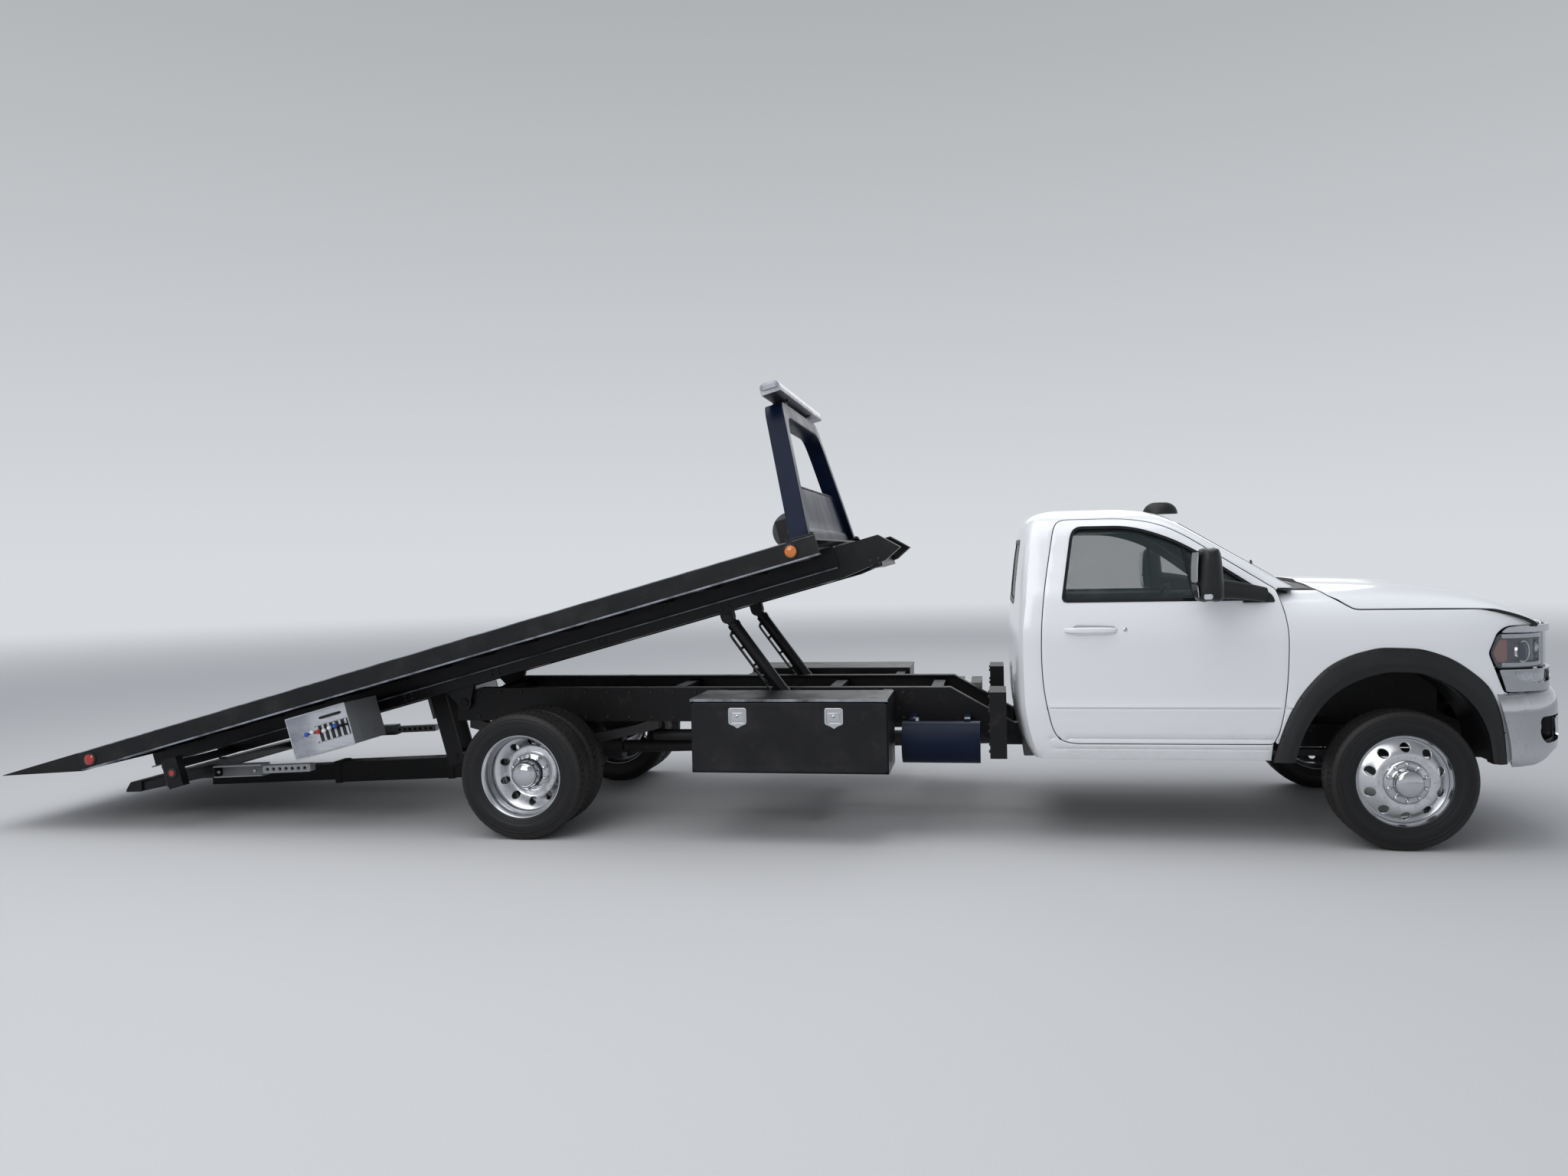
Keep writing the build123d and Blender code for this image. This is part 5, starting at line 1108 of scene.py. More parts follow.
class TOWTRUCK_OT_fenders(bpy.types.Operator):
    """Front fenders, their black wheel flares and the wheel wells"""
    bl_idname = "towtruck.fenders"
    bl_label = "Fenders"

    # share across the flare from its outer edge, and height above the fender
    FLARE_SECTION = np.array([(0.0, -0.002), (0.012, 0.004), (0.05, 0.0085), (0.2, 0.0135), (0.45, 0.0205),
                              (0.6, 0.0225), (0.66, 0.0215), (0.72, 0.016), (0.86, 0.012), (0.97, 0.006),
                              (1.0, -0.006), (1.0, -0.08), (0.955, -0.08), (0.955, -0.01), (0.06, -0.006)])

    def execute(self, context):
        outer, inner = arch_line()
        push = inner - [0, 0.45]
        push[push[:, 1] < 0.1, 1] = 0
        opening = inner + FLARE_LIP * push / np.linalg.norm(push, axis=1, keepdims=True)
        # The fender's outline, with the wheel's opening cut out of its lower edge
        edge = rounded(FENDER, FENDER_RADII)
        outline = resample(np.concatenate([edge, opening[::-1]]), 0.018)
        shape, flares, wells = Shape(), Shape(), Shape()
        rows = rows_at(np.linspace(-0.62, -0.36, 14), (1.435, 1.45, 1.462, 1.472))
        rows += rows_at(np.linspace(-0.61, -0.5, 6), [CREST + d for d in (-0.02, -0.007, 0, 0.007, 0.02)])
        # The inner face and the edge walls are moulded black, so that the edge walls paint the shade in the
        # shut lines.
        panel(shape, fender_skin(1), outline, pitch=0.034, rows=rows, out=-1, inner_kind=1)
        shape.mirrored().build("fender_skins", "chassis", "body_paint", "moulded_black",
                               replaces=["fenders"], crease=38)
        share, high = self.FLARE_SECTION[:, 0], self.FLARE_SECTION[:, 1]
        flat = outer[:, None] + (inner - outer)[:, None] * share[None, :, None]
        base = 1.005 - 0.012 * ease(outer[:, :1], 0.25, 0.54)
        grid = nose(flat[..., 0], base + high[None], flat[..., 1])
        sheet_grid(flares, grid, close_columns=True, caps=True)
        # Round clips along each flare's outer edge
        for k in range(6, 84, 11):
            x, z = outer[k] * 0.94 + inner[k] * 0.06
            lathe(flares, [(0.005, 0), (0.0045, 0.0018), (0, 0.0024)], nose(x, base[k, 0] + 0.0145, z), 1, 10)
        flares.mirrored().build("wheel_flares_moulded", "chassis", "moulded_black",
                                replaces=["wheel_flares"], crease=34)
        # Wheel well: the arch carried inwards to the frame
        inward = np.array([0.925, 0.8, 0.66, 0.52])
        well = nose(opening[:, :1], inward, opening[:, 1:] - 0.02 * (inward < 0.6))
        thin = well + [0, 0, 0.006]
        sheet_grid(wells, np.concatenate([well, thin[:, ::-1]], 1), close_columns=True, caps=True)
        wells.mirrored().build("wheel_wells", "chassis", "moulded_black")
        return {"FINISHED"}


# Wheels

# radius, distance out: half of a tyre's outside, from bead to the middle of the tread
TYRE_HALF = [(0.252, 0.08), (0.256, 0.093), (0.262, 0.099), (0.27, 0.1025), (0.278, 0.1035), (0.281, 0.1065),
             (0.292, 0.1092), (0.2935, 0.1078), (0.303, 0.1098), (0.3045, 0.111), (0.318, 0.1118),
             (0.335, 0.1122), (0.3365, 0.1105), (0.346, 0.1108), (0.3475, 0.1124), (0.356, 0.1108),
             (0.3575, 0.1088), (0.364, 0.1082), (0.3655, 0.1096), (0.372, 0.1075), (0.381, 0.1035),
             (0.3885, 0.0985), (0.3935, 0.0915), (0.3958, 0.085)]
GROOVES = (0.0, 0.034, 0.066)
HALF_TYRE, BEAD_RADIUS, CROWN_RADIUS = 0.1125, 0.2495, 0.3968
# radii between which the sidewall's ribs lie, then where the shoulder and the tread start
RIBS, SHOULDER_RADIUS, TREAD_RADIUS = (0.2945, 0.3035), 0.3745, 0.3955
CUT_DEEP, RIB_HIGH = 0.0035, 0.0008
HOLE_RADIUS, HOLE_CIRCLE, HOLES = 0.0255, 0.196, 10
# radius and distance out of the disc's face, from its middle to the rim
DISC_FACE = np.array([(0.0, 0.122), (0.118, 0.122), (0.14, 0.124), (0.155, 0.126), (0.168, 0.122),
                      (0.185, 0.11), (0.205, 0.094), (0.222, 0.081), (0.236, 0.072), (0.246, 0.068)])


def tread_profile():
    """Whole tyre section, bead to bead: sidewall, shoulder, and a tread with round-edged grooves."""
    across = [0.085]
    for g in sorted([s * g for g in GROOVES for s in ((-1, 1) if g else (1,))], reverse=True):
        across += [g + 0.0058, g + 0.0045, g + 0.0036, g - 0.0036, g - 0.0045, g - 0.0058]
    rows = []
    for y in across[1:]:
        near = min(abs(y - s * g) for g in GROOVES for s in (-1, 1))
        crown = CROWN_RADIUS - 0.0016 * (y / 0.085)**2
        rows.append((crown - (0.011 if near < 0.004 else (0.001 if near < 0.005 else 0)), y))
    half = np.array(TYRE_HALF)
    return np.concatenate([half, rows, half[::-1] * [1, -1]])


class TOWTRUCK_OT_wheels(bpy.types.Operator):
    """Tyres with ribbed sidewalls and tread, polished rims with round hand holes, and hub covers"""
    bl_idname = "towtruck.wheels"
    bl_label = "Wheels"

    def execute(self, context):
        front_y = abs(middle("front_tyre_left").y)
        rear_low, rear_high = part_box("rear_tyres_left")
        for side, name in SIDES:
            centre = (AXLE_X, side * front_y, WHEEL_Z)
            self.tyre([centre], side, f"front_tyre_{name}", f"front_wheel_{name}")
            shape = Shape()
            self.rim(shape, centre, side)
            self.front_hub(shape, centre, side)
            shape.build(f"front_wheel_rim_{name}", f"front_wheel_{name}", "polished_alloy",
                        "chrome", "cast_iron", replaces=[f"front_rim_{name}"], crease=32)
            pair = [(REAR_X, side * (rear_low.y + HALF_TYRE), WHEEL_Z),
                    (REAR_X, side * (rear_high.y - HALF_TYRE), WHEEL_Z)]
            self.tyre(pair, side, f"rear_tyres_{name}", f"rear_wheels_{name}")
            shape = Shape()
            self.rim(shape, pair[0], side)
            self.rim(shape, pair[1], -side)
            self.rear_hub(shape, pair, side)
            shape.build(f"rear_wheel_rims_{name}", f"rear_wheels_{name}", "polished_alloy",
                        "chrome", "cast_iron", replaces=[f"rear_rims_{name}"], crease=32)
        return {"FINISHED"}

    def tyre(self, centres, side, node, body):
        """The section turned about the axle; tread blocks are cut by raising and lowering the ribs' radius
        as a square wave round the wheel, and the shoulder carries short grooves."""
        profile = tread_profile()
        count = 240
        turn = np.arange(count) * 2 * pi / count
        shape = Shape()
        for centre in centres:
            radius = np.repeat(profile[:, :1], count, 1)
            y = profile[:, 1:2]
            phase = np.arange(count)[None] + np.round(np.abs(y) * 60)
            cut = (phase % 4 < 1) & (radius > TREAD_RADIUS) & (np.abs(y) > 0.039)
            radius = radius - np.where(cut, CUT_DEEP, 0)
            shoulder = (radius > SHOULDER_RADIUS) & (radius < TREAD_RADIUS) & (np.arange(count)[None] % 4 < 1)
            radius = radius - np.where(shoulder, CUT_DEEP, 0)
            rib = (radius > RIBS[0]) & (radius < RIBS[1]) & (np.arange(count)[None] % 2 == 0)
            out = y + np.sign(y) * np.where(rib, RIB_HIGH, 0)
            x = centre[0] + radius * np.cos(turn)
            z = centre[2] + radius * np.sin(turn)
            points = join(x, centre[1] + side * out, z)
            bore = join(centre[0] + BEAD_RADIUS * np.cos(turn), centre[1],
                        centre[2] + BEAD_RADIUS * np.sin(turn))
            points = np.concatenate([points, bore[None]])
            sheet_grid(shape, points, close_rows=True, close_columns=True)
        shape.build(f"{node}_tread", body, "tyre_rubber", replaces=[node], crease=28)

    def rim(self, shape, centre, out):
        """Stepped rim barrel, and a disc whose flat drawing is a ring with round holes, carried to a face
        that is turned about the axle."""
        barrel = [(0.262, 0.096), (0.2645, 0.0925), (0.262, 0.089), (0.254, 0.087), (0.2495, 0.08),
                  (0.2465, 0.06), (0.238, 0.045), (0.236, 0.0), (0.24, -0.05), (0.2465, -0.07),
                  (0.2495, -0.084), (0.262, -0.09), (0.262, -0.096), (0.256, -0.096), (0.244, -0.082),
                  (0.238, -0.06), (0.23, -0.04), (0.229, 0.01), (0.231, 0.04), (0.2415, 0.056),
                  (0.244, 0.076), (0.248, 0.084), (0.256, 0.0915), (0.2585, 0.096)]
        lathe(shape, barrel, centre, out, 120, closed=True)
        turn = around(120)
        outer = 0.2425 * join(np.cos(turn), np.sin(turn))
        holes = [0.07 * join(np.cos(turn[::4]), np.sin(turn[::4]))]
        for k in range(HOLES):
            at = 2 * pi * k / HOLES + pi / 2
            ring = HOLE_RADIUS * join(np.cos(turn[::5]), np.sin(turn[::5]))
            holes.append(ring + HOLE_CIRCLE * np.array([cos(at), sin(at)]))

        def face(a, b):
            r = np.hypot(a, b)
            y = smooth_table(DISC_FACE, r)[..., 0]
            return join(centre[0] + a, centre[1] + out * y, centre[2] + b)

        panel(shape, face, outer, holes, pitch=0.014, wall=0.012, roll=0.8, out=-out)

    def nuts(self, shape, centre, out, radius, profile, count, shift=0.5):
        """Ten turned covers evenly round a circle, the first a share of their spacing past its start."""
        for k in range(10):
            at = 2 * pi * (k + shift) / 10
            lathe(shape, profile, np.array(centre) + [radius * cos(at), 0, radius * sin(at)], out,
                  count, kind=1)

    def front_hub(self, shape, centre, out):
        """Chrome cover: a stepped skirt with a bead for each nut, and a domed cap."""
        cover = [(0.124, 0.121), (0.124, 0.128), (0.12, 0.134), (0.114, 0.139), (0.106, 0.142),
                 (0.098, 0.143), (0.088, 0.146), (0.082, 0.152), (0.079, 0.168), (0.076, 0.178),
                 (0.07, 0.186), (0.058, 0.1935), (0.04, 0.1985), (0.02, 0.2015), (0.0, 0.2025)]
        lathe(shape, cover, centre, out, 96, kind=1)
        bead = [(0.0135, 0.14), (0.013, 0.15), (0.0105, 0.1565), (0.0055, 0.1595), (0.0, 0.16)]
        self.nuts(shape, centre, out, 0.104, bead, 14)
        bolt = [(0.006, 0.124), (0.006, 0.127), (0.003, 0.1285), (0, 0.1287)]
        self.nuts(shape, centre, out, 0.147, bolt, 10, 0)
        lathe(shape, [(0.036, -0.085), (0.09, -0.085), (0.092, -0.06), (0.088, 0.11), (0.036, 0.11)],
              centre, out, 48, closed=True, kind=2)

    def rear_hub(self, shape, pair, out):
        """Deep chrome cover that stands out of the outer rear rim, with a bead for each nut."""
        centre = (REAR_X, (pair[0][1] + pair[1][1]) / 2, WHEEL_Z)
        cover = [(0.1175, 0.012), (0.124, 0.012), (0.126, 0.02), (0.1255, 0.06), (0.122, 0.072),
                 (0.112, 0.078), (0.1, 0.08), (0.092, 0.084), (0.088, 0.092), (0.087, 0.12), (0.0865, 0.15),
                 (0.082, 0.168), (0.07, 0.182), (0.05, 0.1915), (0.026, 0.197), (0.0, 0.1985)]
        lathe(shape, cover, centre, out, 96, kind=1)
        bead = [(0.0125, 0.076), (0.012, 0.09), (0.0095, 0.0965), (0.005, 0.099), (0.0, 0.0995)]
        self.nuts(shape, centre, out, 0.107, bead, 14)
        lathe(shape, [(0.046, -0.23), (0.095, -0.23), (0.097, -0.2), (0.093, 0.1), (0.046, 0.1)],
              centre, out, 48, closed=True, kind=2)


# Nose: plan of the grille, lamps and bumper, as (distance from the middle, distance ahead of the front axle)
NOSE_PLAN = [(0, 0.9), (0.2, 0.896), (0.4, 0.885), (0.55, 0.868), (0.68, 0.842), (0.78, 0.806), (0.85, 0.762),
             (0.9, 0.712), (0.935, 0.655), (0.957, 0.6), (0.97, 0.54), (0.984, 0.43)]
BUMPER_PLAN = [(0, 0.959), (0.25, 0.953), (0.45, 0.938), (0.6, 0.911), (0.72, 0.872), (0.81, 0.824),
               (0.88, 0.764), (0.925, 0.703), (0.953, 0.641), (0.97, 0.61), (0.979, 0.545), (0.984, 0.468)]


class Wall:
    """An upright wall over a plan line, mirrored across the middle: t runs along the line from the middle,
    and each point is the line's point moved out along its normal by an offset, at height z."""

    def __init__(self, plan):
        plan = np.asarray(plan, float)
        run = np.concatenate([[0], np.cumsum(np.hypot(*np.diff(plan, axis=0).T))])
        self.table = np.column_stack([run, plan])
        self.length = run[-1]
        fine = np.linspace(0, self.length, 600)
        line = smooth_table(self.table, fine)
        self.fine, self.y, self.x = fine, line[:, 0], line[:, 1]

    def at_y(self, y):
        return np.interp(y, self.y, self.fine)

    def at_x(self, x):
        return np.interp(-np.asarray(x, float), -self.x, self.fine)

    def surface(self, side, offset=0.0):
        """offset is a number or a function of t and z."""

        def place(t, z):
            t = np.asarray(t, float)
            ahead, behind = smooth_table(self.table, t + 1e-3), smooth_table(self.table, t - 1e-3)
            along = ahead - behind
            along /= np.maximum(np.linalg.norm(along, axis=-1, keepdims=True), 1e-9)
            out = offset(t, z) if callable(offset) else offset
            here = smooth_table(self.table, t)
            y = here[..., 0] - along[..., 1] * out
            x = here[..., 1] + along[..., 0] * out
            y = np.where(t < 1e-9, 0, y)
            return nose(x, side * y, z)

        return place


NOSE_WALL, BUMPER_WALL = Wall(NOSE_PLAN), Wall(BUMPER_PLAN)


def oblong(low, high, radius):
    """Corners of a rounded rectangle, turned by quadratic curves."""
    return rounded([(low[0], low[1]), (high[0], low[1]), (high[0], high[1]), (low[0], high[1])], radius)


def rim_band(shape, surface, outline, deep, pitch=0.012):
    """Walls of an opening: its outline on a surface, and the same outline on a deeper one."""
    line = resample(outline, pitch)
    front, back = surface(line[:, 0], line[:, 1]), deep(line[:, 0], line[:, 1])
    return sheet_grid(shape, np.stack([front, back]), close_columns=True)


class TOWTRUCK_OT_grille(bpy.types.Operator):
    """Bright grille with slots over a dark screen, and the trim over and under the headlamps"""
    bl_idname = "towtruck.grille"
    bl_label = "Grille"

    SLOTS = (0.935, 1.018, 1.101, 1.184)
    SLOT_HIGH = 0.056

    def execute(self, context):
        wall = NOSE_WALL
        edge = wall.at_y(0.59)
        corner = [(0, 0.899), (edge, 0.899), (edge, 1.272), (0, 1.272)]
        outline = rounded(corner, [0, 0.02, 0.03, 0], closed=False)
        column = straight((0, 1.256), (0, 0.915), 24)
        outline = np.concatenate([resample(outline, 0.02, closed=False), column])
        slots = [resample(oblong((0.03, z), (wall.at_y(0.545), z + self.SLOT_HIGH), 0.016), 0.014)
                 for z in self.SLOTS]
        shape = Shape()
        panel(shape, wall.surface(1), outline, slots, pitch=0.03, wall=0.018, roll=1.6, out=-1, seam=True)
        shape.mirrored().build("grille_face", "chassis", "chrome", replaces=["grille"])
        screen = Shape()
        t, z = np.meshgrid(np.linspace(0, edge - 0.01, 150), np.linspace(0.905, 1.266, 62), indexing="ij")
        depth = -0.034 - 0.006 * (np.cos(t * 400) * np.cos(z * 300))
        for side in (1, -1):
            sheet_grid(screen, wall.surface(side, lambda a, b: depth)(t, z))
        screen.build("grille_screen", "chassis", "moulded_black", recalc=False)
        bars = Shape()
        for side in (1, -1):
            for k in range(9):
                at = wall.at_y(0.06 + 0.06 * k)
                line = wall.surface(side, -0.026)(at, np.linspace(0.91, 1.262, 12))
                sweep(bars, line, strip(0.004, -0.006, 0.003, 0.006), up=(1, 0, 0))
        bars.build("grille_bars", "chassis", "gloss_black")
        trim = Shape()
        near, x_at = wall.at_y(0.6), wall.at_x
        upper = rounded([(near, 1.232), (x_at(0.495), 1.232), (x_at(0.53), 1.262), (x_at(0.6), 1.27),
                         (near, 1.272)],
                        [0.004, 0.01, 0.02, 0.02, 0.004])
        lower = rounded([(near, 0.901), (x_at(0.525), 0.903), (x_at(0.484), 1.027), (near, 1.027)],
                        [0.006, 0.008, 0.008, 0.006])
        smile = rounded([(wall.at_y(0.7), 1.018), (x_at(0.56), 1.018), (x_at(0.585), 0.965),
                         (x_at(0.7), 0.945), (wall.at_y(0.74), 0.955)], [0.01, 0.012, 0.03, 0.05, 0.03])
        notch = rounded([(x_at(0.545), 1.016), (x_at(0.505), 1.016), (x_at(0.528), 0.96)], 0.006)
        smile_lens, dark = Shape(), Shape()
        for side in (1, -1):
            panel(trim, wall.surface(side, 0.004), resample(upper, 0.014), pitch=0.025, wall=0.022,
                  roll=1.4, out=-side)
            panel(trim, wall.surface(side, 0.002), resample(lower, 0.014),
                  [resample(smile, 0.012)], pitch=0.025, wall=0.024, roll=1.2, out=-side)
            panel(smile_lens, wall.surface(side, -0.006), resample(smile, 0.012), pitch=0.02, wall=0.008,
                  roll=0.6, out=-side)
            panel(dark, wall.surface(side, 0.0032), resample(notch, 0.008), pitch=0.02, wall=0.004,
                  roll=0.3, out=-side)
        trim.build("lamp_trim", "chassis", "chrome")
        smile_lens.build("lower_lamp_lenses", "chassis", "white_lens")
        dark.build("lamp_trim_notches", "chassis", "gloss_black")
        return {"FINISHED"}


class TOWTRUCK_OT_headlamps(bpy.types.Operator):
    """Headlamps: dark bowl, projector, amber corner, bright bars and a clear lens that wraps the corner"""
    bl_idname = "towtruck.headlamps"
    bl_label = "Headlamps"

    def execute(self, context):
        wall = NOSE_WALL
        near, x_at = wall.at_y(0.6), wall.at_x
        lens_line = rounded([(near, 1.034), (x_at(0.482), 1.034), (x_at(0.443), 1.118), (x_at(0.486), 1.226),
                             (near, 1.226)], [0.012, 0.012, 0.02, 0.016, 0.012])
        lens, bowl, chrome_parts, amber, glass = Shape(), Shape(), Shape(), Shape(), Shape()
        fine = resample(lens_line, 0.014)
        for side in (1, -1):
            panel(lens, wall.surface(side, lambda t, z: 0.002 + 0.004 * ease(t, near, near + 0.2)),
                  fine, pitch=0.03, wall=0.004, roll=0.8, out=-side)
            back = wall.surface(side, -0.058)
            panel(bowl, back, inset(fine, 0.012), pitch=0.03, wall=0.01, roll=0.3, out=-side)
            rim_band(bowl, wall.surface(side, -0.001), fine, wall.surface(side, -0.06))
            # Projector: a bright ring and a glass dome that look ahead, set in the corner
            for x, y, z, radius in ((0.648, 0.872, 1.118, 0.06), (0.772, 0.735, 1.13, 0.04)):
                at = nose(x, side * y, z)
                look = np.array([0.62, side * 0.78, 0]) if y > 0.8 else np.array([0.92, side * 0.38, 0])
                ring = [(radius, -0.012), (radius + 0.006, 0.004), (radius + 0.002, 0.016),
                        (radius - 0.006, 0.012), (radius - 0.01, 0.0), (radius - 0.01, -0.012)]
                lathe(chrome_parts, ring, at, 1, 36, closed=True, axis=look)
                dome = [(radius - 0.009, 0.0), (radius * 0.75, 0.012), (radius * 0.45, 0.02), (0, 0.024)]
                lathe(glass if y > 0.8 else chrome_parts, dome, at, 1, 32, axis=look)
            for k in range(5):
                t = wall.at_y(0.625 + 0.03 * k)
                line = wall.surface(side, -0.018)(t, np.linspace(1.052, 1.208, 8))
                sweep(chrome_parts, line, strip(0.004, -0.01, 0.003, 0.008),
                      up=(1, 0, 0))
            for z in (1.05, 1.21):
                t = np.linspace(near + 0.02, x_at(0.52), 40)
                line = wall.surface(side, -0.02)(t, z)
                sweep(chrome_parts, line, strip(0.004, -0.012, 0.004, 0.01))
            corner = rounded([(x_at(0.545), 1.066), (x_at(0.492), 1.066), (x_at(0.47), 1.12),
                              (x_at(0.502), 1.19), (x_at(0.545), 1.19)], 0.01)
            panel(amber, wall.surface(side, -0.02), resample(corner, 0.012), pitch=0.02, wall=0.01, out=-side)
        lens.build("headlamp_lenses", "chassis", "clear_lens", replaces=["headlamps"])
        bowl.build("headlamp_bowls", "chassis", "gloss_black")
        chrome_parts.build("headlamp_reflectors", "chassis", "chrome")
        # The projector's glass dome is dark with a painted blue reflection.
        glass.build("headlamp_domes", "chassis", "dark_blue")
        amber.build("turn_lamps", "chassis", "brown_lens")
        return {"FINISHED"}


class TOWTRUCK_OT_bumper(bpy.types.Operator):
    """Bright front bumper with a rolled top, lamp pockets, a lower intake and a black valance"""
    bl_idname = "towtruck.bumper"
    bl_label = "Front bumper"

    # height, and how far the face stands back there
    ROLL_BACK = np.array([(0.5, 0.03), (0.515, 0.014), (0.545, 0.005), (0.62, 0.0), (0.78, 0.0),
                          (0.835, 0.004), (0.862, 0.014), (0.88, 0.032), (0.888, 0.055), (0.89, 0.075)])

    def execute(self, context):
        wall, x_at = BUMPER_WALL, BUMPER_WALL.at_x
        back = lambda t, z: -smooth_table(self.ROLL_BACK, z)[..., 0]
        top, step = 0.89, 0.57
        outline = rounded([(0, step), (x_at(0.8), step), (x_at(0.72), 0.512), (x_at(0.553), 0.503),
                           (x_at(0.528), 0.7), (x_at(0.478), 0.882), (x_at(0.6), top), (0, top)],
                          [0, 0.06, 0.05, 0.01, 0.1, 0.01, 0.03, 0], closed=False)
        column = straight((0, top - 0.02), (0, 0.735), 8)
        column_low = straight((0, 0.584), (0, step + 0.006), 2)
        intake_edge = wall.at_y(0.59)
        intake = rounded([(0, 0.722), (intake_edge, 0.722), (intake_edge, 0.592), (0, 0.592)],
                         [0, 0.035, 0.035, 0], closed=False)
        outline = np.concatenate([resample(outline, 0.02, closed=False), column,
                                  resample(intake, 0.02, closed=False), column_low])
        fog = rounded([(wall.at_y(0.745), 0.615), (x_at(0.735), 0.606), (x_at(0.7), 0.66),
                       (x_at(0.705), 0.758), (wall.at_y(0.745), 0.758)], [0.03, 0.035, 0.03, 0.03, 0.03])
        shape = Shape()
        rows = rows_at(np.arange(0.02, x_at(0.51), 0.03), (0.8, 0.82, 0.84, 0.852, 0.864, 0.874))
        panel(shape, wall.surface(1, back), outline, [resample(fog, 0.012)], pitch=0.03, wall=0.03,
              roll=0.5, rows=rows, out=-1, seam=True)
        shape.mirrored().build("bumper_face", "chassis", "chrome", replaces=["front_bumper"])

        black, lamps, chrome_ring = Shape(), Shape(), Shape()
        for side in (1, -1):
            rim_band(black, wall.surface(side, -0.002), fog, wall.surface(side, -0.075))
            panel(black, wall.surface(side, -0.072), resample(inset(fog, -0.006), 0.014), pitch=0.02,
                  wall=0.008, roll=0.3, out=-side)
            edge_line = resample(inset(fog, 0.003), 0.012)
            sweep(black, wall.surface(side, 0.001)(edge_line[:, 0], edge_line[:, 1]),
                  strip(0.007, -0.004, 0.004, 0.005), up=(0.3, side, 0), closed=True)
            at = wall.surface(side, -0.05)(np.array([wall.at_y(0.835)]), np.array([0.685]))[0]
            look = np.array([0.9, side * 0.42, 0]) / np.hypot(0.9, 0.42)
            lathe(chrome_ring, [(0.045, -0.02), (0.05, 0.0), (0.046, 0.01), (0.04, 0.006), (0.038, -0.02)],
                  at, 1, 32, closed=True, axis=look)
            lathe(lamps, [(0.04, 0.0), (0.03, 0.01), (0.012, 0.014), (0, 0.015)], at, 1, 28, axis=look)
        # Intake screen and the valance under the face
        t, z = np.meshgrid(np.linspace(0, intake_edge + 0.01, 90), np.linspace(0.586, 0.728, 26),
                           indexing="ij")
        for side in (1, -1):
            sheet_grid(black, wall.surface(side, -0.05)(t, z))
            for level in (0.625, 0.658, 0.691):
                line = wall.surface(side, -0.034)(np.linspace(0, intake_edge, 30), level)
                sweep(black, line, strip(0.007, -0.01, 0.006, 0.008), up=(1, 0, 0))
        low = rounded([(0, 0.502), (x_at(0.8), 0.506), (x_at(0.742), 0.53), (x_at(0.775), 0.58), (0, 0.58)],
                      [0, 0.05, 0.02, 0.03, 0], closed=False)
        low = np.concatenate([resample(low, 0.02, closed=False), straight((0, 0.566), (0, 0.516), 4)])
        valance = Shape()
        panel(valance, wall.surface(1, lambda t, z: -0.014 - 0.5 * np.clip(0.55 - z, 0, 1)), low,
              pitch=0.03, wall=0.012, roll=0.5, out=-1, seam=True)
        valance.mirrored().build("bumper_valance", "chassis", "moulded_black")
        black.build("bumper_pockets", "chassis", "moulded_black", recalc=False)
        chrome_ring.build("fog_lamp_rings", "chassis", "chrome")
        lamps.build("fog_lamps", "chassis", "white_lens")
        return {"FINISHED"}


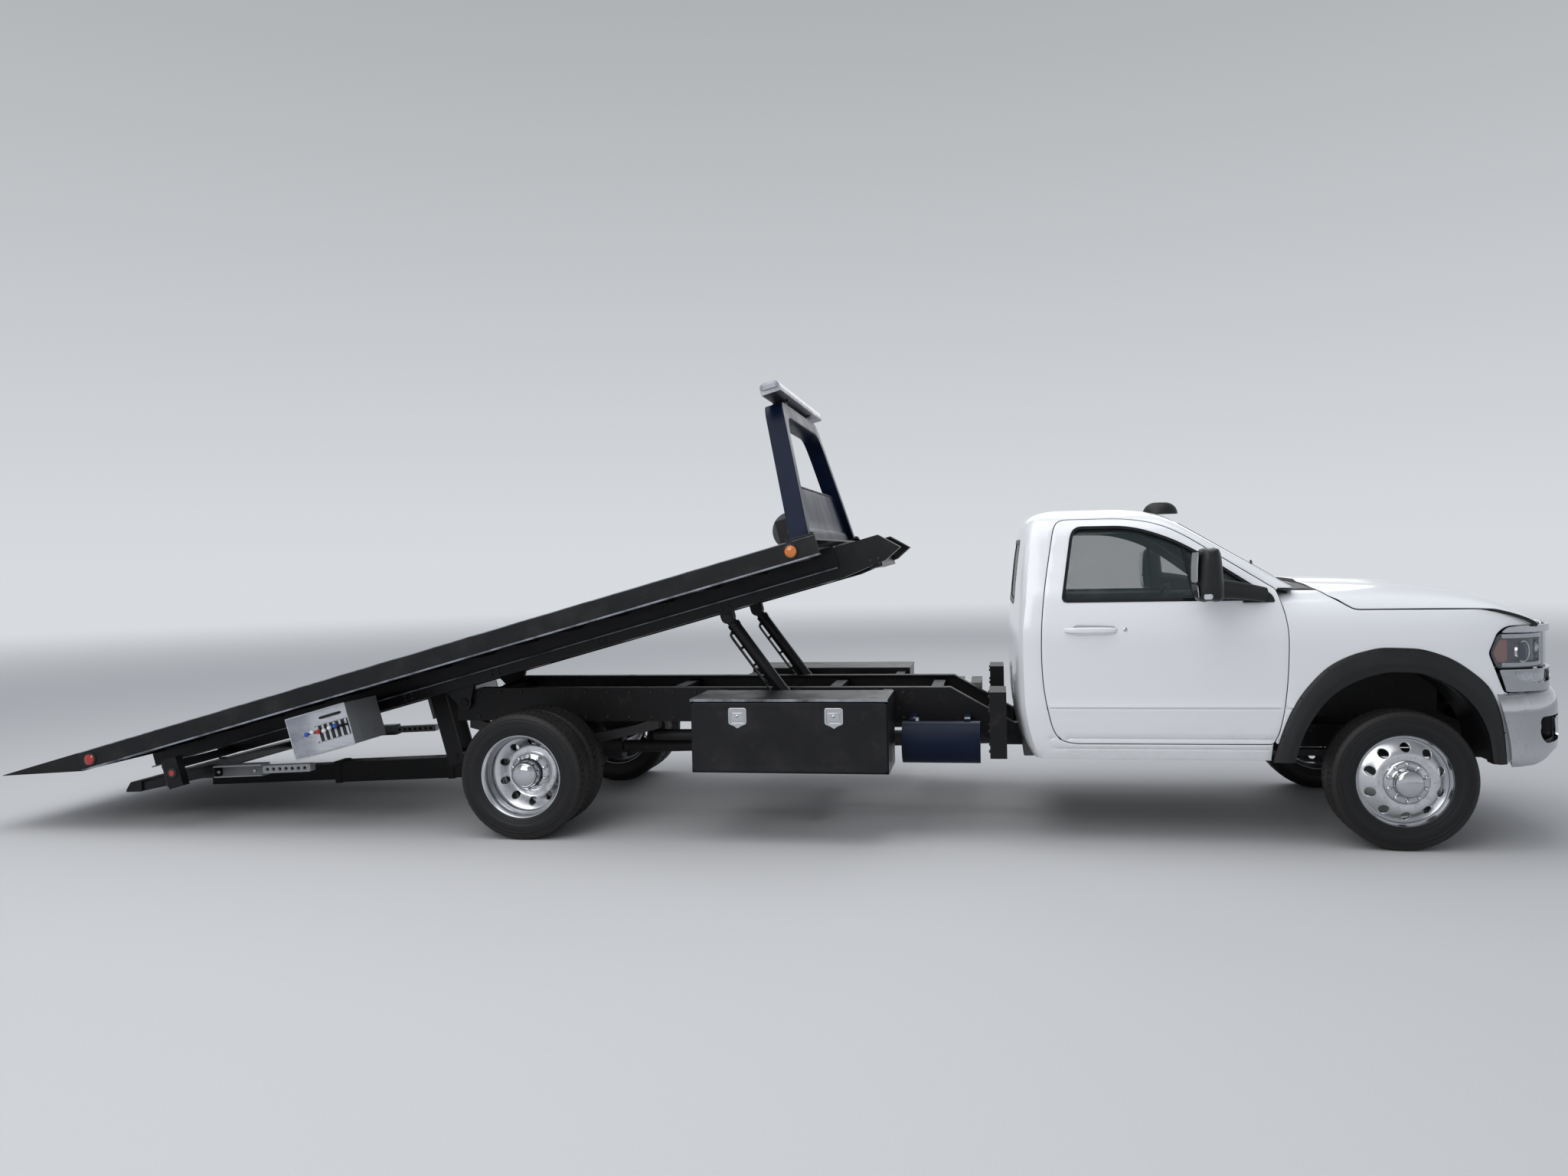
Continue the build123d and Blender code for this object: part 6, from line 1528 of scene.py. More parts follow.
class TOWTRUCK_OT_mirrors(bpy.types.Operator):
    """Towing mirrors: tall rounded heads with a lamp at the foot, thick arms and a sail at the window"""
    bl_idname = "towtruck.mirrors"
    bl_label = "Mirrors"

    def execute(self, context):
        for side, name in SIDES:
            body = f"door_{name}"
            head, parts, mirror_glass, lamp = Shape(), Shape(), Shape(), Shape()
            # Head: superellipse sections stacked up; both half sizes shrink near the top and the foot
            v = np.linspace(-1, 1, 41)[:, None]
            turn = around(48)[None]
            grow = (1 - np.abs(v)**5)**(1 / 3.2)
            c, s = np.cos(turn), np.sin(turn)
            across = np.sign(c) * np.abs(c)**0.55
            along = np.sign(s) * np.abs(s)**0.7
            depth = 0.062 - 0.012 * v
            reach = 0.35 + 0.65 * grow
            x = -1.084 + (1.02 * depth) * along * reach + 0.012 * np.maximum(along, 0) * (1 - across**2)
            y = 1.21 + 0.118 * across * (0.55 + 0.45 * grow) + 0.006 * v
            z = 1.586 + 0.152 * v * (0.93 + 0.07 * (1 - across**4))
            sheet_grid(head, nose(x, side * y, z), close_columns=True, caps=True)
            head.build(f"mirror_head_{name}", body, "moulded_black", replaces=[f"mirror_{name}"],
                       crease=50)
            # Arm: an oval section that narrows to the sail
            t = np.linspace(0, 1, 22)[:, None]
            path = bend(t, *np.array([(-1.045, 1.15, 1.5), (-0.93, 1.08, 1.502), (-0.735, 0.985, 1.462)]))
            path = nose(path[:, 0], side * path[:, 1], path[:, 2])
            sweep(parts, path, circle(1.0, 20) * [0.038, 0.06], scale=np.linspace(1.0, 0.7, 22))
            knuckle = [(0.0, -0.062), (0.03, -0.06), (0.042, -0.045), (0.042, 0.045),
                       (0.03, 0.06), (0, 0.062)]
            lathe(parts, knuckle, nose(-1.04, side * 1.13, 1.5), 1, 28, axis=(0, 0, 1))
            sail = rounded([(-0.862, 1.418), (-0.675, 1.418), (-0.688, 1.462), (-0.765, 1.516)],
                           [0.01, 0.012, 0.02, 0.02])
            skin = cab_skin(side)
            flat = from_side(resample(sail, 0.012))
            panel(parts, lambda a, b: skin(a, b) + [0, side * 0.006, 0], flat, pitch=0.03,
                  wall=0.018, out=-side)
            parts.build(f"mirror_arm_{name}", body, "moulded_black", crease=45)
            for low, high in ((1.545, 1.712), (1.462, 1.535)):
                corners = rounded([(1.112, low), (1.308, low), (1.308, high), (1.112, high)], 0.022)
                wall_at = lambda a, b: nose(-1.1535 + 0.012 * ((b - 1.59) / 0.15)**2, side * a, b)
                panel(mirror_glass, wall_at, resample(corners, 0.012), pitch=0.03, wall=0.006,
                      roll=0.5, out=side)
            mirror_glass.build(f"mirror_glass_{name}", body, "chrome")
            corners = rounded([(-1.125, 1.452), (-1.08, 1.452), (-1.074, 1.468), (-1.08, 1.482),
                               (-1.125, 1.48)], 0.01)

            def lamp_face(a, b):
                return nose(a, side * (1.326 - 0.05 * np.abs((a + 1.1) / 0.06)**3 - 0.1 * (1.49 - b)), b)

            panel(lamp, lamp_face, resample(corners, 0.006), pitch=0.012, wall=0.012, roll=0.6, out=-side)
            lamp.build(f"mirror_lamp_{name}", body, "white_lens")
        dome = Shape()
        u = np.linspace(0, 1, 16)[:, None]
        turn = around(40)[None]
        x = -1.222 + 0.106 * np.cos(turn) * np.sqrt(1 - u**2)**0.8
        y = -0.35 + 0.085 * np.sin(turn) * np.sqrt(1 - u**2)**0.8
        z = 1.955 + 0.078 * u
        sheet_grid(dome, nose(x[:-1], y[:-1], z[:-1]), close_columns=True, caps=True)
        dome.build("roof_dome", "chassis", "moulded_black", crease=60)
        return {"FINISHED"}


class TOWTRUCK_OT_toolboxes(bpy.types.Operator):
    """Drop-down toolbox doors with bright paddle latches, and the boxes' lids"""
    bl_idname = "towtruck.toolboxes"
    bl_label = "Toolboxes"

    LATCHES = (-3.798, -3.212)

    def execute(self, context):
        box_low, box_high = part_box("toolboxes")
        for side, name in SIDES:
            low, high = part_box(f"toolbox_door_{name}")
            body = f"toolbox_door_{name}"
            x0, x1, z0, z1 = low.x, high.x, low.z, high.z
            face_y = max(abs(low.y), abs(high.y))
            # The face is flat, with a shallow pressed channel a hand's width in from its edge
            ring = resample(oblong((x0, z0), (x1, z1), 0.01), 0.02)
            channel = 0.03

            def face(x, z):
                near = np.minimum(np.minimum(x - x0, x1 - x), np.minimum(z - z0, z1 - z))
                return join(x, side * (face_y - 0.0022 * np.exp(-((near - channel) / 0.004)**2)), z)

            rows = [resample(oblong((x0 + channel + d, z0 + channel + d),
                                    (x1 - channel - d, z1 - channel - d), 0.008), 0.02)
                    for d in (-0.006, 0.002)]
            shape = Shape()
            panel(shape, face, ring, pitch=0.06, wall=0.0195, roll=0.8, rows=rows, out=-side)
            shape.build(f"toolbox_door_skin_{name}", body, "black_paint", replaces=[body], crease=30)
            latch, dark = Shape(), Shape()
            for at in self.LATCHES:
                x, z = at + AXLE_X, 0.772
                plate = rounded([(x - 0.056, z + 0.06), (x - 0.056, z - 0.038), (x - 0.022, z - 0.05),
                                 (x, z - 0.066), (x + 0.022, z - 0.05), (x + 0.056, z - 0.038),
                                 (x + 0.056, z + 0.06)],
                                [0.012, 0.012, 0.006, 0.006, 0.006, 0.012, 0.012])
                cup = oblong((x - 0.044, z - 0.03), (x + 0.044, z + 0.05), 0.012)
                flat = lambda a, b, d=0.0028: join(a, np.full_like(a, side * (face_y + d)), b)
                panel(latch, flat, resample(plate, 0.008), [resample(cup, 0.008)], pitch=0.02, wall=0.0026,
                      roll=0.5, out=-side)
                rim_band(latch, flat, cup, lambda a, b: flat(a, b, 0.0), 0.008)
                panel(latch, lambda a, b: flat(a, b, 0.0006), resample(cup, 0.008), pitch=0.02, wall=0.001,
                      roll=0.1, out=-side)
                paddle = oblong((x - 0.036, z - 0.022), (x + 0.036, z + 0.03), 0.01)
                bowed = lambda a, b: join(a, side * (face_y + 0.0045 - 1.6 * (a - x)**2 + 0.03 * (b - z)), b)
                panel(latch, bowed, resample(paddle, 0.008), pitch=0.015, wall=0.003, roll=0.5, out=-side)
                lathe(latch, [(0.011, 0.001), (0.011, 0.007), (0.009, 0.0085), (0, 0.009)],
                      (x, side * face_y, z + 0.008), side, 24)
                # The keyhole is a small black disc: painted shade in the lock's keyway.
                lathe(dark, [(0.004, 0.0088), (0.004, 0.0094), (0, 0.0095)], (x, side * face_y, z + 0.008),
                      side, 10)
            latch.build(f"toolbox_latches_{name}", body, "chrome")
            dark.build(f"latch_keyholes_{name}", body, "gloss_black")
        trim = Shape()
        for side in (1, -1):
            out = max(abs(box_low.y), abs(box_high.y))
            block(trim, (box_low.x - 0.001, side * 0.728, box_high.z - 0.001),
                  (box_high.x + 0.001, side * (out - 0.0005), box_high.z + 0.0015), 0.0006)
            # The strip along the lid's outer edge is a painted highlight.
            block(trim, (box_low.x - 0.001, side * (out - 0.004), box_high.z - 0.014),
                  (box_high.x + 0.001, side * (out + 0.0015), box_high.z + 0.0015), 0.0012, kind=1)
        trim.build("toolbox_lids", "chassis", "black_paint", "worn_edge")
        return {"FINISHED"}


class TOWTRUCK_OT_controls(bpy.types.Operator):
    """Control stations: light inner box, slotted plate, six levers with coloured knobs, and a folded lip"""
    bl_idname = "towtruck.controls"
    bl_label = "Control stations"

    LOW_U, HIGH_U, LOW_W, HIGH_W = -0.898, -0.467, -0.06, 0.215
    KNOBS = ("knob_blue", "knob_white", "knob_red", "knob_white", "knob_white", "knob_blue")

    def execute(self, context):
        u0, u1, w0, w1 = self.LOW_U, self.HIGH_U, self.LOW_W, self.HIGH_W
        shell, inside_box, plate, slots = Shape(), Shape(), Shape(), Shape()
        levers = Shape()
        kinds = list(dict.fromkeys(self.KNOBS))
        for side in (1, -1):
            place = lambda u, y, w, side=side: bed(u, side * y, w)
            # Five walls of bent sheet, 4 mm thick, and a turned-out lip round the opening
            for kind, low, high in ((1, (u0, 0.75, w1 - 0.004), (u1, 1.15, w1)),
                                    (0, (u0, 1.026, w0), (u1, 1.15, w0 + 0.004)),
                                    (1, (u0, 0.75, w0), (u0 + 0.004, 1.15, w1)),
                                    (1, (u1 - 0.004, 0.75, w0), (u1, 1.15, w1)),
                                    (0, (u0, 1.022, w0), (u1, 1.026, w1)),
                                    (1, (u0, 0.75, w0), (u1, 0.754, w1))):
                block(shell, low, high, 0.0008, place, kind)
            ring = [(u0, w0), (u1, w0), (u1, w1), (u0, w1)]
            for k in range(4):
                (a, b), (c, d) = ring[k], ring[(k + 1) % 4]
                path = np.linspace((a, b), (c, d), 6)
                sweep(shell, place(path[:, 0], 1.15, path[:, 1]), circle(0.0045, 10), up=(0, 1, 0.1))
            # The lining's back and four walls, from the shell's faces in by its thickness
            a0, a1, c0, c1 = u0 + 0.004, u1 - 0.004, w0 + 0.004, w1 - 0.004
            b0, b1, d0, d1 = u0 + 0.0065, u1 - 0.0065, w0 + 0.0065, w1 - 0.0065
            for low_u, high_u, low_y, high_y, low_w, high_w in (
                    (a0, a1, 1.026, 1.029, c0, c1), (a0, b0, 1.029, 1.149, c0, c1),
                    (b1, a1, 1.029, 1.149, c0, c1), (b0, b1, 1.029, 1.149, d1, c1),
                    (b0, b1, 1.029, 1.149, c0, d0)):
                block(inside_box, (low_u, low_y, low_w), (high_u, high_y, high_w), 0.0006, place)
            # Slotted lever plate, and a dark grip over it
            block(plate, (u0 + 0.105, 1.03, 0.008), (u1 - 0.012, 1.037, 0.122), 0.002, place)
            grip = join(np.linspace(-0.73, -0.59, 14), np.full(14, 0.165))
            sweep(slots, place(grip[:, 0], 1.036 + 0.014 * np.sin(np.linspace(0, pi, 14))**0.5, grip[:, 1]),
                  circle(0.009, 10), up=(0, 1, 0.1))
            for k, colour in enumerate(self.KNOBS):
                u = u0 + 0.15 + 0.042 * k
                # Each slot is a thin black block on the plate: painted shade in place of an open slot.
                block(slots, (u - 0.0125, 1.0365, 0.012), (u + 0.0125, 1.0385, 0.118), 0.0008, place)
                lean = 0.006 * sin(1.7 * k)
                root, tip = place(u, 1.038, 0.075), place(u - 0.05, 1.118, 0.082 + lean)
                t = np.linspace(0, 1, 8)[:, None]
                sweep(levers, root + (tip - root) * t, circle(0.0065, 10), scale=np.linspace(1.1, 0.8, 8))
                ball = [(0.0155 * sin(a), -0.0155 * cos(a)) for a in np.linspace(0.05, pi, 12)]
                lathe(levers, ball, tip + np.array([0, side * 0.006, 0]), side, 20,
                      kind=1 + kinds.index(colour))
                lathe(levers, [(0.0075, -0.004), (0.0085, 0.006), (0.0055, 0.016), (0.004, 0.018)],
                      root, side, 14)
            for u in np.linspace(u0 + 0.12, u1 - 0.03, 5):
                for w in (0.014, 0.116):
                    lathe(levers, [(0.004, 0), (0.0035, 0.002), (0, 0.0028)], place(u, 1.037, w), side, 8)
        shell.build("station_shells", "tilt_frame", "stainless", "grey_paint",
                    replaces=["control_stations"])
        inside_box.build("station_linings", "tilt_frame", "stainless")
        plate.build("lever_plates", "tilt_frame", "stainless")
        slots.build("lever_slots", "tilt_frame", "gloss_black")
        levers.build("lever_banks", "tilt_frame", "gloss_black", *kinds,
                     replaces=["control_levers"], crease=50)
        return {"FINISHED"}


class TOWTRUCK_OT_pylon(bpy.types.Operator):
    """Pylon arch, headboard and light bar over the bed's front end"""
    bl_idname = "towtruck.pylon"
    bl_label = "Pylon and light bar"

    OUTER = [(1.212, 0.388), (1.208, 0.41), (0.785, 1.228), (0.705, 1.288)]
    INNER = [(1.11, 0.388), (1.1, 0.41), (0.735, 1.09), (0.62, 1.19)]
    BACK_U, FRONT_U = 2.637, 2.753

    def execute(self, context):
        mirror = lambda line: line + [(-y, w) for y, w in reversed(line)]
        outer = rounded(mirror(self.OUTER), [0, 0.02, 0.05, 0.05] + [0.05, 0.05, 0.02, 0])
        inner = rounded(mirror(self.INNER), [0, 0.02, 0.1, 0.1] + [0.1, 0.1, 0.02, 0])
        outline = resample(np.concatenate([outer, inner[::-1]]), 0.03)
        shape = Shape()
        panel(shape, lambda y, w: bed(self.FRONT_U, y, w), outline, pitch=0.08,
              wall=self.FRONT_U - self.BACK_U, roll=1.8)
        # The arch is black paint with a painted blue reflection of the sky.
        shape.build("pylon_arch", "bed", "dark_blue", replaces=["pylon"], crease=32)
        gussets = Shape()
        for side in (1, -1):
            place = lambda u, y, w, side=side: bed(u, side * y, w)
            block(gussets, (self.BACK_U - 0.03, 1.095, 0.389), (self.FRONT_U + 0.03, 1.2195, 0.4),
                  0.002, place)
            for u in (self.BACK_U - 0.018, self.FRONT_U + 0.018):
                for y in (1.12, 1.2):
                    lathe(gussets, bolt_head(0.01, 0.007, 0.008, 0.009), bed(u, side * y, 0.4), 1, 6,
                          axis=BED_W)
        gussets.build("pylon_feet", "bed", "black_paint")
        board = rounded(mirror([(1.088, 0.366), (1.088, 0.405), (0.925, 0.7), (0.86, 0.746)]),
                        [0.004, 0.02, 0.03, 0.03, 0.03, 0.03, 0.02, 0.004])
        sheet = Shape()
        folds = rows_at(np.arange(-1.0, 1.01, 0.06), (0.44, 0.448, 0.456, 0.464))
        panel(sheet, lambda y, w: bed(2.7 + 0.014 * (1 - ease(w, 0.44, 0.464)), y, w),
              resample(board, 0.03), pitch=0.06, wall=0.004, roll=0.9, rows=folds)
        edge = resample(inset(board, 0.008), 0.05)
        sweep(sheet, bed(2.7, edge[:, 0], edge[:, 1]), circle(0.007, 8), up=BED_U, closed=True)
        # The headboard is black paint with a painted blue reflection of the sky.
        sheet.build("headboard_sheet", "bed", "dark_blue", replaces=["headboard"], crease=40)
        self.light_bar()
        return {"FINISHED"}

    def light_bar(self):
        """A low bar: bright tray, dark saddles, rows of reflectors and a ribbed cover with round ends."""
        tray, parts, cover = Shape(), Shape(), Shape()
        centre_u = 2.725
        y = np.linspace(-0.888, 0.888, 60)
        tray_section = rounded([(0.0, -0.064), (0.0, 0.064), (0.024, 0.068), (0.03, 0.06), (0.03, -0.06),
                                (0.024, -0.068)],
                               0.004, 4)
        place = bed(centre_u + tray_section[None, :, 1], y[:, None], 1.324 + tray_section[None, :, 0])
        sheet_grid(tray, place, close_columns=True, caps=True)
        for side in (-1, 1):
            block(parts, (2.67, side * 0.45 - 0.04, 1.287), (2.741, side * 0.45 + 0.04, 1.327), 0.004, bed)
            block(parts, (2.655, side * 0.45 - 0.03, 1.315), (2.765, side * 0.45 + 0.03, 1.33), 0.004, bed)
        for k in range(12):
            mid = -0.814 + 0.148 * k
            block(tray, (centre_u - 0.046, mid - 0.06, 1.352), (centre_u + 0.046, mid + 0.06, 1.36), 0.003,
                  bed)
            block(parts, (centre_u - 0.05, mid + 0.072, 1.35), (centre_u + 0.05, mid + 0.076, 1.386), 0.001,
                  bed)
        outer = rounded([(-0.065, 0.0), (-0.065, 0.026), (-0.05, 0.046), (0.05, 0.046), (0.065, 0.026),
                         (0.065, 0.0)],
                        [0, 0.012, 0.012, 0.012, 0.012, 0], 6, closed=False)
        ends = np.concatenate([np.linspace(-0.899, -0.884, 5), np.linspace(-0.86, 0.86, 60),
                               np.linspace(0.884, 0.899, 5)])
        shrink = np.sqrt(1 - 0.6 * ease(np.abs(ends), 0.88, 0.8995))[:, None]
        skin = bed(centre_u + outer[None, :, 0] * shrink, ends[:, None], 1.3505 + outer[None, :, 1] * shrink)
        sheet_grid(cover, skin, close_columns=True, caps=True)
        tray.build("light_bar_tray", "bed", "dull_alloy", replaces=["light_bar"])
        parts.build("light_bar_parts", "bed", "moulded_black")
        cover.build("light_bar_cover", "bed", "ribbed_lens", crease=40)


class TOWTRUCK_OT_bed_details(bpy.types.Operator):
    """Deck plate, rail beads, side lamps, winch rope and the tilting frame's bolts"""
    bl_idname = "towtruck.bed_details"
    bl_label = "Bed details"

    FRONT_U, TAIL_U = 2.786, -2.399

    def execute(self, context):
        lines = Shape()
        for side in (1, -1):
            # Beads along the side rail's lower lip, its top and the deep sill: bright strips that paint the
            # highlight along each edge
            u = np.linspace(self.TAIL_U + 0.004, self.FRONT_U - 0.002, 60)
            half_round = [(0.006, -0.001), (0.005, 0.003), (0.0, 0.0045), (-0.005, 0.003), (-0.006, -0.001)]
            sweep(lines, bed(u, side * 1.2175, 0.2675), half_round, up=(0, side, 0))
            sweep(lines, bed(u, side * 1.2105, 0.386), [(p[0] * 0.5, p[1] * 0.5) for p in half_round],
                  up=(0, side, 0))
            sweep(lines, bed(u, side * 0.5835, 0.1745), [(p[0] * 0.7, p[1] * 0.6) for p in half_round],
                  up=(0, side, 0))
        lines.build("rail_beads", "bed", "worn_edge")
        self.deck()
        self.lamps()
        self.frame_bolts()
        self.winch()
        return {"FINISHED"}

    def deck(self):
        """Deck plate with keyhole slots for chains: a thin sheet on the floor, its holes over dark plates
        that paint the shade in the slots.
        """
        plate, dark = Shape(), Shape()
        outline = resample(oblong((self.TAIL_U + 0.012, -1.15), (2.345, 1.15), 0.01), 0.06)
        holes = []
        for u in (-2.15, -1.55, 0.15, 1.45, 2.1):
            for y in (-0.94, -0.62, 0.62, 0.94):
                turn = around(16)
                ring = join(u + 0.034 * np.cos(turn), y + 0.034 * np.sin(turn))
                tail = [(u - 0.03, y + 0.011), (u - 0.11, y + 0.011), (u - 0.118, y), (u - 0.11, y - 0.011),
                        (u - 0.03, y - 0.011)]
                keep = ring[np.abs(np.arctan2(ring[:, 1] - y, ring[:, 0] - u)) < 2.7]
                order = np.argsort(np.arctan2(keep[:, 1] - y, keep[:, 0] - u))
                holes.append(resample(np.concatenate([keep[order], tail]), 0.012))
        panel(plate, lambda u, y: bed(u, y, 0.3596), outline, holes, pitch=0.15, wall=0.0013, roll=0.15)
        plate.build("deck_plate", "bed", "deck_steel")
        for hole in holes:
            panel(dark, lambda u, y: bed(u, y, 0.3588), inset(hole, -0.003), pitch=0.05,
                  wall=0.0006, roll=0.02)
        dark.build("chain_slots", "bed", "soot")

    def lamps(self):
        """Amber and red side lamps: a rubber ring and a domed lens each."""
        rings, amber, red = Shape(), Shape(), Shape()
        for side in (1, -1):
            for u, w, shape, radius in ((2.622, 0.33, amber, 0.036), (-2.32, 0.324, red, 0.036)):
                at = bed(u, side * 1.2125, w)
                ring = [(radius + 0.012, 0), (radius + 0.011, 0.006), (radius + 0.004, 0.009),
                        (radius - 0.001, 0.006), (radius - 0.001, 0)]
                lathe(rings, ring, at, side, 40, closed=True)
                lens_line = [(radius, 0.002), (radius * 0.98, 0.008), (radius * 0.7, 0.0125),
                             (radius * 0.68, 0.0115), (radius * 0.35, 0.0145), (0, 0.015)]
                lathe(shape, lens_line, at, side, 40)
            at = bed(-1.784, side * 1.171, 0.085)
            lathe(rings, [(0.036, 0), (0.035, 0.005), (0.029, 0.007), (0.029, 0)], at, side, 36, closed=True)
            lathe(red, [(0.03, 0.002), (0.029, 0.006), (0.018, 0.0095), (0, 0.0105)], at, side, 36)
            for w in (0.03, 0.085, 0.14):
                spot = bed(-1.8485, side * 1.1375, w)
                lathe(red, [(0.024, 0.0), (0.023, 0.006), (0.014, 0.009), (0, 0.01)], spot, -1,
                      28, axis=BED_U)
                lathe(rings, [(0.029, 0), (0.028, 0.005), (0.0235, 0.006), (0.0235, 0)], spot, -1, 28,
                      closed=True, axis=BED_U)
        rings.build("lamp_rings", "bed", "moulded_black")
        amber.build("amber_side_lamps", "bed", "amber_lens", replaces=["bed_lamps"])
        red.build("red_side_lamps", "bed", "red_lens")

    def frame_bolts(self):
        """Rows of bolt heads on the tilting frame's rails, and on its hinge lugs."""
        bolts = Shape()
        head = bolt_head(0.011, 0.007, 0.009, 0.009)
        for side in (1, -1):
            for u in (-1.82, -1.2, -0.361, 0.3, 1.1, 1.98, 2.6, 3.02):
                for d in (-0.026, 0.026):
                    for w in (0.128, 0.16):
                        lathe(bolts, head, bed(u + d, side * 0.52, w), side, 6)
            for u, w in ((0.0, 0.0), (1.98, 0.065)):
                lathe(bolts, [(0.034, 0), (0.034, 0.006), (0.022, 0.008), (0.02, 0.016), (0, 0.017)],
                      bed(u, side * (0.4405 if u < 1 else 0.5215), w), side, 24)
        bolts.build("frame_bolts", "tilt_frame", "cast_iron")

    def winch(self):
        """Rope on the winch drum: its outline is a row of half circles, one for each turn."""
        rope = Shape()
        turns, pitch = 26, 0.0138
        y = np.linspace(-turns * pitch / 2, turns * pitch / 2, turns * 8 + 1)
        r = 0.1 + 0.0069 * np.abs(np.sin((y / pitch) * pi))**0.6
        rows = np.concatenate([[(0.094, y[0])], join(r, y), [(0.094, y[-1])]])
        lathe(rope, rows, bed(2.5, 0, 0.51), 1, 64)
        rope.build("winch_rope", "winch_drum", "wire_rope", crease=60)


class TOWTRUCK_OT_cylinders(bpy.types.Operator):
    """Lift cylinders with end glands and steel pipes, and grease points at their pins"""
    bl_idname = "towtruck.cylinders"
    bl_label = "Lift cylinders"

    def execute(self, context):
        head = bed(1.98, 0, 0.065)
        foot = np.array([AXLE_X - 3.345, 0, 0.45])
        reach = np.linalg.norm(foot - head)
        down = (foot - head) / reach
        across = np.array([0, 1, 0])
        back = np.cross(down, across)
        parts, pipes = Shape(), Shape()
        for side in (1, -1):
            base = head + [0, side * 0.49, 0]
            at = lambda d, y=0.0, z=0.0: base + down * d + across * side * y + back * z
            for start, end, radius in ((0.052, 0.085, 0.0435), (0.6, 0.6395, 0.0425)):
                rows = [(0.04, 0), (radius, 0.002), (radius, end - start - 0.002), (0.04, end - start)]
                lathe(parts, rows, at(start), 1, 40, closed=True, axis=down)
            lathe(parts, [(0.0233, 0.0), (0.036, 0.0), (0.034, 0.006), (0.0233, 0.007)], at(0.6398), 1, 40,
                  closed=True, axis=down)
            for d in (0.1, 0.585):
                lathe(parts, [(0.013, 0.03), (0.013, 0.048), (0.01, 0.05), (0, 0.05)], at(d), 1,
                      12, axis=-back)
            for y, start, end in ((0.014, 0.1, 0.585), (-0.014, 0.1, 0.5)):
                points = np.array([at(start, y, -0.04), at(start, y, -0.06), at(start + 0.03, y, -0.064),
                                   at((start + end) / 2, y, -0.064), at(end - 0.03, y, -0.064),
                                   at(end, y, -0.06), at(end, y, -0.04)])
                line = rounded(points, 0.018, 5, closed=False)
                sweep(pipes, resample(line, 0.012, closed=False), circle(0.006, 10), up=(0, 1, 0))

            def clip_at(a, b, c):
                return base + a[:, None] * down + b[:, None] * across * side + c[:, None] * back

            for d in (0.22, 0.36, 0.5):
                block(parts, (d - 0.008, -0.026, -0.068), (d + 0.008, 0.026, -0.038), 0.002, clip_at)
        parts.build("cylinder_fittings", "lift_barrels", "black_paint")
        pipes.build("cylinder_pipes", "lift_barrels", "gloss_black", crease=60)
        return {"FINISHED"}


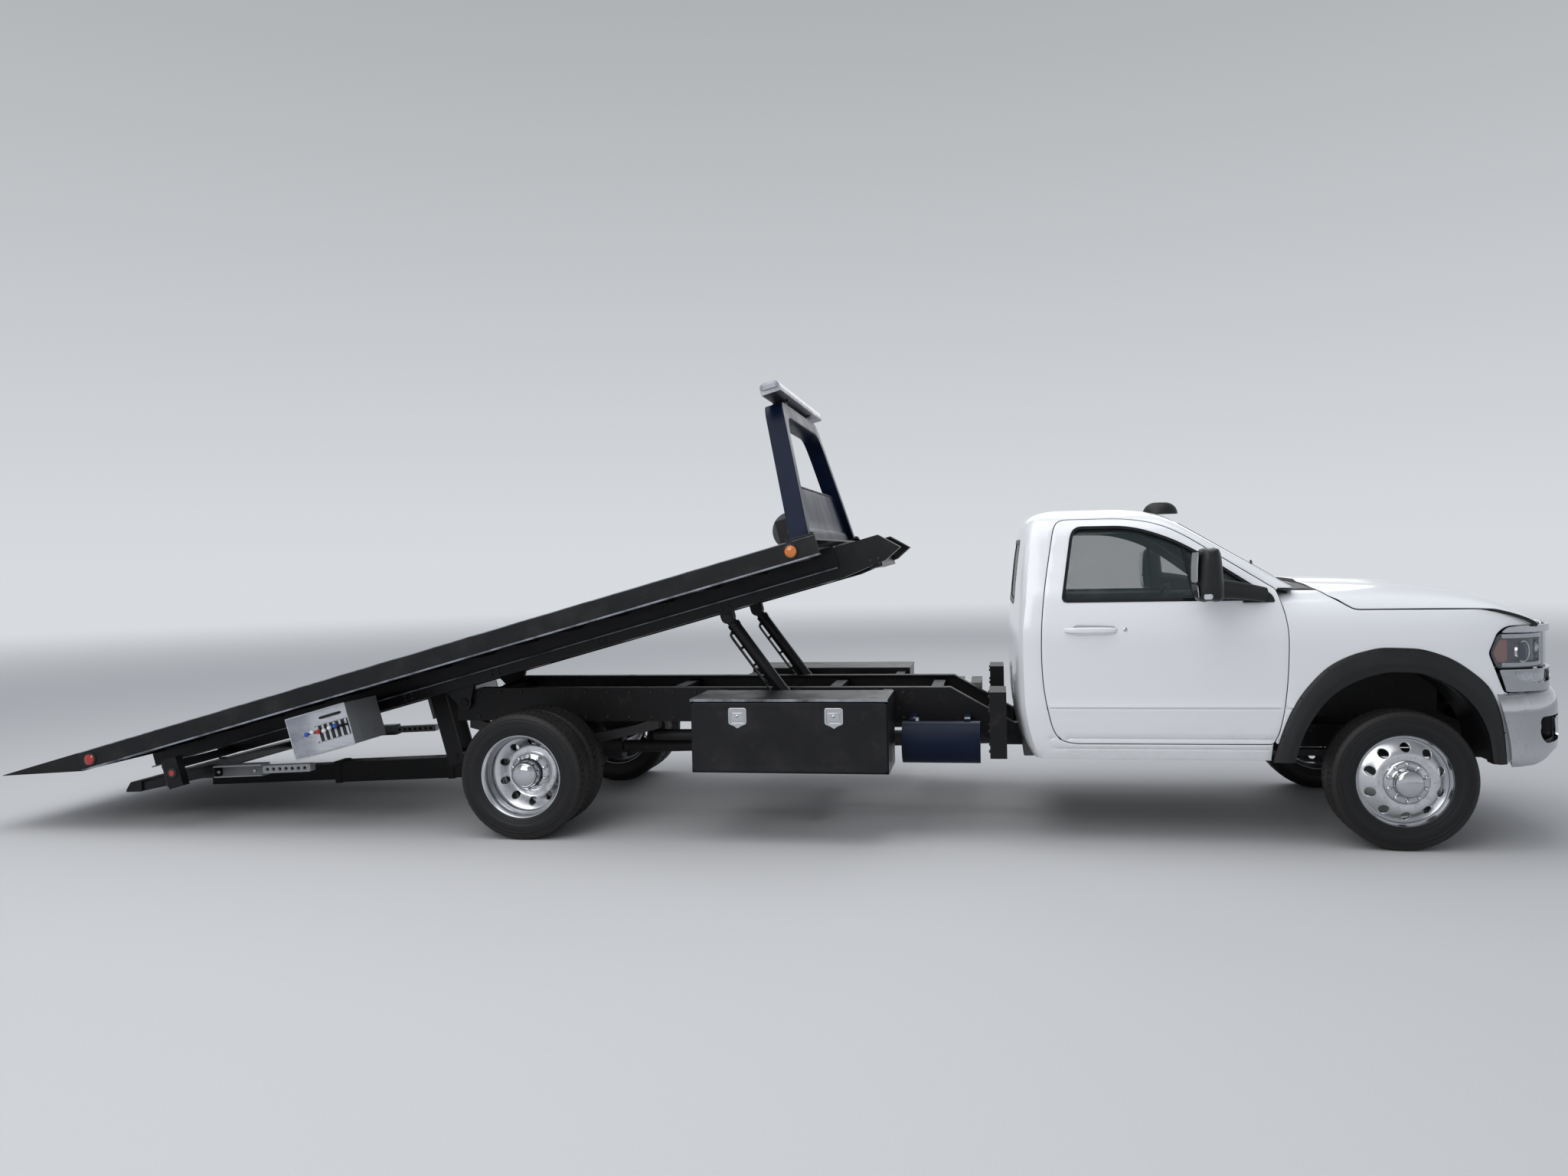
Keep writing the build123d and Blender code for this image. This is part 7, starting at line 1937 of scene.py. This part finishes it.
class TOWTRUCK_OT_wheel_lift(bpy.types.Operator):
    """Wheel lift hardware: perforated bars, wear pads and bolt heads"""
    bl_idname = "towtruck.wheel_lift"
    bl_label = "Wheel lift"

    PIN_U, PIN_W, SLOPE = -0.361, -0.359, radians(2.8)

    def boom(self, u, y, w):
        """Points along, across and square to the boom, from its pin."""
        u, y, w = np.broadcast_arrays(np.asarray(u, float), y, w)
        root = bed(self.PIN_U, 0, self.PIN_W)
        along = np.array([cos(self.SLOPE), 0, sin(self.SLOPE)])
        square = np.array([-sin(self.SLOPE), 0, cos(self.SLOPE)])
        return root + u[..., None] * along + y[..., None] * BED_V + w[..., None] * square

    CROSS_U, ARM_Y, BAR_W = -1.955, 0.9, -0.019
    ARM_SIDE = [(-1.905, -0.019), (-1.905, 0.041), (-1.42, 0.131), (-1.34, 0.131), (-1.34, 0.053),
                (-1.44, 0.053)]

    def execute(self, context):
        beam, sleeve, hardware, hole_shade = Shape(), Shape(), Shape(), Shape()
        cross, low = self.CROSS_U, self.BAR_W
        wedge = rounded([(cross - 0.062, low), (cross + 0.062, low), (cross + 0.062, low + 0.07),
                         (cross - 0.02, low + 0.07), (cross - 0.058, low + 0.016)], 0.006)
        panel(beam, lambda a, b: self.boom(a, 0.96, b), resample(wedge, 0.012), pitch=0.05, wall=1.92,
              roll=0.8, out=-1)
        for side in (1, -1):
            y = side * self.ARM_Y
            side_line = resample(rounded(self.ARM_SIDE, [0.01, 0.02, 0.03, 0.01, 0.01, 0.03]), 0.02)
            panel(beam, lambda a, b: self.boom(a, y + side * 0.045, b), side_line, pitch=0.05, wall=0.09,
                  roll=0.8, out=-side)
            hollow = oblong((-0.041, 0.0005), (0.041, 0.0815), 0.006)
            tube = np.concatenate([oblong((-0.05, 0), (0.05, 0.082), 0.01), hollow[::-1]])
            ends = np.linspace(-1.345, -0.985, 8)
            sheet_grid(sleeve, self.boom(ends[:, None], y + tube[None, :, 0], 0.051 + tube[None, :, 1]),
                       close_columns=True, caps=True)
            bar = resample(oblong((-0.99, 0.066), (-0.635, 0.118), 0.01), 0.012)
            holes = [np.stack([-0.955 + 0.046 * k, 0.092]) + circle(0.0125, 18) for k in range(7)]
            panel(sleeve, lambda a, b: self.boom(a, y + side * 0.03, b), bar, holes, pitch=0.03, wall=0.06,
                  roll=0.5, out=-side)
            # A black slab inside each bar, seen through its holes: painted shade in the hollow bar.
            block(hole_shade, (-0.978, y - 0.01, 0.074), (-0.648, y + 0.01, 0.11), 0.001, self.boom)
            for u in (-1.3, -1.03):
                lathe(hardware, bolt_head(0.012, 0.008, 0.01, 0.01), self.boom(u, y + side * 0.05, 0.092),
                      side, 6)
        beam.build("crossbar_beam", "crossbar", "black_paint", replaces=["crossbar"])
        sleeve.build("lift_sleeves", "crossbar", "grey_paint", crease=38)
        hardware.build("lift_bar_hardware", "crossbar", "bare_steel")
        hole_shade.build("lift_bar_cores", "crossbar", "soot")
        collars = Shape()
        for u in (-0.983, -0.08):
            for y0, y1, w0, w1 in ((-0.0795, 0.0795, -0.0085, -0.004), (-0.0795, 0.0795, -0.166, -0.1615),
                                   (-0.0795, -0.0735, -0.1625, -0.0075), (0.0735, 0.0795, -0.1625, -0.0075)):
                block(collars, (u, y0, w0), (u + 0.05, y1, w1), 0.001, self.boom)
        collars.build("boom_collars", "boom", "chassis_black")
        return {"FINISHED"}


class TOWTRUCK_OT_cab_inside(bpy.types.Operator):
    """Seats, steering wheel and dashboard"""
    bl_idname = "towtruck.cab_inside"
    bl_label = "Cab inside"

    def cushion(self, shape, centre, size, lean, crown=0.35, channels=3):
        """A crowned pad: a superellipse block whose face rises to its middle as a parabola and dips along
        sewn channels, leant back by an angle about Y."""
        a, b = np.meshgrid(np.linspace(-pi / 2, pi / 2, 37), np.linspace(-pi, pi, 73)[:-1], indexing="ij")
        power = lambda value, p: np.sign(value) * np.abs(value)**p
        x = power(np.cos(a), 0.35) * power(np.cos(b), 0.35)
        y = power(np.cos(a), 0.35) * power(np.sin(b), 0.35)
        z = power(np.sin(a), 0.55)
        rise = 1 + crown * (1 - x**2) * (1 - y**2)
        seam = 0.06 * np.sum([np.exp(-((y - s) / 0.05)**2) for s in np.linspace(-0.55, 0.55, channels)], 0)
        z = np.where(z > 0, z * (rise - seam), z)
        flat = join(x * size[0] / 2, y * size[1] / 2, z * size[2] / 2)
        c, s = cos(lean), sin(lean)
        turned = join(flat[..., 0] * c + flat[..., 2] * s, flat[..., 1], -flat[..., 0] * s + flat[..., 2] * c)
        spot = nose(*centre)
        sheet_grid(shape, turned + spot, close_columns=True)

    def execute(self, context):
        for name, y, width in (("driver", 0.4, 0.5), ("middle", 0.0, 0.28), ("passenger", -0.4, 0.5)):
            shape = Shape()
            self.cushion(shape, (-1.56, y, 0.985), (0.54, width, 0.2), radians(-6))
            self.cushion(shape, (-1.86, y, 1.33), (0.56, width, 0.15), radians(72))
            if name != "middle":
                self.cushion(shape, (-1.975, y, 1.69), (0.14, 0.27, 0.1), radians(78), 0.2, 1)
            piece = shape.build(f"seat_{name}", "chassis", "cab_cloth",
                                replaces=["seat"] if name == "driver" else (), crease=60)
        base = Shape()
        for y0, y1 in ((0.16, 0.64), (-0.13, 0.13), (-0.64, -0.16)):
            block(base, (-1.84, y0, 0.7), (-1.33, y1, 0.9), 0.02, nose)
        base.build("seat_bases", "chassis", "cab_trim")
        dash = Shape()
        section = rounded([(-0.652, 1.12), (-0.652, 1.492), (-0.78, 1.474), (-0.905, 1.42), (-0.955, 1.34),
                           (-0.95, 1.235), (-0.905, 1.12)], [0.01, 0.03, 0.08, 0.05, 0.05, 0.05, 0.02], 6)
        y = np.linspace(-0.815, 0.815, 40)
        hood = 0.018 * np.exp(-((y - 0.4) / 0.17)**2)
        across, high = section.T
        place = nose(across, y[:, None], high + hood[:, None] * (high > 1.38))
        sheet_grid(dash, place, close_columns=True, caps=True)
        dash.build("dashboard_moulding", "chassis", "cab_trim", replaces=["dashboard"], crease=45)
        wheel = Shape()
        tilt = radians(24)
        axis = np.array([-cos(tilt), 0, sin(tilt)])
        up = np.array([sin(tilt), 0, cos(tilt)])
        middle_at = nose(-1.15, 0.4, 1.32)
        turn = around(60)
        ring = middle_at + 0.18 * (np.cos(turn)[:, None] * BED_V + np.sin(turn)[:, None] * up)
        sweep(wheel, ring, circle(0.0145, 12), up=axis, closed=True)
        for angle in (0.12, pi - 0.12, -pi / 2):
            end = 0.175 * (cos(angle) * BED_V + sin(angle) * up)
            t = np.linspace(0.25, 1, 8)[:, None]
            sweep(wheel, middle_at - axis * 0.014 + end * t, strip(0.018, -0.006, 0.014, 0.006),
                  up=axis)
        lathe(wheel, [(0.0, 0.02), (0.045, 0.016), (0.062, 0.002), (0.06, -0.024), (0.03, -0.036),
                      (0.029, -0.17), (0, -0.17)],
              middle_at, 1, 32, axis=axis)
        wheel.build("steering_wheel_rim", "chassis", "cab_trim", replaces=["steering_wheel"], crease=50)
        return {"FINISHED"}


class TOWTRUCK_OT_chassis_details(bpy.types.Operator):
    """Tank straps, rail bolts and panel bolts on the chassis"""
    bl_idname = "towtruck.chassis_details"
    bl_label = "Chassis details"

    def execute(self, context):
        bolts = Shape()
        head = bolt_head(0.01, 0.006, 0.008, 0.008)
        for side in (1, -1):
            for x in np.arange(-5.8, -2.7, 0.155):
                for z in (0.67, 0.838):
                    lathe(bolts, head, nose(x, side * 0.43, z), side, 6)
            for x in np.arange(-1.9, 0.75, 0.22):
                lathe(bolts, head, nose(x, side * 0.43, 0.6), side, 6)
            for z in (0.54, 0.66, 0.78, 0.87):
                for y in (0.68, 0.94):
                    lathe(bolts, head, nose(-2.3, side * y, z), -1, 6, axis=(1, 0, 0))
        bolts.build("rail_bolts", "chassis", "cast_iron")
        straps = Shape()
        low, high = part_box("air_tank")
        mid = (low + high) / 2
        radius = (high.z - low.z) / 2
        for x in (low.x + 0.08, high.x - 0.08):
            ring = [(radius, -0.018), (radius + 0.004, -0.017), (radius + 0.004, 0.017), (radius, 0.018)]
            lathe(straps, ring, (x, mid.y, mid.z), 1, 48, closed=True, axis=(1, 0, 0))
        low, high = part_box("fuel_tank")
        for x in (low.x + 0.1, high.x - 0.1):
            for a, b in (((low.y, high.z), (high.y, high.z)), ((high.y, high.z), (high.y, low.z)),
                         ((high.y, low.z), (low.y, low.z))):
                block(straps, (x - 0.025, min(a[0], b[0]) - 0.003, min(a[1], b[1]) - 0.003),
                      (x + 0.025, max(a[0], b[0]) + 0.003, max(a[1], b[1]) + 0.003), 0.001)
        straps.build("tank_straps", "chassis", "bare_steel")
        return {"FINISHED"}


# Stage

CAMERA_PLACE = (-2.266, -8.104, 1.748)      # from the front axle and the ground
CAMERA_YAW, CAMERA_PITCH, CAMERA_ROLL = radians(-10.08), radians(-1.61), radians(-1.22)
FOCAL_PIXELS, FRAME_PIXELS = 1538.5, 2048
FLOOR_RADIUS = 60


class TOWTRUCK_OT_stage(bpy.types.Operator):
    """Pale floor, soft lights and the camera"""
    bl_idname = "towtruck.stage"
    bl_label = "Stage"

    def execute(self, context):
        scene = context.scene
        scene.view_settings.view_transform = "Standard"
        self.floor()
        self.world(scene)
        self.lights()
        self.camera(scene)
        return {"FINISHED"}

    def floor(self):
        """A wide round floor that fades into the backdrop."""
        turn = around(96)
        points = join(FLOOR_RADIUS * np.cos(turn), FLOOR_RADIUS * np.sin(turn), 0)
        mesh = bpy.data.meshes.new("floor")
        mesh.from_pydata(points.tolist(), [], [list(range(len(turn)))])
        f = Finish("floor_pale")
        x, y = f.axis("X"), f.axis("Y")
        away = (x * x + y * y).math("SQRT").band(9, 34)
        speck = f.noise(120, 3, 0.6)
        f.set(Base_Color=f.mix(speck, (0.47, 0.47, 0.475), (0.53, 0.53, 0.535)), Roughness=0.9)
        shades = Socket(f, f.shader.outputs[0]), f.node("ShaderNodeBsdfTransparent")
        f.put(f.nodes["Material Output"].inputs[0], f.node("ShaderNodeMixShader", None, away, *shades))
        mesh.materials.append(f.material)
        floor = bpy.data.objects.new("floor", mesh)
        bpy.context.scene.collection.objects.link(floor)

    def world(self, scene):
        """Soft light from all round, brighter above; the camera, metal and glass see a pale backdrop."""
        world = bpy.data.worlds.new("studio")
        scene.world = world
        tree = Nodes(world)
        height = tree.node("ShaderNodeSeparateXYZ", None,
                           tree.node("ShaderNodeTexCoord", None, output="Generated"), output="Z")

        def ramp(*stops):
            """A colour that goes from stop to stop with height."""
            node = tree.nodes.new("ShaderNodeValToRGB")
            tree.put(node.inputs[0], height)
            for stop, (place, colour) in zip(node.color_ramp.elements, stops):
                stop.position, stop.color = place, (*colour, 1)
            return Socket(tree, node.outputs[0])

        def ray(kind):
            return tree.node("ShaderNodeLightPath", None, output=f"Is {kind} Ray")

        rays = ray("Camera")
        for kind in ("Glossy", "Transmission"):
            rays = tree.node("ShaderNodeMath", {"use_clamp": True}, rays, ray(kind))
        light = ramp((0.0, (0.3, 0.31, 0.33)), (0.8, (0.62, 0.66, 0.72)))
        seen = ramp(*[(place, [shade * tint for tint in (0.95, 0.98, 1.02)])
                      for place, shade in ((0.0, 0.72), (0.6, 0.34))])
        background = tree.nodes["Background"]
        tree.put(background.inputs[0], tree.mix(rays, light, seen))
        background.inputs[1].default_value = 1.0

    def lights(self):
        """Three large soft lamps: over the truck, on the camera's side and behind."""
        for name, place, target, size, power in (
                ("top", (-1.0, -1.5, 10.0), (0, 0, 0.8), 11.0, 640),
                ("near", (-3.5, -11.0, 7.0), (0.5, 0, 1.0), 7.0, 430),
                ("far", (3.0, 11.0, 8.0), (0, 0, 1.0), 9.0, 260)):
            lamp = bpy.data.lights.new(name, "AREA")
            lamp.size, lamp.energy = size, power
            holder = bpy.data.objects.new(name, lamp)
            holder.location = place
            holder.rotation_euler = (Vector(target) - Vector(place)).to_track_quat("-Z", "Y").to_euler()
            bpy.context.scene.collection.objects.link(holder)

    def camera(self, scene):
        """The photograph's view: a direction from yaw and pitch, turned about itself by the roll."""
        yaw, pitch, roll = CAMERA_YAW, CAMERA_PITCH, CAMERA_ROLL
        ahead = Vector((sin(yaw) * cos(pitch), cos(yaw) * cos(pitch), sin(pitch)))
        right = Vector((cos(yaw), -sin(yaw), 0))
        up = right.cross(ahead)
        right, up = cos(roll) * right + sin(roll) * up, cos(roll) * up - sin(roll) * right
        lens = bpy.data.cameras.new("camera")
        lens.sensor_width = 36
        lens.lens = FOCAL_PIXELS / FRAME_PIXELS * 36
        lens.clip_end = 200
        camera = bpy.data.objects.new("camera", lens)
        turn = Matrix((right, up, -ahead)).transposed().to_4x4()
        camera.matrix_world = Matrix.Translation((CAMERA_PLACE[0] + AXLE_X, *CAMERA_PLACE[1:])) @ turn
        scene.collection.objects.link(camera)
        scene.camera = camera


# Finishes of the CAD nodes that show as they are
NODE_FINISHES = {
    "chassis_black": ["chassis_frame", "front_frame", "lift_boom", "stinger", "tail_bar", "splash_panels"],
    "black_paint": ["tilt_frame", "bed_deck", "slide_barrel", "lift_barrels", "winch_frame", "toolboxes"],
    "cast_iron": ["front_axle", "springs", "rear_axle", "engine_block", "driveline", "knuckle_left",
                  "knuckle_right", "exhaust"],
    # the air tank is black with a painted blue reflection of the sky
    "moulded_black": ["fuel_tank", "tail_lamps"], "dark_blue": ["air_tank"],
    "bare_steel": ["slide_rod", "lift_rods"], "wire_rope": ["winch_drum"],
}


class TOWTRUCK_OT_node_finishes(bpy.types.Operator):
    """Materials for the CAD nodes that show as they are"""
    bl_idname = "towtruck.node_finishes"
    bl_label = "Frame finishes"

    def execute(self, context):
        for name, nodes in NODE_FINISHES.items():
            for node in nodes:
                materials = frame["nodes"][node].data.materials
                materials.clear()
                materials.append(finish(name))
        return {"FINISHED"}


class ColourSettings(bpy.types.PropertyGroup):
    """Colours that a user would change."""
    body: bpy.props.FloatVectorProperty(name="Body", description="Paint of the cab, hood and fenders", size=3,
                                        subtype="COLOR", default=(0.8, 0.81, 0.83), min=0, max=1)
    frame: bpy.props.FloatVectorProperty(name="Frame", description="Paint of the bed and tilting frame",
                                         size=3, subtype="COLOR", default=(0.008, 0.008, 0.01), min=0, max=1)


class TOWTRUCK_PT_panel(bpy.types.Panel):
    """Settings and steps of the tow truck"""
    bl_label = "Tow Truck"
    bl_idname = "TOWTRUCK_PT_panel"
    bl_space_type = "VIEW_3D"
    bl_region_type = "UI"
    bl_category = "Tow Truck"

    def draw(self, context):
        for setting in ("body", "frame"):
            self.layout.prop(context.scene.tow_truck_colours, setting)
        for step in STEPS:
            self.layout.operator(step.bl_idname)


STEPS = (TOWTRUCK_OT_stage, TOWTRUCK_OT_node_finishes, TOWTRUCK_OT_cab, TOWTRUCK_OT_doors, TOWTRUCK_OT_hood,
         TOWTRUCK_OT_fenders, TOWTRUCK_OT_wheels, TOWTRUCK_OT_grille, TOWTRUCK_OT_headlamps,
         TOWTRUCK_OT_bumper, TOWTRUCK_OT_mirrors, TOWTRUCK_OT_toolboxes, TOWTRUCK_OT_controls,
         TOWTRUCK_OT_pylon, TOWTRUCK_OT_bed_details, TOWTRUCK_OT_cylinders, TOWTRUCK_OT_wheel_lift,
         TOWTRUCK_OT_cab_inside, TOWTRUCK_OT_chassis_details)
CLASSES = (ColourSettings, *STEPS, TOWTRUCK_PT_panel)


def register():
    """Registers the settings, operators and panel."""
    for kind in CLASSES:
        bpy.utils.register_class(kind)
    bpy.types.Scene.tow_truck_colours = bpy.props.PointerProperty(type=ColourSettings)


def unregister():
    """Removes what register added."""
    del bpy.types.Scene.tow_truck_colours
    for kind in reversed(CLASSES):
        bpy.utils.unregister_class(kind)


def main():
    """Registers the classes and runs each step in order."""
    register()
    for step in STEPS:
        group, name = step.bl_idname.split(".")
        getattr(getattr(bpy.ops, group), name)()


if __name__ == "__main__":
    main()
